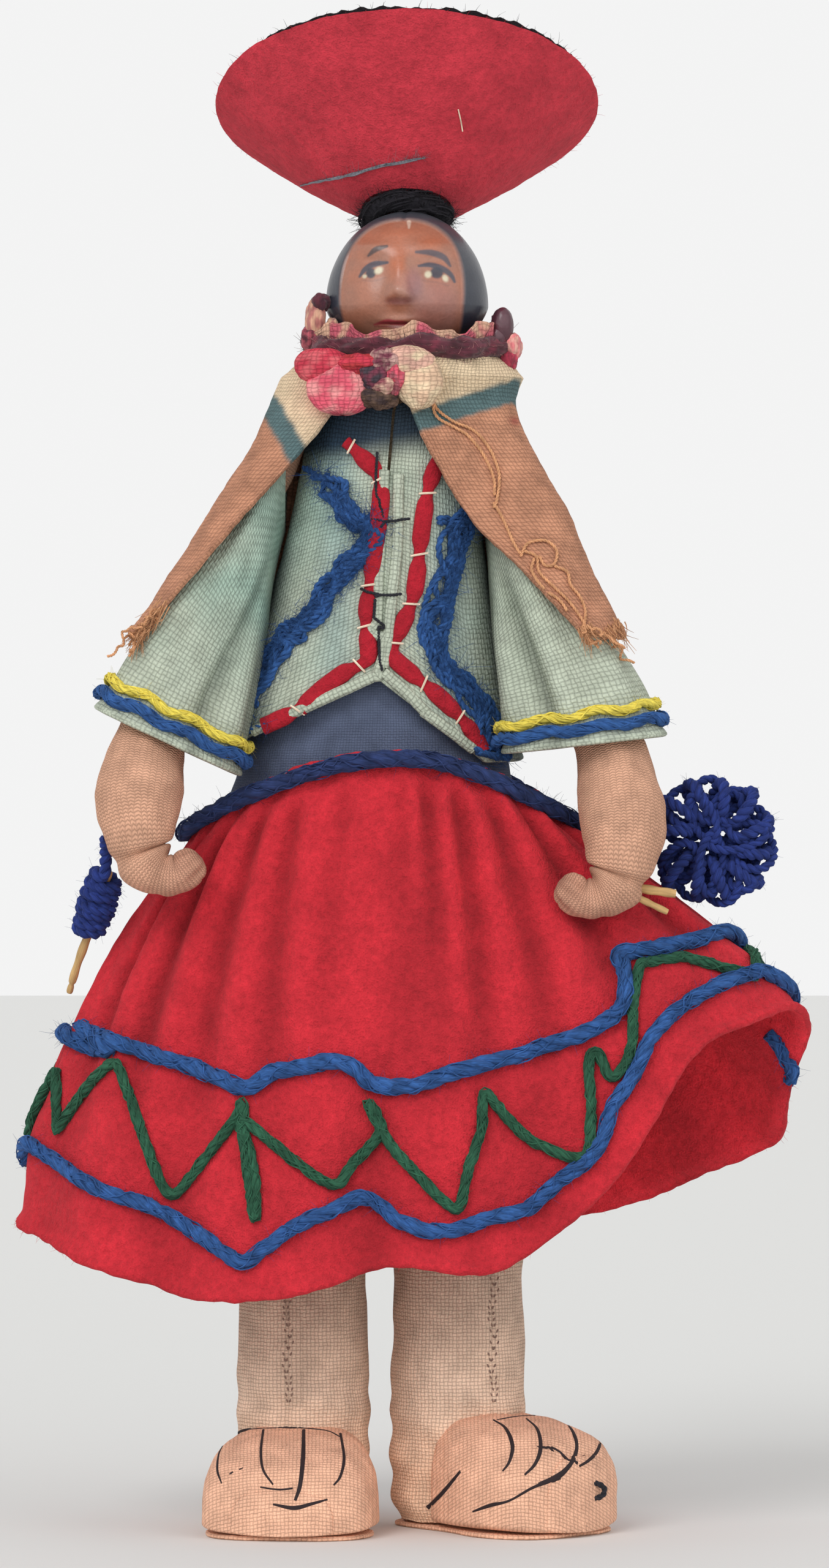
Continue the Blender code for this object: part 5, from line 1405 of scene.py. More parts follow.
@dataclass
class Head:
    """The moulded head: painted face and dark hair cap."""

    middle: tuple = (2.5, -0.5, 205.8)
    half_width: float = 13.1
    half_depth: float = 11.2
    half_height: float = 12.0
    face_turn: float = math.radians(-7)
    sag: float = 0.29
    jaw: float = 0.2
    flat: float = 0.10
    nose_out: float = 1.5
    drop: float = 5.0
    features: tuple = (
        ("wings", 0.5, 1.6, 0.8, -2.3, 0.8),
        ("sockets", -0.55, 4.7, 2.6, 3.2, 1.5),
        ("brows", 0.35, 4.9, 3.0, 6.0, 1.2),
        ("lids", 0.32, 4.7, 2.0, 2.9, 0.75),
        ("upper lip", 0.55, 0, 2.8, -6.0, 0.65),
        ("lower lip", 0.6, 0, 2.2, -7.5, 0.7),
        ("mouth", -0.25, 0, 3.0, -6.75, 0.3),
        ("cheeks", 0.45, 5.6, 3.0, -2.6, 3.0),
        ("chin", 0.6, 0, 2.6, -10.2, 1.5),
    )
    columns: int = 360
    rows: int = 260

    def form(self) -> np.ndarray:
        """The head's own surface before its features, about its middle.

        Returns:
            Its rows and columns of places.
        """
        spread = np.linspace(-1, 1, self.columns, endpoint=False)
        angle = math.pi * (0.45 * spread + 0.55 * spread**3)
        tip = np.linspace(-math.pi / 2 + 0.02, math.pi / 2 - 0.02, self.rows)
        angle, tip = np.meshgrid(angle, tip)
        x, y, z = np.sin(angle) * np.cos(tip), -np.cos(angle) * np.cos(tip), np.sin(tip)
        jaw = 1 - self.jaw * np.maximum(-z, 0)
        flat = 1 - self.flat * np.maximum(-y, 0)
        height = (z * (1 + np.where(z > 0, self.sag, -self.sag)) - self.sag) * self.half_height
        return np.stack([x * self.half_width * jaw, y * self.half_depth * flat * jaw, height], -1)

    def feature(self, local: np.ndarray) -> np.ndarray:
        """How far the features raise the surface, in mm, at places about the head's middle.

        Args:
            local: places about the head's middle.

        Returns:
            The rise of each.
        """
        x, z = local[..., 0], local[..., 2]
        front = smooth(1.0, -4.0, local[..., 1])
        bridge = 0.75 * bump(x, 0, 1.5) * smooth(-3.2, -1.2, z) * smooth(6.0, 1.0, z)
        tip = self.nose_out * bump(x, 0, 1.9) * bump(z, -1.7, 1.7)
        total = bridge + tip
        for _, rise, aside, wide, height, tall in self.features:
            across = bump(x, -aside, wide) + bump(x, aside, wide) if aside else bump(x, 0, wide)
            total = total + rise * across * bump(z, height, tall)
        return total * front

    def hair_share(self, local: np.ndarray) -> np.ndarray:
        """How far a place lies in the hair: 0 on the face, 1 in the hair.

        Args:
            local: places about the head's middle.

        Returns:
            The share of each.
        """
        x, z = local[..., 0], local[..., 2]
        side = np.where(z > -2.0, 10.1, 10.1 - 0.03 * (z + 2.0) ** 2)
        reach = np.sqrt((np.abs(x) / side) ** 2.3 + (np.maximum(z + 1.5, 0) / 12.1) ** 2.3)
        face = smooth(1.03, 0.97, reach) * smooth(0.0, -1.2, local[..., 1])
        return 1 - face

    def build(self, view: PhotoView) -> None:
        """The whole head in one surface, painted.

        Args:
            view: turns the photograph's pixels into places.
        """
        local = self.form()
        hair = self.hair_share(local)
        normal = outward(local, True)
        parting = -0.2 * bump(local[..., 0], 0, 0.4) * smooth(8.0, 10.0, local[..., 2])
        lift = self.feature(local) * (1 - hair) + hair * (0.45 + parting)
        lift += 0.04 * ripple(local, 2.6, 6.0)
        grid = local + normal * lift[..., None]
        turn = self.face_turn
        spun = np.stack(
            [
                grid[..., 0] * math.cos(turn) - grid[..., 1] * math.sin(turn),
                grid[..., 0] * math.sin(turn) + grid[..., 1] * math.cos(turn),
                grid[..., 2],
            ],
            -1,
        ) + np.array(self.middle)
        pile = MeshPile()
        paint = self.painted(view, spun, local, hair)
        pile.grid(capped(spun), True, paint=np.concatenate([paint[:1], paint, paint[-1:]]))
        settle(pile.build("head_painted", PAINT.make(), SMOOTH_ALL), "head", "painted_head", "head")

    def painted(self, view: PhotoView, grid: np.ndarray, local: np.ndarray, hair: np.ndarray) -> np.ndarray:
        """The colours of face and hair, with painted light and shade on the nose and a painted sheen on the
        hair.

        Args:
            view: turns places into pixels.
            grid: the head's places in the doll's frame.
            local: its places about its middle, before the features.
            hair: how far each lies in the hair.

        Returns:
            The colours.
        """
        paint = blank(grid)
        px = grid[..., 0] / view.pixel + view.zero_x
        py = view.floor_y - self.drop - grid[..., 2] / view.pixel
        behind = local[..., 1] > 0
        brush = Brush(np.where(behind, 1e4, px), py, paint)
        patch = ripple(grid, 3.0, 2.0)[..., None]
        skin, warm = np.array(linear(156, 108, 88)), np.array(linear(170, 106, 80))
        paint[..., :3] = skin + (warm - skin) * np.clip(0.4 + patch, 0, 1)
        for strength, oval, tone in (
            (0.6, (600, 500, 36, 40, 0.5), (168, 112, 90)),
            (0.55, (712, 505, 40, 45, 0.5), (150, 100, 96)),
            (0.5, (665, 395, 62, 22, 0.5), (178, 100, 66)),
            (0.55, (650, 424, 12, 22, 0.6), (182, 96, 52)),
            # Painted shade under the nose.
            (0.7, (652, 494, 20, 6, 0.6), (120, 70, 72)),
            # Painted shade down the far side of the nose.
            (0.5, (676, 466, 14, 24, 0.6), (128, 92, 104)),
            # Painted highlight: a lighter patch down the tip of the nose.
            (0.4, (655, 470, 9, 18, 0.6), (196, 150, 136)),
        ):
            brush.lay(strength * brush.oval(*oval), linear(*tone))
        brow, lash = linear(64, 54, 56), linear(58, 62, 76)
        brush.lay(0.9 * brush.stroke([(602, 418), (614, 408), (632, 403)], [2, 4.5, 2.5]), brow)
        brush.lay(0.85 * brush.stroke([(680, 413), (704, 414), (724, 421), (735, 435)], [2.5, 5, 5, 2]), lash)
        for eye in (
            [(588, 452), (597, 440), (612, 432), (633, 430)],
            [(684, 436), (702, 434), (722, 440), (736, 450), (742, 461)],
        ):
            brush.lay(0.92 * brush.stroke(eye, [2.0, 4.2, 5.0, *[4.0] * (len(eye) - 4), 2.2]), lash)
        iris, white, lid = linear(44, 48, 62), linear(212, 204, 176), linear(120, 84, 76)
        for strength, oval, tone in (
            (0.95, (606, 447, 8, 8.5, 0.25), iris),
            (0.95, (713, 447, 10.5, 9.5, 0.25), iris),
            (0.95, (619, 443, 7.0, 5.6, 0.5, -30), white),
            (0.8, (596, 452, 3.6, 3.2, 0.5), white),
            (0.95, (699, 450, 5.4, 5.6, 0.5, 30), white),
            (0.9, (727, 456, 4.4, 5.8, 0.5, -30), white),
        ):
            brush.lay(strength * brush.oval(*oval), tone)
        for under_eye in ([(592, 458), (610, 460), (630, 455)], [(690, 460), (712, 463), (732, 468)]):
            brush.lay(0.5 * brush.stroke(under_eye, [1, 1.4, 1]), lid)
        lip, dark_lip = linear(158, 52, 62), linear(116, 40, 52)
        upper_lip = [(612, 530), (632, 526), (645, 528), (662, 530), (672, 537)]
        brush.lay(0.9 * brush.stroke(upper_lip, [1.5, 4, 4, 4, 1.5]), lip)
        brush.lay(0.8 * brush.stroke([(625, 541), (645, 545), (663, 541)], [2, 4.5, 2]), linear(166, 78, 74))
        brush.lay(0.8 * brush.stroke([(613, 533), (640, 534), (672, 539)], [1, 1.6, 1], 1.0), dark_lip)
        # Painted sheen: the hair is painted lighter towards its top and darker towards the jaw.
        sheen = smooth(-6, 8, local[..., 2])[..., None] * (0.85 + 0.25 * ripple(local, 4.0, 8.0))[..., None]
        dark = np.array(linear(40, 44, 56)) * (1 - sheen) + np.array(linear(70, 73, 80)) * sheen
        paint[..., :3] = paint[..., :3] * (1 - hair[..., None]) + dark * hair[..., None]
        line = brush.stroke([(668, 362), (668, 372)], [3.5, 1.5])
        brush.lay(line, linear(196, 168, 150))
        return paint


@dataclass
class Jacket:
    """The sage jacket's body with its seam, its ties, the red felt strips and the blue yarns on it."""

    form: TorsoForm
    cloth: float = 1.0
    apex: float = 14.0
    back_rise: float = 3.0
    neck_drop: float = 2.5
    opening: float = 0.8
    v_angles: tuple[float, float] = (math.radians(78), math.radians(48))
    neck_angle: float = math.radians(48)
    strip_width: float = 3.0
    strip_thick: float = 0.9
    edge_width: float = 1.9
    edge_thick: float = 0.85
    pinch_width: float = 1.1
    stitch_reach: float = 1.35
    stitch_radius: float = 0.2
    strands: int = 11
    yarn_radius: float = 0.55
    yarn_pitch: float = 2.6
    columns: int = 300
    rows: int = 170
    right_felt: tuple = (
        (566, 722), (590, 745), (615, 772), (622, 808), (618, 850), (612, 900), (604, 960), (598, 1020),
        (600, 1075), (560, 1100), (520, 1130), (480, 1165), (440, 1195), (392, 1218),
    )
    left_felt: tuple = (
        (718, 752), (706, 775), (696, 815), (688, 870), (682, 930), (672, 985), (650, 1035), (642, 1070),
        (672, 1100), (706, 1128), (740, 1160), (766, 1190), (790, 1228),
    )
    right_yarn: tuple = (
        (520, 775), (548, 800), (568, 835), (590, 860), (612, 850), (604, 890), (575, 925), (545, 960),
        (515, 1000), (480, 1035), (455, 1065), (430, 1110), (405, 1160), (395, 1205),
    )
    left_yarn: tuple = (
        (758, 800), (772, 840), (745, 870), (735, 910), (722, 960), (710, 1010), (706, 1050), (722, 1090),
        (748, 1115), (775, 1150), (800, 1200), (815, 1235),
    )

    def hem(self, angle: np.ndarray) -> np.ndarray:
        """The hem's height: an upturned V in front, a little raised behind.

        Args:
            angle: the way round, from the front.

        Returns:
            The heights, in mm.
        """
        turned = from_front(angle)
        reach = np.where(turned > 0, self.v_angles[1], self.v_angles[0])
        share = np.maximum(1 - np.abs(turned) / reach, 0)
        return self.form.jacket_hem + self.apex * share + self.back_rise * ((1 - np.cos(turned)) / 2) ** 2

    def top(self, angle: np.ndarray) -> np.ndarray:
        """The neckline's height, cut low in front."""
        turned = np.abs(from_front(angle))
        return self.form.jacket_top - self.neck_drop * np.maximum(1 - turned / self.neck_angle, 0)

    def grid(self) -> np.ndarray:
        """The jacket's outer face, with its creases.

        Returns:
            Its rows and columns of places.
        """
        start = math.asin(self.opening / 2 / self.form.half_width)
        angle = np.linspace(start, TURN - start, self.columns)
        hem, top = self.hem(angle), self.top(angle)
        share = np.linspace(0, 1, self.rows)[:, None]
        z = hem + (top - hem) * share
        angle = np.broadcast_to(angle, z.shape)
        turned = from_front(angle)
        crease = 0.35 * bump(turned, 0.55, 0.16) * smooth(126, 150, z) * smooth(182, 160, z)
        crease += 0.35 * bump(turned, -0.62, 0.16) * smooth(126, 145, z) * smooth(178, 155, z)
        crease += 0.3 * np.sin(turned * 9 + z * 0.11) * smooth(1.4, 1.8, np.abs(turned))
        crease += 2.6 * bump(turned, -1.25, 0.5) * smooth(154, 128, z)
        fold = 0.3 * bump(np.abs(turned), 0.07, 0.04) * smooth(141, 146, z)
        rolled = 0.35 * smooth(2.2, 0.4, z - hem)
        grid = self.form.skin(angle, z, self.form.jacket_lift(z) + crease + fold + rolled - 0.1)
        return raised(grid, ripple(grid, 5.0, 2.0) * 0.18)

    def build_body(self) -> BVHTree:
        """The jacket's cloth; returns the front of its surface to lay the trims on.

        Returns:
            The front of its surface, to lay the trims on.
        """
        grid = self.grid()
        paint = blank(grid)
        x, z = grid[..., 0], grid[..., 2]
        teal = np.array([0.62, 0.86, 0.9])
        share = 0.7 * smooth(-2, -16, x) * smooth(150, 172, z) + 0.25 * np.clip(ripple(grid, 7.0, 9.0), 0, 1)
        paint[..., :3] *= 1 - share[..., None] * (1 - teal)
        under_yarn = 0.22 * (bump(x, -9, 3.5) + bump(x, 10, 4)) * smooth(128, 140, z)
        paint[..., :3] *= 1 - under_yarn[..., None] * np.array([1.0, 0.6, 0.2])
        # Painted shade: the jacket's top in front is painted dark under the knot and shawl.
        hollow_shade = smooth(175.5, 181.0, z + 0.16 * np.clip(-x, -8, 10)) * (grid[..., 1] < 0)
        paint[..., :3] *= 1 - hollow_shade[..., None] * np.array([0.93, 0.9, 0.82])
        turned = np.abs(np.arctan2(x, -grid[..., 1]))
        # Painted shade: the jacket's sides are painted darker below the sleeves, between sleeve and body.
        side_shade = 0.55 * smooth(0.95, 1.5, turned) * smooth(172, 160, z)
        paint[..., :3] *= 1 - side_shade[..., None] * np.array([1.0, 0.92, 0.8])
        shade = 1 - 0.35 * bump(np.abs(x - 0.2), 0, 0.45) * (grid[..., 1] < 0)
        paint[..., :3] *= shade[..., None]
        pile = MeshPile()
        pile.shell(grid, self.cloth, paint=paint)
        body = settle(pile.build("jacket_body", SAGE.make()), "body", "sage_cloth", "jacket")
        front = self.columns * 3 // 10
        return tree_of((grid[:, :front], False), (grid[:, -front:], False))

    def build_hems(self, view: PhotoView, surface: BVHTree) -> None:
        """The turned edges down the middle and along the hem, and the two dark ties.

        Args:
            view: turns the photograph's pixels into places.
            surface: the surface that they lie on.
        """
        pile = MeshPile()
        for pixels in (
            [(627, 768), (624, 830), (620, 900), (617, 970), (615, 1040), (617, 1090)],
            [(650, 775), (650, 830), (648, 900), (640, 970), (633, 1040), (626, 1090)],
            [(618, 1098), (580, 1128), (530, 1165), (470, 1208), (418, 1240), (372, 1254)],
            [(626, 1098), (660, 1128), (700, 1168), (740, 1208), (780, 1246), (800, 1258)],
        ):
            route = view.lay(surface, pixels, 0.05, 12)
            self.band(pile, route, surface, self.edge_width, self.edge_thick)
        edges = settle(pile.build("jacket_turned_edges", SAGE.make()), "body", "sage_cloth")
        ties = MeshPile()
        for pixels in (
            [(610, 848), (628, 853), (650, 850), (668, 848)],
            [(590, 962), (612, 970), (632, 972), (655, 970)],
            [(620, 740), (618, 790), (622, 846)],
            [(622, 975), (621, 1030), (622, 1098)],
        ):
            ties.yarn(view.lay(surface, pixels, 1.0, 10), 0.26, 1.1, seed=2.0)
        settle(ties.build("jacket_ties", DARK_THREAD.make()), "body", "black_wool")

    def band(
        self,
        pile: MeshPile,
        route: np.ndarray,
        surface: BVHTree,
        width: float,
        thick: float,
        pinch: np.ndarray | None = None,
    ) -> None:
        """Add a soft flat band that lies on a surface.

        Args:
            pile: where it goes.
            route: its middle line.
            surface: what it lies on.
            width, thick: its size in mm.
            pinch: how far it is drawn in at each point, 0 to 1.
        """
        pinch = np.zeros(len(route)) if pinch is None else pinch
        normals = np.array([np.array(surface.find_nearest(Vector(p))[1]) for p in route])
        normals *= np.sign((normals * (route * [1, 1, 0])).sum(axis=1))[:, None]
        aside = beside(route, normals)
        angle = round_angles(20)
        wide = width / 2 * (1 - 0.38 * pinch)
        tall = thick * (1 - 0.4 * pinch)
        cross, rise = np.cos(angle), np.sin(angle)
        cross = np.sign(cross) * np.abs(cross) ** 0.7
        lifted = np.where(rise > 0, rise, rise * 0.25)
        grid = (
            route[:, None]
            + aside[:, None] * (wide[:, None] * cross)[..., None]
            + normals[:, None] * (tall[:, None] * lifted)[..., None]
        )
        grid += (ripple(grid, 1.6, 4.0) * 0.12)[..., None] * normals[:, None]
        pile.grid(pointed(grid, route, 0.1), True)

    def build_strips(self, view: PhotoView, surface: BVHTree) -> None:
        """The red felt strips, each pinched by pale stitches.

        Args:
            view: turns the photograph's pixels into places.
            surface: the front of the jacket.
        """
        stitches = {
            "right": ((566, 741), (615, 784), (610, 955), (598, 1022), (590, 1095), (486, 1158)),
            "left": ((700, 805), (680, 905), (668, 985), (648, 1052), (690, 1118), (752, 1172)),
        }
        for name, pixels in (("right", self.right_felt), ("left", self.left_felt)):
            route = evenly(view.lay(surface, list(pixels), 0.15, 12), 0.25)
            marks = [view.hit(surface, px, py, 0.6) for px, py in stitches[name]]
            pinch = np.zeros(len(route))
            seams = MeshPile()
            for mark in marks:
                near = np.linalg.norm(route - mark, axis=1)
                at = int(np.argmin(near))
                pinch = np.maximum(pinch, bump(near, near[at], self.pinch_width))
                ahead = route[min(at + 3, len(route) - 1)] - route[max(at - 3, 0)]
                aside = np.cross(ahead / np.linalg.norm(ahead), [0, -1, 0])
                over = np.linspace(-1, 1, 9)[:, None]
                lift = np.array([0, -1.0, 0]) * (0.75 - 0.5 * over**2)
                stitch = route[at] + aside * over * self.stitch_reach + lift + ahead * 0.25 * over
                seams.tube(stitch, self.stitch_radius, 6)
            pile = MeshPile()
            self.band(pile, route, surface, self.strip_width, self.strip_thick, pinch)
            piece = pile.build(f"front_felt_strip_{name}", TRIM_FELT.make())
            settle(piece, "body", "trim_felt", f"front_felt_{name}")
            settle(seams.build(f"front_stitches_{name}", THREAD.make()), "body", "yellow_yarn")

    def build_yarns(self, view: PhotoView, surface: BVHTree) -> None:
        """The thick blue yarns, loosely couched in several strands.

        Args:
            view: turns the photograph's pixels into places.
            surface: the front of the jacket.
        """
        for name, pixels in (("right", self.right_yarn), ("left", self.left_yarn)):
            pile = MeshPile()
            rng = np.random.default_rng(11 if name == "right" else 12)
            base = view.lay(surface, list(pixels), 0.55, 12)
            for strand in range(self.strands):
                drift = [(px + rng.uniform(-21, 21), py + rng.uniform(-12, 12)) for px, py in pixels]
                start, end = rng.integers(0, 2), len(pixels) - rng.integers(0, 2)
                route = view.lay(surface, drift[start:end], 0.35 + 0.22 * (strand % 3), 12)
                pile.yarn(route, self.yarn_radius, self.yarn_pitch, wander=0.2, seed=strand)
            picks = np.repeat(base, 14, axis=0) + rng.normal(0, 1.2, (len(base) * 14, 3)) * [1, 0.3, 1]
            ways = rng.normal([0, -0.7, 0], 0.8, picks.shape)
            pile.hairs(picks, ways, (0.6, 1.9), 0.06, 21, 1.6)
            piece = pile.build(f"front_blue_yarn_{name}", BLUE.make())
            settle(piece, "body", "blue_yarn", f"front_yarn_{name}")


@dataclass
class Sleeves:
    """The two wide sleeves and the yarns round their cuffs."""

    form: TorsoForm
    cloth: float = 0.9
    top_z: float = 188.5
    underarm: float = 165.0
    cuff_reach: dict = right_left(48.3, 44.7)
    cuff_outer: dict = right_left(135.8, 131.5)
    cuff_inner: dict = right_left(125.0, 128.5)
    inner_x: dict = right_left(25.0, 18.5)
    top_x: float = 17.2
    half_depth: float = 8.0
    cuff_depth: float = 11.5
    forward: float = 13.0
    fold: float = 0.7
    gap: float = 0.3
    room: float = 0.5
    cuff_yarns: tuple = (("yellow", 0.89, 0.85), ("blue", 0.945, 1.05))
    edge: tuple = ((0, 0), (0.10, 0.17), (0.24, 0.33), (0.45, 0.52), (0.70, 0.72), (0.88, 0.87), (1, 1))
    columns: int = 220
    rows: int = 120

    def point(self, side: int, share: np.ndarray, angle: np.ndarray, lift: np.ndarray) -> np.ndarray:
        """Places on a sleeve; the angle runs from its inner edge round by the front.

        Args:
            side: -1 for the doll's right, 1 for its left.
            share: 0 at the shoulder, 1 at the cuff.
            angle: the way round.
            lift: how far off its outer face, in mm.

        Returns:
            The places.
        """
        form = self.form
        inner_z = self.underarm + (self.cuff_inner[side] - self.underarm) * share
        underarm_x = form.jacket_side(side, self.underarm, 0) + self.gap
        inner_x = underarm_x + (self.inner_x[side] - underarm_x) * share
        inner_x = np.maximum(inner_x, form.jacket_side(side, inner_z, self.forward * share) + self.gap)
        steps = np.linspace(0, 1, len(self.edge))
        table = on_curve([(s, *row) for s, row in zip(steps, self.edge)], 8)
        run, drop = np.interp(share, table[:, 0], table[:, 1]), np.interp(share, table[:, 0], table[:, 2])
        outer_x = self.top_x + (self.cuff_reach[side] - self.top_x) * run
        outer_z = self.top_z + (self.cuff_outer[side] - self.top_z) * drop
        along_x, along_z = (inner_x - outer_x) / 2, (inner_z - outer_z) / 2
        length = np.hypot(along_x, along_z)
        fold = self.fold * share * np.sin(3 * angle)
        stretch = 1 + (lift + fold) / length
        x = (inner_x + outer_x) / 2 + along_x * np.cos(angle) * stretch
        z = (inner_z + outer_z) / 2 + along_z * np.cos(angle) * stretch
        depth = self.half_depth + (self.cuff_depth - self.half_depth) * share
        y = -self.forward * share - np.sin(angle) * (depth + lift + fold)
        clear = form.jacket_side(side, z, y) + self.gap + self.room * share - np.minimum(lift, 2.5)
        return np.stack([side * np.maximum(x, clear), y, z], axis=-1)

    def creases(self, side: int, share: np.ndarray, angle: np.ndarray) -> np.ndarray:
        """How far the hanging folds raise or lower the cloth.

        Args:
            side: -1 for the doll's right, 1 for its left.
            share: 0 at the shoulder, 1 at the cuff.
            angle: the way round.

        Returns:
            The rise at each place, in mm.
        """
        front = smooth(0.15, 0.5, share) * smooth(1.0, 0.8, share)
        deep = -2.0 * bump(angle, 0.95 + 0.25 * share, 0.16) * front
        full = 1.2 * bump(angle, 0.55 + 0.2 * share, 0.22) * front
        small = 0.55 * np.sin(angle * 7 + share * 4 + side) * front
        return deep + full + small

    def build(self) -> None:
        """Both sleeves."""
        for side in Side:
            s = side.value
            down = np.linspace(1, 0, self.rows)
            share, angle = np.meshgrid(down, round_angles(self.columns), indexing="ij")
            lift = self.creases(s, share, angle)
            rolled = 0.45 * smooth(0.965, 1.0, share)
            grid = self.point(s, share, angle, lift + rolled - 0.05)
            grid += (ripple(grid, 4.0, 3.0 + s) * 0.2 * smooth(0, 0.4, share))[..., None] * [0, 1, 0]
            paint = blank(grid)
            teal = np.array([0.55, 0.84, 0.88]) if side is Side.RIGHT else np.array([0.9, 0.97, 0.95])
            tint = smooth(0.95, 0.3, share) * (0.5 + 0.5 * ripple(grid, 8.0, 5.0))
            paint[..., :3] *= 1 - (tint * 0.9)[..., None] * (1 - teal)
            # Painted shade: darker along the deep fold and along the inner edge next to the jacket.
            dark = 1 - 0.4 * bump(angle, 0.95 + 0.25 * share, 0.14) * smooth(0.15, 0.5, share)
            dark *= 1 - 0.4 * bump(np.cos(angle), 1, 0.22)
            paint[..., :3] *= dark[..., None]
            flip = slice(None, None, -1) if s < 0 else slice(None)
            pile = MeshPile()
            pile.shell(grid[:, flip], self.cloth, True, paint[:, flip])
            arm = f"{side.word}_arm"
            piece = pile.build(f"sleeve_cloth_{side.word}", SAGE.make())
            settle(piece, arm, "sage_cloth", f"sleeve_{side.word}")
            arm = f"arm_stuffed_{side.word}"
            self.build_cuff(side)

    def build_cuff(self, side: Side) -> None:
        """The yellow and the blue yarn sewn round one cuff.

        Args:
            side: the doll's right or left.
        """
        angle = round_angles(120)
        for (colour, at, radius), finish in zip(self.cuff_yarns, (YELLOW, BLUE)):
            wave = 0.008 * np.sin(angle * 9 + side.value)
            lift = self.creases(side.value, np.full_like(angle, at), angle) * 0.8 + radius * 0.8
            route = self.point(side.value, at + wave, angle, lift)
            pile = MeshPile()
            pile.wool(route, radius, 31 + side.value, True, 0.6)
            piece = pile.build(f"cuff_yarn_{colour}_{side.word}", finish.make())
            settle(piece, f"{side.word}_arm", f"{colour}_yarn", f"cuff_{colour}_{side.word}")


@dataclass
class Arms:
    """The stuffed knitted arms with their curled hands."""

    form: TorsoForm
    shoulder: float = 181.0
    gap: float = 1.2
    reach: dict = right_left(41.3, 37.7)
    drop: dict = right_left(69.0, 73.0)
    forward: float = 22.5
    girth: float = 7.2
    curl: float = 9.0
    deeper: float = 0.25
    arm_shares: tuple = (
        (0.00, 0.00, 0.00, 0.30), (0.11, 0.02, 0.02, 0.30), (0.19, 0.07, 0.09, 0.33),
        (0.28, 0.14, 0.20, 0.40), (0.45, 0.25, 0.37, 0.55), (0.72, 0.48, 0.55, 0.70),
        (0.92, 0.65, 0.71, 0.78), (1.00, 0.86, 0.86, 1.00), (1.00, 0.97, 0.95, 0.84),
    )
    hand_shares: tuple = (
        (0.08, 0.03, 0.43, 0.67), (0.34, 0.08, 0.73, 0.54), (0.71, 0.11, 0.79, 0.44),
        (0.99, 0.12, 0.61, 0.35),
    )

    def start(self, side: int) -> float:
        """How far out an arm begins."""
        width, _, middle = self.form.size(self.shoulder - self.girth * self.arm_shares[0][3])
        return float(width + side * middle + self.gap)

    def route(self, side: int) -> np.ndarray:
        """Points of an arm from shoulder to finger end, each with its radius.

        Args:
            side: -1 for the doll's right, 1 for its left.

        Returns:
            Rows of x, y, z and radius.
        """
        start = self.start(side)
        points = []
        for run, forward, drop, girth in self.arm_shares:
            x = start + (self.reach[side] - start) * run
            y, z = -self.forward * forward, self.shoulder - self.drop[side] * drop
            under = z - self.girth * girth
            if under < self.shoulder - 5.6:
                room = 2.8 if under < 165 else 0.5
                x = max(x, float(self.form.jacket_side(side, under, y)) + room + self.girth * girth)
            points.append((side * x, y, z, self.girth * girth))
        wrist = points[-1]
        for inward, ahead, down, girth in self.hand_shares:
            points.append(
                (
                    wrist[0] - side * inward * self.curl,
                    wrist[1] - ahead * self.curl,
                    wrist[2] - down * self.curl,
                    self.girth * girth,
                )
            )
        return np.array(points)

    def wrist(self, side: int) -> np.ndarray:
        """Where a hand starts to curl."""
        return self.route(side)[len(self.arm_shares) - 1, :3]

    def build(self) -> None:
        """Both arms, plump above the wrist and pinched at the fingers."""
        for side in Side:
            dense = on_curve(self.route(side.value).tolist(), 14)
            line, radii = dense[:, :3], dense[:, 3]
            across, third = frames_along(line)
            share = np.linspace(0, 1, len(line))
            widen = 1 + self.deeper * np.maximum(1 - 2 * share, 0)
            pinch = 1 - 0.16 * bump(share, 0.74, 0.018) - 0.12 * bump(share, 0.86, 0.015)
            pinch += 0.1 * bump(share, 0.79, 0.03) + 0.12 * bump(share, 0.98, 0.03)
            radii = radii * pinch
            angle = round_angles(72)
            ring = across[:, None] * (np.cos(angle)[None] * widen[:, None])[..., None]
            ring = ring + third[:, None] * np.sin(angle)[None, :, None]
            grid = line[:, None] + ring * radii[:, None, None]
            lumps = ripple(grid, 4.5, 3.0 * side.value) * 0.4 + ripple(grid, 1.8, 1.0) * 0.12
            grid += ring * lumps[..., None] * smooth(0.3, 0.5, share)[:, None, None]
            gather = smooth(0.9, 1.0, share)[:, None] * 0.25 * np.sin(angle * 7)[None]
            grid += ring * gather[..., None]
            ends = []
            for at, sign in ((0, -1), (-1, 1)):
                way = line[at] - line[1 if at == 0 else -2]
                way = way / np.linalg.norm(way)
                for level in np.linspace(0.15, 1, 7):
                    shrink = math.sqrt(max(1 - level**2, 0.0)) + 0.01
                    out = (grid[at] - line[at]) * shrink
                    ends.append((sign, line[at] + out + way * radii[at] * 0.7 * level))
            before = [ring for sign, ring in ends if sign < 0][::-1]
            after = [ring for sign, ring in ends if sign > 0]
            whole = np.concatenate([np.array(before), grid, np.array(after)])
            paint = blank(whole)
            warm = smooth(0.72, 0.95, np.linspace(0, 1, len(whole)))[:, None]
            paint[..., :3] *= 1 - warm[..., None] * np.array([0.1, 0.16, 0.14])
            paint[..., :3] *= (1 + 0.1 * ripple(whole, 3.5, 6.0))[..., None]
            pile = MeshPile()
            pile.grid(whole, True, paint=paint)
            piece = pile.build(f"arm_stuffed_{side.word}", KNIT.make(), SMOOTH_ALL)
            settle(piece, f"{side.word}_arm", "knit", f"arm_{side.word}")


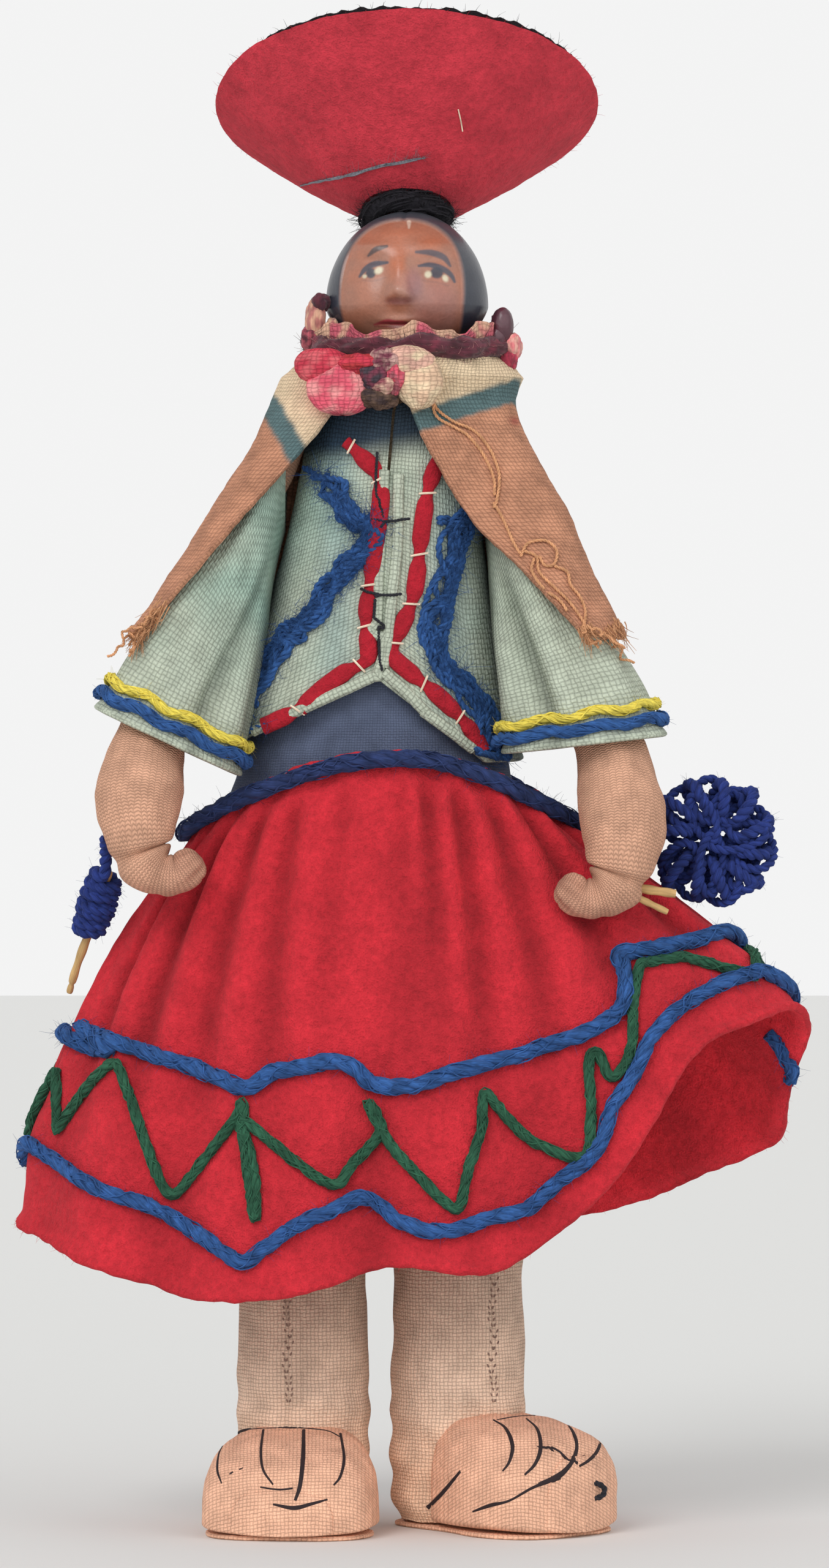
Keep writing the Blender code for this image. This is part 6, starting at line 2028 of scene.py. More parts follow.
@dataclass
class Spindle:
    """The stick with its dark blue yarn, hung from the right hand."""

    arms: Arms
    radius: float = 0.9
    tip: float = 0.6
    yarn: float = 1.1
    gap: float = 0.3
    run_back: float = 6.0
    run_down: float = 5.5
    reach: tuple = (-6.8, 9.0, -20.5)
    lead: tuple = (0.72, 0.66, 0.12)
    windings: tuple = ((6.5, 0.6, 11.6, 0.0), (5.0, 1.6, 10.2, 2.0))

    def build(self) -> None:
        """Stick, wound yarn and the lead to the hand."""
        hand = self.arms.girth * self.arms.arm_shares[-1][3]
        toward = np.array([-self.lead[0], self.lead[1], -self.lead[2]])
        toward /= np.linalg.norm(toward)
        pivot = self.arms.wrist(-1) + toward * (hand + self.yarn + self.gap)
        top = pivot + np.array([0, self.run_back, -self.run_down])
        foot = top + np.array(self.reach)
        down = (foot - top) / np.linalg.norm(foot - top)
        length = np.linalg.norm(foot - top)
        share = np.linspace(0, 1, 70)
        line = top + np.outer(share * length, down)
        line += np.outer(0.25 * np.sin(share * 5), [1.0, 0, 0]) * (share * (1 - share) * 4)[:, None]
        girth = self.radius + (self.tip - self.radius) * share + 0.06 * np.sin(share * 31)
        girth *= 1 - 0.35 * bump(share, 0.93, 0.012)
        girth[0] = girth[-1] = 0.45
        pile = MeshPile()
        pile.tube(line, girth, 16)
        settle(pile.build("spindle_stick_whittled", WOOD.make()), "spindle", "wood", "spindle_stick")
        across = np.array([0, -1.0, 0]) - down * np.dot([0, -1.0, 0], down)
        across /= np.linalg.norm(across)
        third = np.cross(down, across)
        pile = MeshPile()
        around = self.radius + self.yarn * 0.9
        for layer, (turns, start, end, phase) in enumerate(self.windings):
            angle = np.linspace(0, TURN * turns, int(turns * 26)) + phase
            along = np.linspace(start, end, len(angle)) + 0.35 * np.sin(angle * 0.37 + layer)
            out = around + 0.75 * layer * np.sin(np.linspace(0.15, 0.85, len(angle)) * math.pi)
            ring = across * np.cos(angle)[:, None] + third * np.sin(angle)[:, None]
            route = top + down * along[:, None] + ring * out[:, None]
            if layer == 0:
                bend = np.array([pivot, pivot * 0.55 + route[0] * 0.45 + [0, 0.8, 0.6], route[0]])
                route = np.concatenate([on_curve(bend.tolist(), 10)[:-1], route])
            pile.yarn(route, self.yarn * (1.0 if layer == 0 else 0.8), 3.2, wander=0.15, seed=layer)
            ways = np.gradient(route, axis=0) * 0.4 + np.cross(down, route - top)
            pile.hairs(route, ways, (0.6, 1.8), FINE_HAIR, 41, 1.3)
        settle(pile.build("spindle_yarn_wound", NAVY.make()), "spindle", "navy_yarn", "spindle_yarn")


@dataclass
class Hank:
    """The looped hank of dark blue yarn in the left hand, and the twigs it hangs by."""

    arms: Arms
    yarn: float = 1.1
    ring: float = 6.9
    loop: float = 3.1
    out: tuple = (15.2, 14.5, 2.2)
    spread: float = math.radians(338)
    begin: float = math.radians(195)
    loops: int = 11
    outer_loops: int = 9
    petals: int = 7

    def build(self) -> None:
        """The wound loops, some looser ones over them, and the lead to the hand."""
        wrist = self.arms.wrist(1)
        middle = wrist + np.array(self.out)
        share = np.linspace(0, 1, self.loops * 40)
        turn = self.begin + self.spread * share
        loop = TURN * self.loops * share
        radius = self.ring + self.loop * np.cos(loop) + 0.5 * np.sin(share * 23)
        route = middle + np.stack([np.cos(turn) * radius, self.loop * np.sin(loop), np.sin(turn) * radius], 1)
        hand = self.arms.girth * self.arms.arm_shares[-1][3]
        toward = (route[0] - wrist) / np.linalg.norm(route[0] - wrist)
        route = np.concatenate([[wrist + toward * (hand + self.yarn * 0.4)], route])
        pile = MeshPile()
        pile.yarn(route, self.yarn * 0.95, 3.0, wander=0.14, seed=3.0)
        rng = np.random.default_rng(17)
        for k in range(self.outer_loops):
            at = self.begin + self.spread * (0.06 + 0.1 * k)
            foot = middle + np.array([math.cos(at) * 6.6, 0, math.sin(at) * 6.6])
            tilt = rng.uniform(-0.7, 0.7)
            angle = round_angles(40)
            wide, tall = rng.uniform(2.4, 3.4), rng.uniform(3.0, 4.2)
            x, z = np.cos(angle) * wide, np.sin(angle) * tall
            way = at + tilt
            right, up = x * math.sin(way) + z * math.cos(way), z * math.sin(way) - x * math.cos(way)
            ring = np.stack([right, 2.6 * np.sin(angle + k), up], 1)
            pile.yarn(foot + ring, 0.8, 2.8, closed=True, wander=0.14, seed=float(k))
        for k in range(self.petals):
            way = self.begin + TURN * (k + 0.4) / self.petals
            angle = round_angles(40)
            long, wide = 4.6 + 0.5 * math.sin(k * 2.3), 2.0 + 0.4 * math.cos(k * 1.7)
            x = 4.0 + np.cos(angle) * long
            z = np.sin(angle) * wide
            lean = 1.6 * math.cos(k * math.pi) - 1.0
            right, up = x * math.cos(way) - z * math.sin(way), x * math.sin(way) + z * math.cos(way)
            ring = np.stack([right, lean + 0.6 * np.sin(angle), up], 1)
            pile.yarn(middle + ring, 0.75, 2.8, closed=True, wander=0.14, seed=k + 20.0)
        picks = np.repeat(route[::2], 3, axis=0)
        pile.hairs(picks, picks - middle, (0.4, 1.3), FINE_HAIR, 43, 1.3)
        settle(pile.build("hank_loops", NAVY.make()), "left_arm", "navy_yarn", "hank")

    def build_twigs(self) -> None:
        """Two short twigs that stick out of the hand."""
        wrist = self.arms.wrist(1)
        hand = self.arms.girth * self.arms.hand_shares[0][3]
        start = wrist + np.array([hand - 4, 0, -5.2])
        pile = MeshPile()
        for way, long, lift in (((1.0, 0, -0.15), 8.0, 0.0), ((0.93, 0.2, -0.45), 7.4, -1.0)):
            way = np.array(way) / np.linalg.norm(way)
            share = np.linspace(0, 1, 24)
            line = start + [0, lift, lift] + np.outer(share * long, way)
            girth = 0.8 - 0.1 * share + 0.05 * np.sin(share * 17)
            pile.tube(line, girth * (1 if lift == 0 else 0.75), 12)
        settle(pile.build("hank_twigs", WOOD.make()), "left_arm", "wood", "hank_twig")


@dataclass
class Shawl:
    """The woven shawl over both shoulders, its knot, its rolled collar and its loose threads."""

    form: TorsoForm
    sleeves: Sleeves
    cloth: float = 0.9
    ease: float = 1.3
    bottom: float = 148.0
    shoulder: float = 190.5
    neck: float = 193.5
    neck_x: float = 2.5
    shoulder_wide: float = 18.0
    shoulder_deep: float = 11.5
    neck_wide: float = 15.4
    neck_deep: float = 12.6
    neck_rise: float = 3.0
    fold: float = 0.8
    folds: int = 5
    roll: float = 1.8
    edges: tuple = (
        (0.00, -0.84, 0.70), (0.20, -0.69, 0.50), (0.40, -0.52, 0.31), (0.61, -0.37, 0.19),
        (0.82, -0.23, 0.09), (1.00, -0.12, 0.03),
    )
    neck_edges: tuple[float, float] = (-0.05, 0.03)
    spread: dict = right_left(1.5, 2.4)
    spread_level: tuple[float, float] = (169.0, 13.0)
    knot_front: float = -15.2
    bend_z: float = 181.0
    bend_span: tuple[float, float] = (4.0, 22.0)
    columns: int = 360
    rows: int = 110
    neck_rows: int = 24
    tan: Colour = linear(190, 136, 108)
    cream: Colour = linear(232, 208, 174)
    teal: Colour = linear(92, 116, 118)
    pink: Colour = linear(222, 92, 112)
    maroon: Colour = linear(84, 36, 48)

    def neck_point(self, angle: np.ndarray, lift: np.ndarray, rise: np.ndarray) -> np.ndarray:
        """Places on the shawl's neck edge, higher at the sides and the back.

        Args:
            angle: the way round, from the front.
            lift: how far out, in mm.
            rise: how far up, in mm.

        Returns:
            The places, in mm.
        """
        back = (1 - np.cos(angle)) / 2
        return np.stack(
            [
                self.neck_x + np.sin(angle) * (self.neck_wide + lift),
                -np.cos(angle) * (self.neck_deep + lift),
                self.neck + self.neck_rise * back + rise,
            ],
            axis=-1,
        )

    def slices(self) -> dict[int, np.ndarray]:
        """Dense grids of both sleeves' outer faces."""
        share, angle = np.meshgrid(np.linspace(0, 1, 60), round_angles(180), indexing="ij")
        return {side: self.sleeves.point(side, share, angle, 0 * share) for side in (-1, 1)}

    def section(self, z: float, slices: dict[int, np.ndarray]) -> np.ndarray:
        """Flat points of everything that lies under the shawl at a height.

        Args:
            z: the height in mm.
            slices: the sleeves' outer faces, by side.

        Returns:
            Rows of x and y.
        """
        angle = round_angles(96)
        width, depth, middle = self.form.size(z)
        lift = self.form.jacket_lift(z)
        under = [np.stack([middle + np.sin(angle) * (width + lift), -np.cos(angle) * (depth + lift)], 1)]
        if z < self.sleeves.top_z:
            for grid in slices.values():
                upper, lower = grid[:-1], grid[1:]
                crossed = (upper[..., 2] >= z) & (lower[..., 2] < z)
                part = (upper[..., 2] - z) / (upper[..., 2] - lower[..., 2] + 1e-9)
                under.append((upper + (lower - upper) * part[..., None])[crossed][:, :2])
        else:
            wide, deep = self.shoulder_wide, self.shoulder_deep
            under.append(np.stack([middle + np.sin(angle) * wide, -np.cos(angle) * deep], 1))
        return np.vstack(under)

    def row(self, z: float, right_x: float, left_x: float, slices: dict[int, np.ndarray]) -> np.ndarray:
        """One level row of the shawl, from its left front edge round the back to its right one.

        Args:
            z: its height in mm.
            right_x, left_x: where its two front edges lie.
            slices: the sleeves' outer faces, by side.

        Returns:
            The places, in mm.
        """
        points = self.section(z, slices)

        def outline(angle: np.ndarray) -> np.ndarray:
            """Points of a band drawn round everything, at directions."""
            ways = np.stack([np.sin(angle), -np.cos(angle)], 1)
            return points[np.argmax(points @ ways.T, axis=0)] + ways * (self.ease + self.cloth)

        front = np.linspace(-math.pi / 2, math.pi / 2, 361)
        ahead = outline(front)
        ends = [(x, np.interp(x, ahead[:, 0], ahead[:, 1])) for x in (left_x, right_x)]
        turns = [np.interp(x, ahead[:, 0], front) for x in (left_x, right_x)]
        around = outline(np.linspace(turns[0], TURN + turns[1], 720)[1:-1])
        between = (around[:, 1] < 0) & (around[:, 0] > right_x) & (around[:, 0] < left_x)
        line = np.vstack([ends[0], around[~between], ends[1]])
        flat = np.column_stack([line, np.full(len(line), z)])
        lengths = np.concatenate([[0], np.cumsum(np.linalg.norm(np.diff(flat, axis=0), axis=1))])
        wanted = np.linspace(0, lengths[-1], self.columns)
        return np.stack([np.interp(wanted, lengths, flat[:, k]) for k in range(3)], axis=1)

    def grid(self) -> np.ndarray:
        """The shawl's outer face from its lower edge up to the neck.

        Returns:
            Its rows and columns of places.
        """
        slices = self.slices()
        table = np.array(self.edges)
        right, left = self.sleeves.cuff_reach[-1], self.sleeves.cuff_reach[1]
        rows = []
        across = np.linspace(0, 1, self.columns)
        for share in np.linspace(0, 1, self.rows):
            z = self.bottom + (self.shoulder - self.bottom) * share
            right_x = np.interp(share, table[:, 0], table[:, 1]) * right
            left_x = np.interp(share, table[:, 0], table[:, 2]) * left
            row = self.row(z, right_x, left_x, slices)
            hang = (1 - share) * np.sin(math.pi * across)
            lift = self.fold * hang * (1 - np.cos(TURN * self.folds * across)) / 2
            flat = row[:, :2] / np.linalg.norm(row[:, :2], axis=1)[:, None]
            row[:, :2] += flat * lift[:, None]
            rows.append(row)
        grid = np.array(rows)
        for axis in range(3):
            grid[..., axis] = self.softened(grid[..., axis])
        level, x = bump(grid[..., 2], *self.spread_level), grid[..., 0]
        out = self.spread[1] * smooth(10, 26, x) - self.spread[-1] * smooth(-10, -26, x)
        grid[..., 0] += level * out
        start = math.asin(self.neck_edges[1] * left / self.neck_wide)
        end = TURN + math.asin(self.neck_edges[0] * right / self.neck_wide)
        neck = self.neck_point(start + (end - start) * across, 0, 0)
        share = np.linspace(0, 1, self.neck_rows)[1:, None, None]
        upper = grid[-1] * (1 - share) + neck * share
        upper[..., 2] += (0.5 * np.sin(math.pi * share))[..., 0]
        return np.concatenate([grid, upper])

    @staticmethod
    def softened(values: np.ndarray, times: int = 30) -> np.ndarray:
        """Even out small steps between neighbours, with the edges kept.

        Args:
            values: rows and columns of one measure.
            times: how often.

        Returns:
            The evened values.
        """
        for _ in range(times):
            inner = values.copy()
            inner[1:-1] = (values[:-2] + 2 * values[1:-1] + values[2:]) / 4
            inner[:, 1:-1] = (inner[:, :-2] + 2 * inner[:, 1:-1] + inner[:, 2:]) / 4
            values = inner
        return values

    def banded(self, grid: np.ndarray) -> np.ndarray:
        """The woven bands: cream at the neck, a thin teal band, tan below.

        Args:
            grid: the shawl's places.

        Returns:
            The colours.
        """
        x, y, z = grid[..., 0], grid[..., 1], grid[..., 2]
        right = ((x + 19.5) * 8.3 + (z - 188.3) * 4.7) / math.hypot(8.3, 4.7)
        left = ((z - 184.8) * 17.9 - (x - 4.4) * 6.1) / math.hypot(17.9, 6.1)
        front = np.where(x < self.neck_x, right, left)
        back = z - 186.5
        share = smooth(-5, 5, y)
        inside = front * (1 - share) + back * share + 0.25 * ripple(grid, 1.5, 3.0)
        paint = blank(grid)
        uneven = 1 + 0.16 * ripple(grid, 3.0, 5.0) + 0.12 * ripple(grid, 1.0, 7.0)
        colour = np.array(self.tan) * uneven[..., None]
        for edge, tone in ((-3.6, self.teal), (-0.1, self.cream)):
            cover = smooth(edge - 0.4, edge + 0.4, inside)[..., None]
            colour = colour * (1 - cover) + np.array(tone) * cover
        blush = np.exp(-(((x + 8.5) / 4.5) ** 2 + ((z - 188.5) / 4.0) ** 2))[..., None] * (y < 0)[..., None]
        colour = colour * (1 - 0.9 * blush) + np.array(self.pink) * 0.9 * blush
        spot = np.exp(-(((x - 20.4) / 0.9) ** 2 + ((z - 183.2) / 0.7) ** 2))[..., None] * (y < 0)[..., None]
        paint[..., :3] = colour * (1 - 0.6 * spot) + np.array(linear(170, 60, 60)) * 0.6 * spot
        return paint

    def build_cloth(self) -> BVHTree:
        """Both halves of the shawl; returns its surface.

        Returns:
            The shawl's surface.
        """
        grid = self.grid()
        across = np.linspace(0, 1, self.columns)
        edge = bump(across, 0, 0.008) + bump(across, 1, 0.008)
        away = outward(grid)
        irregular = 0.35 * ripple(grid, 5.0, 1.0) + 0.12 * ripple(grid, 1.6, 2.0)
        grid = grid + away * (irregular + 0.5 * edge)[..., None]
        low = smooth(0.06, 0.0, np.linspace(0, 1, len(grid)))[:, None]
        grid[..., 2] += low * 1.2 * ripple(grid * [1, 1, 0.1], 1.3, 8.0)
        paint = self.banded(grid)
        middle = self.columns // 2
        halves = (("left", slice(0, middle + 1)), ("right", slice(middle, None)))
        for word, part in halves:
            pile = MeshPile()
            pile.shell(grid[:, part], self.cloth, paint=paint[:, part])
            piece = pile.build(f"shawl_{word}_half", SHAWL.make())
            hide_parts("shawl")
            self.bend(piece, word)
        return tree_of((grid, False))

    def bend(self, piece: bpy.types.Object, word: str) -> None:
        """Bake a piece of the shawl's place into its mesh, for one side.

        Args:
            piece: the piece.
            word: the side it lies on, left or right.
        """
        sign = 1 if word == "left" else -1
        start, end = (DollFrame.world(self.neck_x + sign * out, 0, self.bend_z) for out in self.bend_span)
        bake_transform(piece)

    def fray(self, pile: MeshPile, roots: np.ndarray, way: tuple, length: tuple, seed: int) -> None:
        """Add short frayed thread ends."""
        pile.hairs(roots, np.tile(np.array(way, float), (len(roots), 1)), length, 0.13, seed, 0.7)

    def build_frays(self, view: PhotoView, surface: BVHTree) -> None:
        """The torn lower ends of both fronts and the loose threads.

        Args:
            view: turns the photograph's pixels into places.
            surface: the surface that they lie on.
        """
        rng = np.random.default_rng(23)
        for word, ends, sign in (
            ("right", [(185, 1035), (200, 1020), (215, 1003), (232, 985), (243, 965)], -1),
            ("left", [(1020, 1010), (1000, 1022), (980, 1035), (965, 1050), (950, 1025)], 1),
        ):
            pile = MeshPile()
            line = view.lay(surface, ends, 0.1, 8)
            roots = np.repeat(line, 7, axis=0) + rng.normal(0, 0.45, (len(line) * 7, 3))
            self.fray(pile, roots, (0.5 * sign, -0.2, -0.9), (1.0, 3.4), 51)
            for k in range(9):
                at = line[rng.integers(0, len(line))]
                steps = np.cumsum(rng.normal([0.25 * sign, -0.06, -0.35], 0.42, (9, 3)), axis=0)
                pile.yarn(on_curve((at + steps).tolist(), 5), 0.24, 1.0, seed=float(k))
            piece = pile.build(f"shawl_fray_{word}", TAN_THREAD.make())
            self.bend(piece, word)
        loose = MeshPile()
        for pixels in (
            [(702, 650), (716, 672), (742, 690), (775, 705), (800, 735), (815, 775), (812, 815), (806, 830)],
            [(705, 652), (712, 680), (745, 700), (768, 716), (790, 745), (806, 780), (808, 810)],
            [(806, 822), (822, 850), (838, 885), (850, 905)],
            [(850, 910), (862, 888), (890, 884), (908, 900), (905, 922), (890, 924), (880, 908)],
            [(856, 900), (876, 910), (880, 935), (905, 960), (930, 985), (950, 1015), (960, 1045)],
            [(872, 912), (868, 935), (890, 965), (915, 985), (935, 1020), (945, 1045)],
            [(905, 925), (925, 935), (930, 955), (945, 975), (955, 1000), (950, 1030)],
        ):
            loose.yarn(view.lay(surface, pixels, 0.35, 8), 0.27, 1.3, seed=2.0)
        piece = loose.build("shawl_loose_threads", TAN_THREAD.make())
        self.bend(piece, "left")

    def lump(
        self,
        pile: MeshPile,
        middle: tuple,
        size: tuple,
        colour: Colour,
        rough: float,
        seed: float,
        second: Colour | None = None,
    ) -> None:
        """Add a crumpled lump of cloth.

        Args:
            pile: where it goes.
            middle: its place in mm.
            size: its half sizes in mm.
            colour: its colour.
            rough: how deep its crumples are, as a share.
            seed: shifts them.
            second: a colour that shows in patches.
        """
        tip, angle = np.meshgrid(np.linspace(-1.5, 1.5, 44), round_angles(60), indexing="ij")
        ball = np.stack([np.cos(tip) * np.cos(angle), np.cos(tip) * np.sin(angle), np.sin(tip)], -1)
        ridges = ripple(ball * [1, 1, 0.5], 0.6, seed) + 0.35 * ripple(ball, 0.25, seed + 3)
        grid = np.array(middle) + ball * (1 + rough * ridges)[..., None] * np.array(size)
        paint = blank(grid)
        patch = smooth(-0.3, 0.4, ripple(ball, 0.5, seed + 5) + 0.3 * ripple(ball, 0.12, seed))[..., None]
        other = np.array(second if second is not None else colour)
        # Painted light and shade: each lump is painted lighter on its crumpled ridges and darker in their
        # hollows.
        paint[..., :3] = (np.array(colour) * (1 - patch) + other * patch) * (1 + 0.22 * ridges)[..., None]
        pile.grid(grid, True, paint=np.clip(paint, 0, 1))

    def build_knot(self, view: PhotoView) -> None:
        """The gathered cloth and the small knot below the chin.

        Args:
            view: turns the photograph's pixels into places.
        """
        knot = MeshPile()
        rose, dusk = linear(196, 60, 78), linear(120, 60, 76)
        for px, py, wide, tall, colour, second, rough in (
            (560, 640, 5.6, 4.8, self.pink, linear(232, 150, 150), 0.07),
            (530, 605, 5.0, 3.0, rose, linear(214, 98, 106), 0.1),
            (590, 604, 4.2, 2.0, linear(176, 58, 62), rose, 0.25),
            (612, 625, 2.8, 2.4, linear(70, 62, 70), dusk, 0.3),
            (634, 600, 2.6, 2.4, dusk, linear(188, 150, 142), 0.35),
            (628, 636, 2.4, 2.2, linear(150, 84, 92), linear(206, 170, 150), 0.35),
            (644, 622, 2.0, 3.2, linear(168, 96, 106), self.pink, 0.3),
            (666, 598, 4.4, 2.6, linear(224, 176, 158), self.cream, 0.1),
            (684, 630, 4.2, 4.6, self.cream, linear(226, 190, 160), 0.07),
            (618, 658, 3.0, 1.8, linear(104, 82, 70), linear(70, 56, 56), 0.3),
        ):
            middle = view.at(px, py) + [0, self.knot_front + 0.02 * abs(px - view.zero_x), 0]
            self.lump(knot, tuple(middle), (wide, 2.6, tall), colour, rough, px * 0.11, second)
        settle(knot.build("shawl_knot", SHAWL.make(), SMOOTH_ALL), "body", "shawl_cloth")

    def build_collar(self, view: PhotoView) -> None:
        """The rolled dark collar, the frill above it and the two knobs at its ends.

        Args:
            view: turns the photograph's pixels into places.
        """
        angle = round_angles(260)
        route = self.neck_point(angle, 0.5 - self.cloth / 2 + 0.25 * np.sin(angle * 5), self.roll - 0.5)
        route[:, 2] += 0.3 * np.sin(angle * 3 + 1) + 0.2 * np.sin(angle * 8)
        across, third = frames_along(route, True)
        around = round_angles(40)
        twist = angle[:, None] * 14
        tube = self.roll * (1 + 0.13 * np.sin(around[None] * 3 + twist) + 0.1 * np.sin(angle * 11)[:, None])
        ring = rings_along(across, third, around)
        grid = route[:, None] + ring * tube[..., None]
        grid += ring * (0.25 * ripple(grid, 0.9, 4.0))[..., None]
        grid = np.concatenate([grid, grid[:1]])
        paint = blank(grid)
        paint[..., :3] = np.array(self.maroon) * (1 + 0.5 * ripple(grid, 1.2, 3.0))[..., None]
        rosy = smooth(0.1, 0.5, ripple(grid, 3.0, 9.0))[..., None] * 0.6
        paint[..., :3] = np.clip(paint[..., :3] * (1 - rosy) + np.array(linear(140, 44, 66)) * rosy, 0, 1)
        pile = MeshPile()
        pile.grid(grid, True, paint=paint)
        rng = np.random.default_rng(87)
        roots = grid[:-1:2, ::4].reshape(-1, 3)
        ways = (roots - np.repeat(route[::2], grid.shape[1] // 4, axis=0)) + rng.normal(0, 0.7, roots.shape)
        outer = ((roots - [self.neck_x, 0, 0]) * ways * [1, 1, 0]).sum(axis=1) > 0
        roots, ways = roots[outer], ways[outer]
        thirds = np.arange(len(roots)) % 3
        for k, tone in enumerate((self.maroon, linear(120, 52, 72), linear(196, 130, 126))):
            pile.hairs(roots[thirds == k], ways[thirds == k], (0.4, 1.3), 0.06, 88 + k, 1.4, tone)
        settle(pile.build("collar_roll", COLLAR.make(), SMOOTH_ALL), "body", "maroon_yarn", "shawl_neck_roll")
        self.build_frill()
        knobs = MeshPile()
        for px, py, wide, tall, colour, second in (
            (516, 526, 1.7, 3.4, linear(206, 160, 134), linear(176, 110, 104)),
            (524, 497, 1.7, 1.6, self.maroon, linear(64, 30, 42)),
            (508, 555, 1.8, 2.2, linear(170, 80, 92), self.maroon),
            (544, 540, 1.3, 1.9, linear(200, 158, 130), linear(150, 90, 90)),
            (838, 568, 1.5, 2.2, linear(212, 120, 122), linear(226, 170, 156)),
            (830, 590, 1.5, 2.0, linear(188, 60, 84), linear(140, 40, 60)),
        ):
            middle = view.at(px, py) + [0, -3.5, 0]
            self.lump(knobs, tuple(middle), (wide, 1.7, tall), colour, 0.22, px * 0.3, second)
        settle(knobs.build("collar_knobs", COLLAR.make(), SMOOTH_ALL), "body", "shawl_cloth")
        loop = MeshPile()
        for px, py, wide, tall in ((820, 534, 1.9, 3.0), (812, 554, 1.7, 2.2)):
            middle = view.at(px, py) + [0, -4.0, 0]
            self.lump(loop, tuple(middle), (wide, 1.6, tall), linear(78, 38, 50), 0.05, 2.0)
        settle(loop.build("collar_loop", PAINT.make(), SMOOTH_ALL), "body", "maroon_yarn")

    def build_frill(self) -> None:
        """The ruffled pale edge that stands between the collar and the chin."""
        angle = round_angles(520)
        levels = np.linspace(0, 1, 12)
        ruffle = 0.55 * np.sin(angle * 26 + 2 * np.sin(angle * 3)) + 0.3 * np.sin(angle * 41)
        rows = []
        for level in levels:
            tall = 2.5 + 0.9 * np.sin(angle * 7 + 1) + 0.4 * np.sin(angle * 17)
            lift = 0.35 + level * (0.3 + ruffle * 0.6)
            rows.append(self.neck_point(angle, lift, self.roll * 1.1 + level * tall))
        grid = np.array(rows)
        paint = blank(grid)
        rose = smooth(-0.2, 0.35, ripple(grid, 2.4, 2.0))[..., None]
        colour = np.array(linear(214, 172, 146)) * (1 - rose) + np.array(linear(198, 96, 112)) * rose
        dark = smooth(0.5, 0.0, levels)[:, None, None]
        paint[..., :3] = colour * (1 - 0.7 * dark) + np.array(self.maroon) * 0.7 * dark
        pile = MeshPile()
        pile.shell(grid, 0.5, True, paint)
        settle(pile.build("collar_frill", SHAWL.make()), "body", "shawl_cloth")


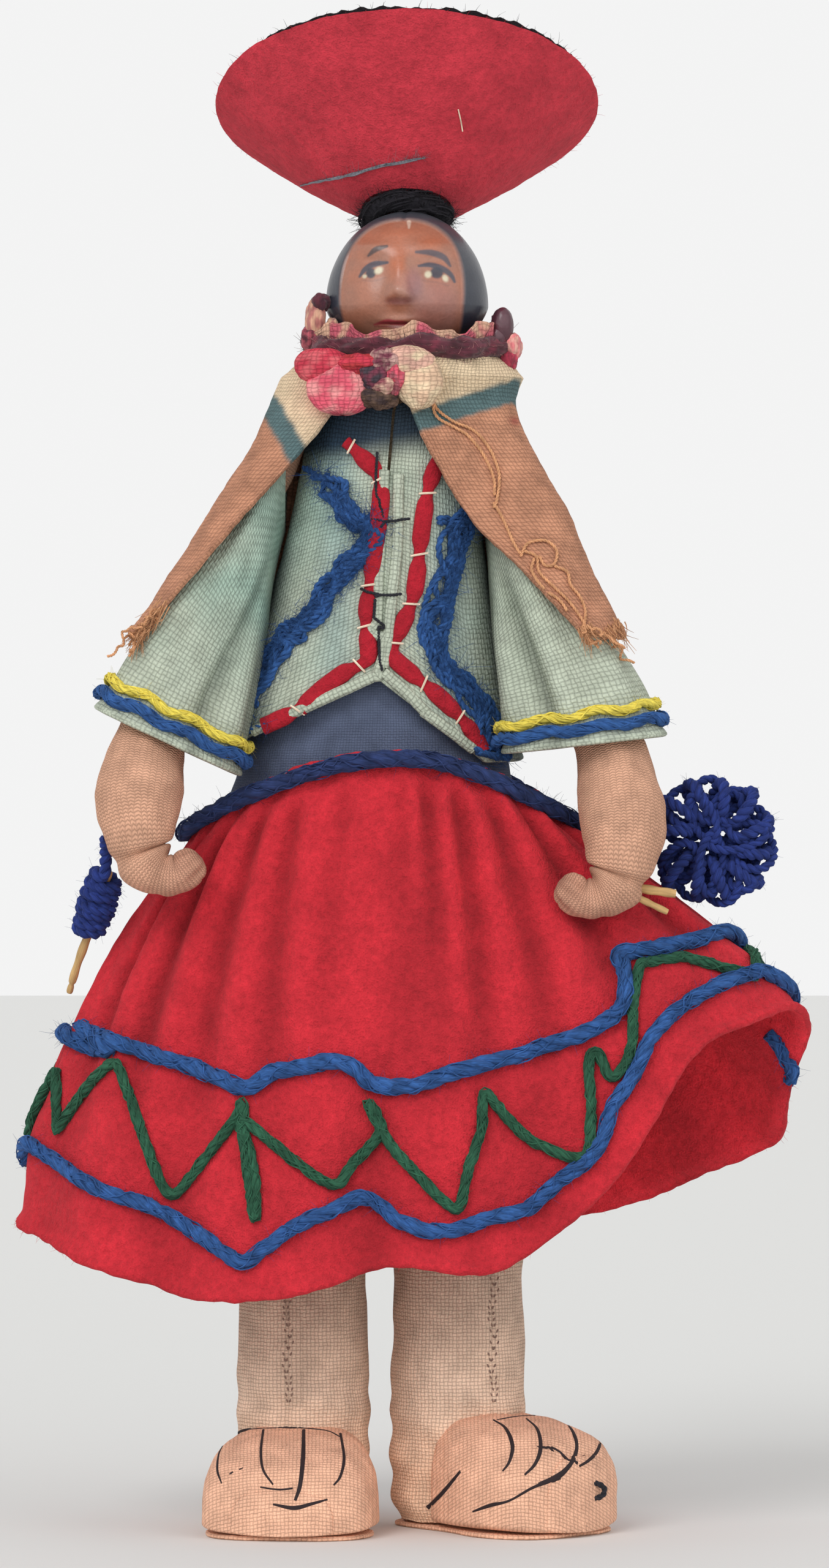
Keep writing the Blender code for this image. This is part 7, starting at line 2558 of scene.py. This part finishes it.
@dataclass
class Skirt:
    """The red felt skirt with its folds and sewn-on yarns, and the yarn that ties the waist."""

    felt: float = 1.5
    waist_z: float = 126.0
    side_drop: float = 12.0
    waist_wide: tuple[float, float] = (33.0, 31.5)
    waist_deep: float = 17.2
    header: float = 2.2
    header_rows: int = 7
    hem_z: float = 40.0
    lift: float = 46.5
    hem_wide: tuple[float, float] = (62.3, 69.5)
    hem_deep: float = 36.0
    bulge: tuple[float, float] = (6.5, 3.5)
    bulge_deep: float = 1.5
    fold_depth: float = 4.2
    yarn_radii: tuple[float, float] = (1.4, 1.3)
    zigzag_radius: float = 0.9
    back_teeth: int = 9
    tie_radius: float = 1.5
    rises: tuple = (
        0.12, 0.11, 0.37, 0.83, 0.97, 1.00, 0.85, 0.57, 0.44, 0.33, 0.23, 0.18,
        0.17, 0.17, 0.17, 0.19, 0.21, 0.22, 0.23, 0.20, 0.14, 0.07, 0.00, 0.02,
    )
    folds: tuple = (
        (-3, 7, 0.9), (22, 9, 0.7), (-38, 9, 0.6), (-68, 10, 0.5), (48, 9, 0.35), (98, 10, 0.7),
        (128, 9, 0.8), (156, 9, 0.7), (182, 9, 0.8), (208, 9, 0.7), (236, 9, 0.7), (262, 10, 0.5),
    )
    gathers: tuple = (
        (-52, -48, 1.3), (-38, -34, 1.0), (-27, -20, 0.9), (-13, -12, 0.5), (2, 3, 0.6), (10, 8, 1.1),
        (19, 16, 1.2), (30, 27, 1.1), (42, 40, 1.2), (58, 60, 1.3), (75, 78, 1.0), (-66, -64, 1.0),
        (-85, -84, 1.0), (100, 100, 1.2), (122, 124, 1.2), (142, 144, 1.2), (163, 163, 1.2), (184, 183, 1.2),
        (206, 205, 1.2), (228, 228, 1.2), (250, 252, 1.2),
    )
    upper: tuple = (0.62, 0.62, 0.61, 0.60, 0.60, 0.60, 0.60, 0.60, 0.56, 0.51, 0.54, 0.60)
    lower: tuple = (0.92, 0.92, 0.90, 0.88, 0.90, 0.91, 0.91, 0.90, 0.88, 0.84, 0.88, 0.92)
    columns: int = 480
    rows: int = 130
    upper_front: tuple = (
        (118, 1668), (160, 1690), (215, 1712), (270, 1728), (320, 1745), (365, 1762), (398, 1778),
        (425, 1768), (450, 1752), (500, 1742), (545, 1734), (580, 1748), (602, 1768), (640, 1775),
        (690, 1772), (730, 1756), (790, 1738), (850, 1722), (915, 1702), (960, 1685), (1000, 1662),
        (1018, 1640), (1022, 1600), (1014, 1560),
    )
    lower_front: tuple = (
        (50, 1868), (90, 1890), (130, 1922), (180, 1948), (240, 1966), (300, 1996), (350, 2030),
        (395, 2062), (430, 2042), (480, 2005), (530, 1982), (580, 1958), (612, 1962), (650, 1990),
        (700, 2010), (745, 2008), (800, 1988), (860, 1975), (910, 1930), (960, 1895), (985, 1860),
        (1000, 1810), (1035, 1755), (1060, 1700), (1095, 1660), (1140, 1628), (1190, 1605), (1240, 1590),
    )
    zigzag_front: tuple = (
        (98, 1848), (130, 1800), (185, 1738), (205, 1770), (235, 1850), (262, 1925), (290, 1950),
        (340, 1890), (385, 1830), (398, 1800), (400, 1860), (412, 1960), (420, 1990), (415, 1900),
        (395, 1830), (450, 1870), (540, 1935), (575, 1900), (625, 1845), (600, 1800), (640, 1870),
        (700, 1935), (745, 1975), (760, 1920), (785, 1840), (790, 1785), (830, 1830), (880, 1870),
        (955, 1888), (965, 1820), (962, 1740), (975, 1720), (1000, 1760), (1030, 1715), (1034, 1640),
        (1044, 1575),
    )

    def around(self, values: tuple, angle: np.ndarray) -> np.ndarray:
        """Read values spaced evenly round a turn.

        Args:
            values: the values, the first of them at the front.
            angle: where to read them.

        Returns:
            The values there.
        """
        given = np.array(values)
        count = len(given)
        place_in = (angle / TURN * count) % count
        first = place_in.astype(int)
        part = place_in - first
        return curved(*(given[(first + k) % count] for k in (-1, 0, 1, 2)), part)

    @staticmethod
    def off_from(angle: np.ndarray, middle: float | np.ndarray) -> np.ndarray:
        """How many degrees an angle lies from a middle in degrees, the shorter way."""
        return (np.degrees(angle) - middle + 180) % 360 - 180

    def point(self, angle: np.ndarray, share: np.ndarray) -> np.ndarray:
        """Places on the skirt's outer face, share running from waist to hem.

        Args:
            angle: the way round, from the front towards +X.
            share: 0 at the waist, 1 at the hem.

        Returns:
            The places, in mm.
        """
        across, ahead = np.sin(angle), -np.cos(angle)
        left = across > 0
        waist = np.stack(
            [
                across * np.where(left, self.waist_wide[1], self.waist_wide[0]),
                ahead * self.waist_deep,
                self.waist_z - self.side_drop * across**2,
            ],
            -1,
        )
        drawn = np.zeros_like(angle)
        for middle, wide, depth in self.folds:
            drawn = drawn + depth * self.fold_depth * bump(self.off_from(angle, middle), 0, wide)
        hem = np.stack(
            [
                across * (np.where(left, self.hem_wide[1], self.hem_wide[0]) - drawn),
                ahead * (self.hem_deep - drawn),
                self.hem_z + self.lift * self.around(self.rises, angle),
            ],
            -1,
        )
        swell = np.stack(
            [across * np.where(left, self.bulge[1], self.bulge[0]), ahead * self.bulge_deep, 0 * angle], -1
        )
        share = np.asarray(share)[..., None]
        return waist + (hem - waist) * share + swell * 4 * share * (1 - share)

    def gathered(self, angle: np.ndarray, share: np.ndarray) -> np.ndarray:
        """How deep the gathers press in at places, in mm.

        Args:
            angle: the way round, from the front towards +X.
            share: 0 at the waist, 1 at the hem.

        Returns:
            The depth at each place.
        """
        deep = np.zeros_like(angle)
        for start, end, depth in self.gathers:
            off = self.off_from(angle, start + (end - start) * share / 0.6)
            wide = 2.2 + 3.2 * share
            along = smooth(0.0, 0.08, share) * smooth(0.78, 0.42, share)
            deep = deep + depth * along * (bump(off, 0, wide) - 0.45 * bump(off, 5, wide))
        return deep

    def build_felt(self) -> BVHTree:
        """The felt itself; returns its surface.

        Returns:
            The felt's surface.
        """
        angle, share = np.meshgrid(round_angles(self.columns), np.linspace(1, 0, self.rows))
        grid = self.point(angle, share)
        away = outward(grid, True)
        lift = -1.5 * self.gathered(angle, share)
        lift += ripple(grid, 9.0, 1.0) * 0.5 * smooth(0.1, 0.5, share) + ripple(grid, 2.5, 2.0) * 0.12
        lift += 0.5 * np.sin(np.degrees(angle) * 0.42) * smooth(0.1, 0.0, share)
        grid = grid + away * lift[..., None]
        roll = smooth(0.965, 1.0, share)
        grid = grid + away * (0.9 * roll)[..., None]
        grid[..., 2] += roll * 0.35 * ripple(grid, 2.2, 5.0)
        extra = self.header_rows
        levels = np.linspace(0, 1, extra + 1)[1:, None]
        header = np.repeat(grid[-1][None], extra, axis=0)
        header[..., 2] += levels * self.header
        header[..., :2] *= (1 + 0.012 * levels * np.sin(np.degrees(angle[0]) * 0.9))[..., None]
        grid = np.concatenate([grid, header])
        paint = blank(grid)
        # Painted shade: the felt is painted darker in the gathers and, towards the hem, in the deep folds;
        # the rest is uneven tone.
        crease_shade = self.gathered(angle, share)
        crease_shade = np.concatenate([crease_shade, np.repeat(crease_shade[-1:], extra, axis=0)])
        tone = 1 - 0.4 * np.clip(crease_shade, 0, 1.6) + 0.07 * ripple(grid, 7.0, 3.0)
        whole_share = np.concatenate([share, np.zeros((extra, self.columns))])
        for middle, wide, depth in self.folds:
            off = self.off_from(np.concatenate([angle, angle[:extra]]), middle)
            tone -= 0.34 * depth * np.exp(-((off / wide * 1.5) ** 2)) * smooth(0.45, 0.8, whole_share)
        paint[..., :3] *= tone[..., None]
        pile = MeshPile()
        # Painted light: the skirt's inner face is painted 1.35 times lighter than its outside.
        pile.shell(grid, self.felt, True, np.clip(paint, 0, 1.1), 1.35)
        roots = grid[0:2, ::2].reshape(-1, 3)
        ways = np.tile([0, 0, -1.0], (len(roots), 1)) + roots * [0.01, 0.01, 0]
        pile.hairs(roots, ways, (0.3, 0.9), FINE_HAIR, 61, 1.0)
        skirt = settle(pile.build("skirt_felt_cloth", SKIRT_FELT.make()), "body", "skirt_felt", "skirt")
        return tree_of((grid, True))

    def behind(self, shares: tuple, first: float, last: float, lift: float, surface: BVHTree) -> np.ndarray:
        """A route round the back, between two angles, lifted off the felt.

        Args:
            shares: how far down it runs, by the way round.
            first, last: the angles it runs between.
            lift: how far off the felt, in mm.
            surface: the felt.

        Returns:
            The places, in mm.
        """
        angle = np.linspace(first, last, 90)
        share = self.around(shares, angle)
        return self.lifted(self.point(angle, share), lift, surface)

    def lifted(self, route: np.ndarray, lift: float, surface: BVHTree) -> np.ndarray:
        """Lay a route's points on the felt, lifted off it.

        Args:
            route: the points.
            lift: how far off the felt, in mm.
            surface: the felt.

        Returns:
            The places, in mm.
        """
        laid = []
        for point in route:
            place, normal, _, _ = surface.find_nearest(Vector(point))
            out = Vector((point[0], point[1], 0))
            if normal.dot(out) < 0:
                normal = -normal
            laid.append(np.array(place) + np.array(normal) * lift)
        return np.array(laid)

    def angle_of(self, point: np.ndarray) -> float:
        """The way round of a place on the skirt, from the front towards +X.

        Args:
            point: the place.

        Returns:
            The angle.
        """
        angle, share = np.meshgrid(np.linspace(-math.pi, math.pi, 721), np.linspace(0.3, 1, 29))
        off = np.linalg.norm(self.point(angle, share) - point, axis=-1)
        return float(angle.flat[np.argmin(off)])

    def build_trims(self, view: PhotoView, surface: BVHTree) -> None:
        """The two blue yarns and the green zigzag.

        Args:
            view: turns the photograph's pixels into places.
            surface: the felt.
        """
        for name, pixels, shares, radius in (
            ("upper", self.upper_front, self.upper, self.yarn_radii[0]),
            ("lower", self.lower_front, self.lower, self.yarn_radii[1]),
        ):
            front = view.lay(surface, list(pixels), radius * 0.75, 6)
            first = self.angle_of(front[-1]) + 0.12
            last = self.angle_of(front[0]) + TURN - 0.12
            back = self.behind(shares, first, last, radius * 0.75, surface)
            whole = on_curve(np.concatenate([front[::3], back[::4]]).tolist(), 4, True)
            pile = MeshPile()
            pile.wool(whole, radius, 71, True)
            if name == "lower":
                bit = [(1262, 1680), (1280, 1700), (1290, 1730), (1288, 1760)]
                pile.wool(view.lay(surface, bit, radius * 1.2, 6), radius, 72)
            piece = pile.build(f"skirt_yarn_{name}_twisted", BLUE.make())
            settle(piece, "body", "blue_yarn", f"skirt_yarn_{name}")
        pile = MeshPile()
        front = view.lay(surface, list(self.zigzag_front), 0.75, 5)
        first, last = self.angle_of(front[-1]) + 0.15, self.angle_of(front[0]) + TURN - 0.1
        angle = np.linspace(first, last, self.back_teeth * 2 + 1)
        upper, lower = self.around(self.upper, angle) + 0.06, self.around(self.lower, angle) - 0.06
        share = np.where(np.arange(len(angle)) % 2 == 0, upper, lower)
        corners = self.point(angle, share)
        back = np.concatenate([np.linspace(a, b, 8, endpoint=False) for a, b in zip(corners, corners[1:])])
        back = self.lifted(back, 0.75, surface)
        whole = np.concatenate([front, back])
        pile.wool(whole, self.zigzag_radius, 73, True, 0.7)
        settle(pile.build("skirt_green_zigzag", GREEN.make()), "body", "green_yarn", "skirt_zigzag")

    def build_tie(self) -> None:
        """The dark blue yarn round the waist."""
        angle = round_angles(300)
        out = np.stack([np.sin(angle), -np.cos(angle), 0 * angle], -1)
        route = self.point(angle, 0 * angle) + out * self.tie_radius
        route[:, 2] += self.header / 2 + 0.35 * np.sin(angle * 5 + 1)
        pile = MeshPile()
        pile.wool(route, self.tie_radius, 75, True)
        settle(pile.build("waist_tie", TIE_WOOL.make()), "body", "navy_yarn", "waist_yarn")


@dataclass
class Legs:
    """The stuffed muslin legs, their seams, the feet with inked toes and straps, and the soles."""

    hip: float = 90.0
    place_x: dict = right_left(-14.7, 11.0)
    radius: dict = right_left(11.0, 11.2)
    seam_x: dict = right_left(-17.3, 16.8)
    seam_px: dict = right_left(470, 805)
    seam_rows: tuple[float, float, float] = (2075, 2292, 9.5)
    stitch_half: float = 5.0
    deep: float = 0.92
    sole: float = 0.8
    gap: float = 0.3
    shares: tuple = (
        (0.00, 0.84), (0.05, 0.97), (0.14, 1.00), (0.28, 0.99), (0.48, 0.95), (0.70, 0.97), (1.00, 1.00),
    )
    turn: dict = right_left(math.radians(-7), math.radians(47))
    length: dict = right_left(26.0, 27.0)
    half_wide: dict = right_left(14.5, 13.6)
    high: dict = right_left(16.5, 18.5)
    start: float = 4.0
    foot_shares: tuple = (
        (0.00, 0.80, 1.00), (0.22, 0.93, 1.00), (0.45, 1.00, 0.93), (0.65, 0.98, 0.82), (0.81, 0.94, 0.70),
        (0.93, 0.82, 0.56), (1.00, 0.58, 0.36),
    )
    toe_full: dict = right_left(0.8, 0.4)
    edge: float = 0.12
    squareness: float = 0.62
    heel: float = 0.36
    sole_shares: tuple = (
        (0.00, 0.30), (0.06, 0.52), (0.20, 0.64), (0.45, 0.74), (0.68, 0.94), (0.84, 0.90),
        (0.95, 0.72), (1.00, 0.42),
    )
    ink: dict = field(
        default_factory=lambda: {
            -1: (
                ((382, 2342, 2.2), (405, 2334, 3.0), (470, 2331, 3.0), (530, 2335, 3.2), (556, 2346, 2.4)),
                ((370, 2352, 2.4), (358, 2372, 3.0), (355, 2400, 2.8), (362, 2422, 1.5)),
                ((430, 2334, 2.6), (426, 2370, 2.8), (430, 2400, 2.6), (446, 2424, 1.8)),
                ((496, 2334, 3.6), (495, 2380, 4.6), (490, 2425, 4.4), (482, 2450, 3.0)),
                ((556, 2340, 2.8), (562, 2380, 3.2), (556, 2410, 2.8), (545, 2425, 1.8)),
                ((446, 2456, 2.0), (480, 2462, 4.4), (510, 2455, 3.4), (535, 2448, 2.0)),
                ((425, 2428, 1.6), (455, 2432, 2.2), (478, 2430, 2.2)),
            ),
            1: (
                ((806, 2318, 2.4), (826, 2332, 3.6), (837, 2360, 4.2), (832, 2386, 3.4), (821, 2402, 2.0)),
                ((860, 2316, 2.4), (878, 2334, 3.6), (883, 2364, 4.2), (874, 2390, 3.4), (857, 2408, 2.2)),
                ((920, 2318, 3.0), (936, 2338, 4.2), (942, 2364, 4.6), (932, 2390, 4.4), (912, 2410, 6.0),
                 (880, 2424, 4.4)),
                ((972, 2326, 2.6), (982, 2344, 3.8), (976, 2368, 3.8), (962, 2384, 3.2), (946, 2394, 2.4)),
                ((812, 2318, 2.2), (850, 2312, 3.0), (910, 2312, 3.2), (960, 2324, 2.6)),
                ((698, 2462, 4.6), (722, 2438, 5.4), (752, 2402, 3.6)),
                ((772, 2468, 2.0), (800, 2458, 4.0), (832, 2450, 2.4), (872, 2428, 3.0), (915, 2412, 4.6)),
            ),
        }
    )

    def leg_grid(self, side: int) -> np.ndarray:
        """A leg's surface from the heel up over its rounded hip end.

        Args:
            side: -1 for the doll's right, 1 for its left.

        Returns:
            The places, in mm.
        """
        foot_z = self.sole + self.gap
        table = np.array(self.shares)
        dense = on_curve([(h, 0, r) for h, r in table], 14)
        rows = [(foot_z + (self.hip - foot_z) * h, self.radius[side] * r) for h, _, r in dense]
        for tip in np.linspace(5, 88, 14):
            turn = math.radians(tip)
            rows.append((self.hip + self.radius[side] * math.sin(turn), self.radius[side] * math.cos(turn)))
        rows = np.array([(rows[0][0], 0.3), (rows[0][0] + 0.01, rows[0][1] * 0.9), *rows])
        angle = round_angles(160)
        ring = np.stack([np.sin(angle), -np.cos(angle) * self.deep], -1)
        flat = rows[:, 1][:, None, None] * ring[None]
        grid = np.concatenate([flat, np.broadcast_to(rows[:, 0][:, None, None], (*flat.shape[:2], 1))], -1)
        grid = grid + [self.place_x[side], 0, 0]
        lumps = ripple(grid, 7.0, side * 2.0) * 0.45 + ripple(grid, 2.6, 4.0) * 0.1
        wrinkle = 0.25 * np.sin(grid[..., 2] * 0.9 + 3 * np.sin(angle)[None]) * smooth(28, 18, grid[..., 2])
        seam = -0.3 * bump(angle[None], self.seam_angle(side), 0.03)
        lift = (lumps + wrinkle + seam) * smooth(0.5, 3.0, rows[:, 1])[:, None]
        return raised(grid, lift, True)

    def seam_angle(self, side: int) -> float:
        """Where a leg's front seam lies."""
        return math.asin((self.seam_x[side] - self.place_x[side]) / self.radius[side]) % TURN

    def foot_place(self, side: int, along: np.ndarray, across: np.ndarray, z: np.ndarray) -> np.ndarray:
        """Places in a foot's own directions.

        Args:
            side: -1 for the doll's right, 1 for its left.
            along: how far towards the toes.
            across: how far to the foot's own left.
            z: the heights.

        Returns:
            The places, in mm.
        """
        turn = self.turn[side]
        x = self.place_x[side] + math.sin(turn) * along + math.cos(turn) * across
        y = -math.cos(turn) * along + math.sin(turn) * across
        return np.stack([x, y, z], -1)

    def foot_grid(self, side: int) -> np.ndarray:
        """The padded front of a foot, rounded at its lower edge and its toes.

        Args:
            side: -1 for the doll's right, 1 for its left.

        Returns:
            The places, in mm.
        """
        floor = self.sole + 0.05
        table = np.array(self.foot_shares)
        dense = on_curve(table.tolist(), 12)
        tip = []
        for level in np.linspace(0, 1, 10)[1:]:
            shrink = math.sqrt(max(1 - level**2, 0.0)) + 0.005
            tip.append([1 + 0.07 * level, table[-1, 1] * shrink, table[-1, 2] * shrink])
        dense = np.concatenate([[[-0.02, 0.02, 0.02], [-0.02, 0.7, 0.9]], dense, tip])
        angle = round_angles(110)
        along = self.start + (self.length[side] - self.start) * dense[:, 0][:, None]
        square = np.abs(np.stack([np.cos(angle), np.sin(angle)])) ** self.squareness
        cross = (np.sign(np.cos(angle)) * square[0])[None] * self.half_wide[side] * dense[:, 1][:, None]
        lift = np.sign(np.sin(angle)) * square[1]
        share = self.edge + lift * np.where(lift > 0, 1 - self.edge, self.edge)
        up = share[None] * self.high[side] * (dense[:, 2] ** self.toe_full[side])[:, None]
        grid = self.foot_place(side, along + 0 * cross, cross, floor + up)
        lumps = ripple(grid, 5.0, 5.0 + side) * 0.35 + ripple(grid, 1.7, 2.0) * 0.08
        inside = smooth(0.1, 0.5, dense[:, 1])[:, None] * (np.sin(angle) > 0.02)[None]
        return raised(grid, lumps * inside, True)

    def build(self, view: PhotoView) -> None:
        """Both legs with everything on them.

        Args:
            view: turns the photograph's pixels into places.
        """
        for side in Side:
            s, body = side.value, f"{side.word}_leg"
            leg, foot = self.leg_grid(s), self.foot_grid(s)
            paint = blank(leg)
            # Uneven tone, plus painted shade: the legs are painted darker towards the top, under the skirt.
            tone_and_skirt_shade = 1 + 0.12 * ripple(leg, 6.0, 3.0) - 0.3 * smooth(22, 42, leg[..., 2])
            paint[..., :3] *= tone_and_skirt_shade[..., None]
            paint[..., :3] *= 1 - smooth(24, 8, leg[..., 2])[..., None] * np.array([-0.12, -0.02, 0.06])
            pile = MeshPile()
            pile.grid(leg, True, paint=np.clip(paint, 0, 1.3))
            piece = pile.build(f"leg_stuffed_{side.word}", MUSLIN.make())
            settle(piece, body, "muslin", f"leg_{side.word}")
            tint = blank(foot)
            tint[..., :3] *= (1 + 0.12 * ripple(foot, 4.0, 7.0))[..., None]
            pile = MeshPile()
            cloth = np.stack([foot[..., 0], foot[..., 2] + 0.6 * foot[..., 1]], -1)
            pile.grid(foot, True, flip=True, paint=np.clip(tint, 0, 1.2), cloth=cloth)
            piece = pile.build(f"foot_padded_{side.word}", FOOT_MUSLIN.make())
            settle(piece, body, "muslin", f"foot_{side.word}")
            surface = tree_of((foot, True), (leg, True))
            self.build_sole(side, body)
            self.build_marks(side, body, view, surface)
            self.build_seam(side, body, view, tree_of((leg, True)))

    def build_sole(self, side: Side, body: str) -> None:
        """The flat sole, its edge a little proud.

        Args:
            side: the doll's right or left.
            body: the body that the leg rides on.
        """
        s = side.value
        heel = self.heel * self.length[s]
        edge = []
        for length_share, width_share in self.sole_shares:
            edge.append((-heel + (self.length[s] + heel) * length_share, self.half_wide[s] * width_share, 0))
        right = on_curve(edge, 10)
        outline = np.concatenate([right, (right * [1, -1, 1])[::-1]])
        outline = evenly(outline, 0.5, True)
        rim = self.foot_place(s, outline[:, 0], outline[:, 1], 0 * outline[:, 0])
        middle = rim.mean(axis=0)
        rows = []
        cut = ((0.01, 0.0), (0.97, 0.0), (1.0, 0.12), (1.005, 0.4), (1.0, 0.68), (0.97, 0.8), (0.01, 0.8))
        for shrink, z in cut:
            row = middle + (rim - middle) * shrink
            row[:, 2] = z * self.sole / cut[-1][1]
            rows.append(row)
        grid = np.array(rows)[:, ::-1]
        pile = MeshPile()
        pile.grid(grid, True)
        settle(pile.build(f"sole_cloth_{side.word}", FOOT_MUSLIN.make()), body, "muslin", f"sole_{side.word}")

    def build_marks(self, side: Side, body: str, view: PhotoView, surface: BVHTree) -> None:
        """The toe and strap lines drawn on the foot in dark ink.

        Args:
            side: the doll's right or left.
            body: the body that the leg rides on.
            view: turns the photograph's pixels into places.
            surface: the surface that they lie on.
        """
        pile = MeshPile()
        for stroke in self.ink[side.value]:
            flat = on_curve([(px, py, width) for px, py, width in stroke], 10)
            route = np.array([view.hit(surface, px, py, -0.12) for px, py, _ in flat])
            self.flat_line(pile, route, flat[:, 2] * view.pixel, surface)
        settle(pile.build(f"foot_ink_{side.word}", INK.make()), body, "muslin")

    def flat_line(self, pile: MeshPile, route: np.ndarray, width: np.ndarray, surface: BVHTree) -> None:
        """Add a thin flat line that follows a surface.

        Args:
            pile: where it goes.
            route: its middle line.
            width: its half width at each point.
            surface: what it lies on.
        """
        normals = np.array([np.array(surface.find_nearest(Vector(p))[1]) for p in route])
        facing = np.sign((normals * [0, -1.0, 0.6]).sum(axis=1))
        normals *= np.where(facing == 0, 1, facing)[:, None]
        aside = beside(route, normals)
        angle = round_angles(8)
        grid = (
            route[:, None]
            + aside[:, None] * (width[:, None] * np.cos(angle))[..., None]
            + normals[:, None] * (0.22 * np.sin(angle)[None] + 0 * width[:, None])[..., None]
        )
        pile.grid(pointed(grid, route, 0.05), True)

    def build_seam(self, side: Side, body: str, view: PhotoView, surface: BVHTree) -> None:
        """The front seam's small paired stitches.

        Args:
            side: the doll's right or left.
            body: the body that the leg rides on.
            view: turns the photograph's pixels into places.
            surface: the surface that they lie on.
        """
        px = self.seam_px[side.value]
        pile = MeshPile()
        for k, py in enumerate(np.arange(*self.seam_rows)):
            for offset in (-self.stitch_half, self.stitch_half):
                wave = 3 * math.sin(k * 0.7) + 2.5 * math.sin(k * 2.9 + offset)
                first = view.hit(surface, px + offset + wave, py, 0.02)
                second = view.hit(surface, px + offset * 0.5 + wave, py + 5.5, 0.02)
                pile.tube(np.linspace(first, second, 4), np.array([0.06, 0.17, 0.17, 0.06]), 6)
        settle(pile.build(f"leg_seam_{side.word}", HOLES.make()), body, "muslin")
        if side is Side.LEFT:
            ring = [(935, 2415), (945, 2405), (965, 2404), (982, 2412), (978, 2426), (955, 2430), (940, 2424)]
            middle = [(view.at(x, y) + [0, -17.5, 0]).tolist() for x, y in ring]
            loop = MeshPile()
            loop.yarn(on_curve(middle, 8, True), 0.5, 1.8, closed=True, seed=3.0)
            settle(loop.build("foot_thread_loop", DARK_THREAD.make()), body, "muslin")


@dataclass
class Studio:
    """A pale floor, plain soft light and the camera."""

    floor_size: float = 6000.0
    floor_colour: Colour = linear(232, 232, 230)
    floor_roughness: float = 0.9
    key: float = 1.05
    fill: float = 0.45
    front: float = 0.6
    world: float = 0.6
    backdrop: float = 0.9

    def build(self, view: PhotoView) -> None:
        """Everything that isn't the doll.

        Args:
            view: the camera.
        """
        view.set_up()
        self.build_floor()
        self.build_lamps()
        self.build_world()

    def build_floor(self) -> None:
        """A wide pale floor that keeps the doll's shadow."""
        half = self.floor_size * MM / 2
        mesh = bpy.data.meshes.new("studio_floor")
        corners = [(-half, -half, 0), (half, -half, 0), (half, half, 0), (-half, half, 0)]
        mesh.from_pydata(corners, [], [(0, 1, 2, 3)])
        floor = bpy.data.objects.new("studio_floor", mesh)
        bpy.context.scene.collection.objects.link(floor)
        sheet = NodeSheet("studio_floor")
        sheet.shader.inputs["Base Color"].default_value = (*self.floor_colour, 1)
        sheet.shader.inputs["Roughness"].default_value = self.floor_roughness
        mesh.materials.append(sheet.material)

    def build_lamps(self) -> None:
        """A soft key light, a weaker fill and one from the front."""
        for name, strength, spread, turn in (
            ("key_light", self.key, 28, (math.radians(52), 0, math.radians(-28))),
            ("fill_light", self.fill, 50, (math.radians(66), 0, math.radians(42))),
            ("front_light", self.front, 60, (math.radians(84), 0, math.radians(-6))),
        ):
            lamp = bpy.data.lights.new(name, "SUN")
            lamp.energy = strength
            lamp.angle = math.radians(spread)
            thing = bpy.data.objects.new(name, lamp)
            thing.rotation_euler = turn
            bpy.context.scene.collection.objects.link(thing)

    def build_world(self) -> None:
        """A plain pale surrounding, white where the camera sees it."""
        world = bpy.data.worlds.new("studio_world")
        world.use_nodes = True
        tree = world.node_tree
        back = tree.nodes["Background"]
        path = tree.nodes.new("ShaderNodeLightPath")
        seen = tree.nodes.new("ShaderNodeMath")
        seen.operation = "MAXIMUM"
        tree.links.new(path.outputs["Is Camera Ray"], seen.inputs[0])
        tree.links.new(path.outputs["Is Glossy Ray"], seen.inputs[1])
        seen_through = tree.nodes.new("ShaderNodeMath")
        seen_through.operation = "MAXIMUM"
        tree.links.new(seen.outputs[0], seen_through.inputs[0])
        tree.links.new(path.outputs["Is Transmission Ray"], seen_through.inputs[1])
        strength = tree.nodes.new("ShaderNodeMapRange")
        strength.inputs["To Min"].default_value = self.world
        strength.inputs["To Max"].default_value = self.backdrop
        tree.links.new(seen_through.outputs[0], strength.inputs["Value"])
        tree.links.new(strength.outputs[0], back.inputs["Strength"])
        back.inputs["Color"].default_value = (1, 1, 1, 1)
        bpy.context.scene.world = world


def dress_kept(nodes: dict) -> None:
    """Give the kept CAD nodes their finishes.

    Args:
        nodes: the part's nodes by name.
    """
    for names, finish in ((("neck_peg",), PEG_WOOD), (("arm_wire_right", "arm_wire_left"), WIRE)):
        for name in names:
            for slot in nodes[name].material_slots:
                slot.material = finish.make()


def main() -> None:
    """Build and dress the whole doll."""
    logging.basicConfig(level=logging.INFO, format="%(name)s %(message)s")
    for thing in list(bpy.data.objects):
        bpy.data.objects.remove(thing, do_unlink=True)
    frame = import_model()
    DollFrame.read(frame["record"])
    view = PhotoView()
    Studio().build(view)
    dress_kept(frame["nodes"])
    form = TorsoForm()
    torso = Torso(form)
    torso.build_body()
    torso.build_bodice()
    Head().build(view)
    hat = Hat()
    hat.build_felt(view)
    hat.build_lining()
    hat.build_pad()
    jacket = Jacket(form)
    front = jacket.build_body()
    jacket.build_hems(view, front)
    jacket.build_strips(view, front)
    jacket.build_yarns(view, front)
    sleeves = Sleeves(form)
    sleeves.build()
    arms = Arms(form)
    arms.build()
    Spindle(arms).build()
    hank = Hank(arms)
    hank.build()
    hank.build_twigs()
    shawl = Shawl(form, sleeves)
    drape = shawl.build_cloth()
    shawl.build_frays(view, drape)
    shawl.build_knot(view)
    shawl.build_collar(view)
    skirt = Skirt()
    felt = skirt.build_felt()
    skirt.build_trims(view, felt)
    skirt.build_tie()
    Legs().build(view)
    view_settings = bpy.context.scene.view_settings
    view_settings.view_transform = "Standard"


if __name__ == "__main__":
    main()
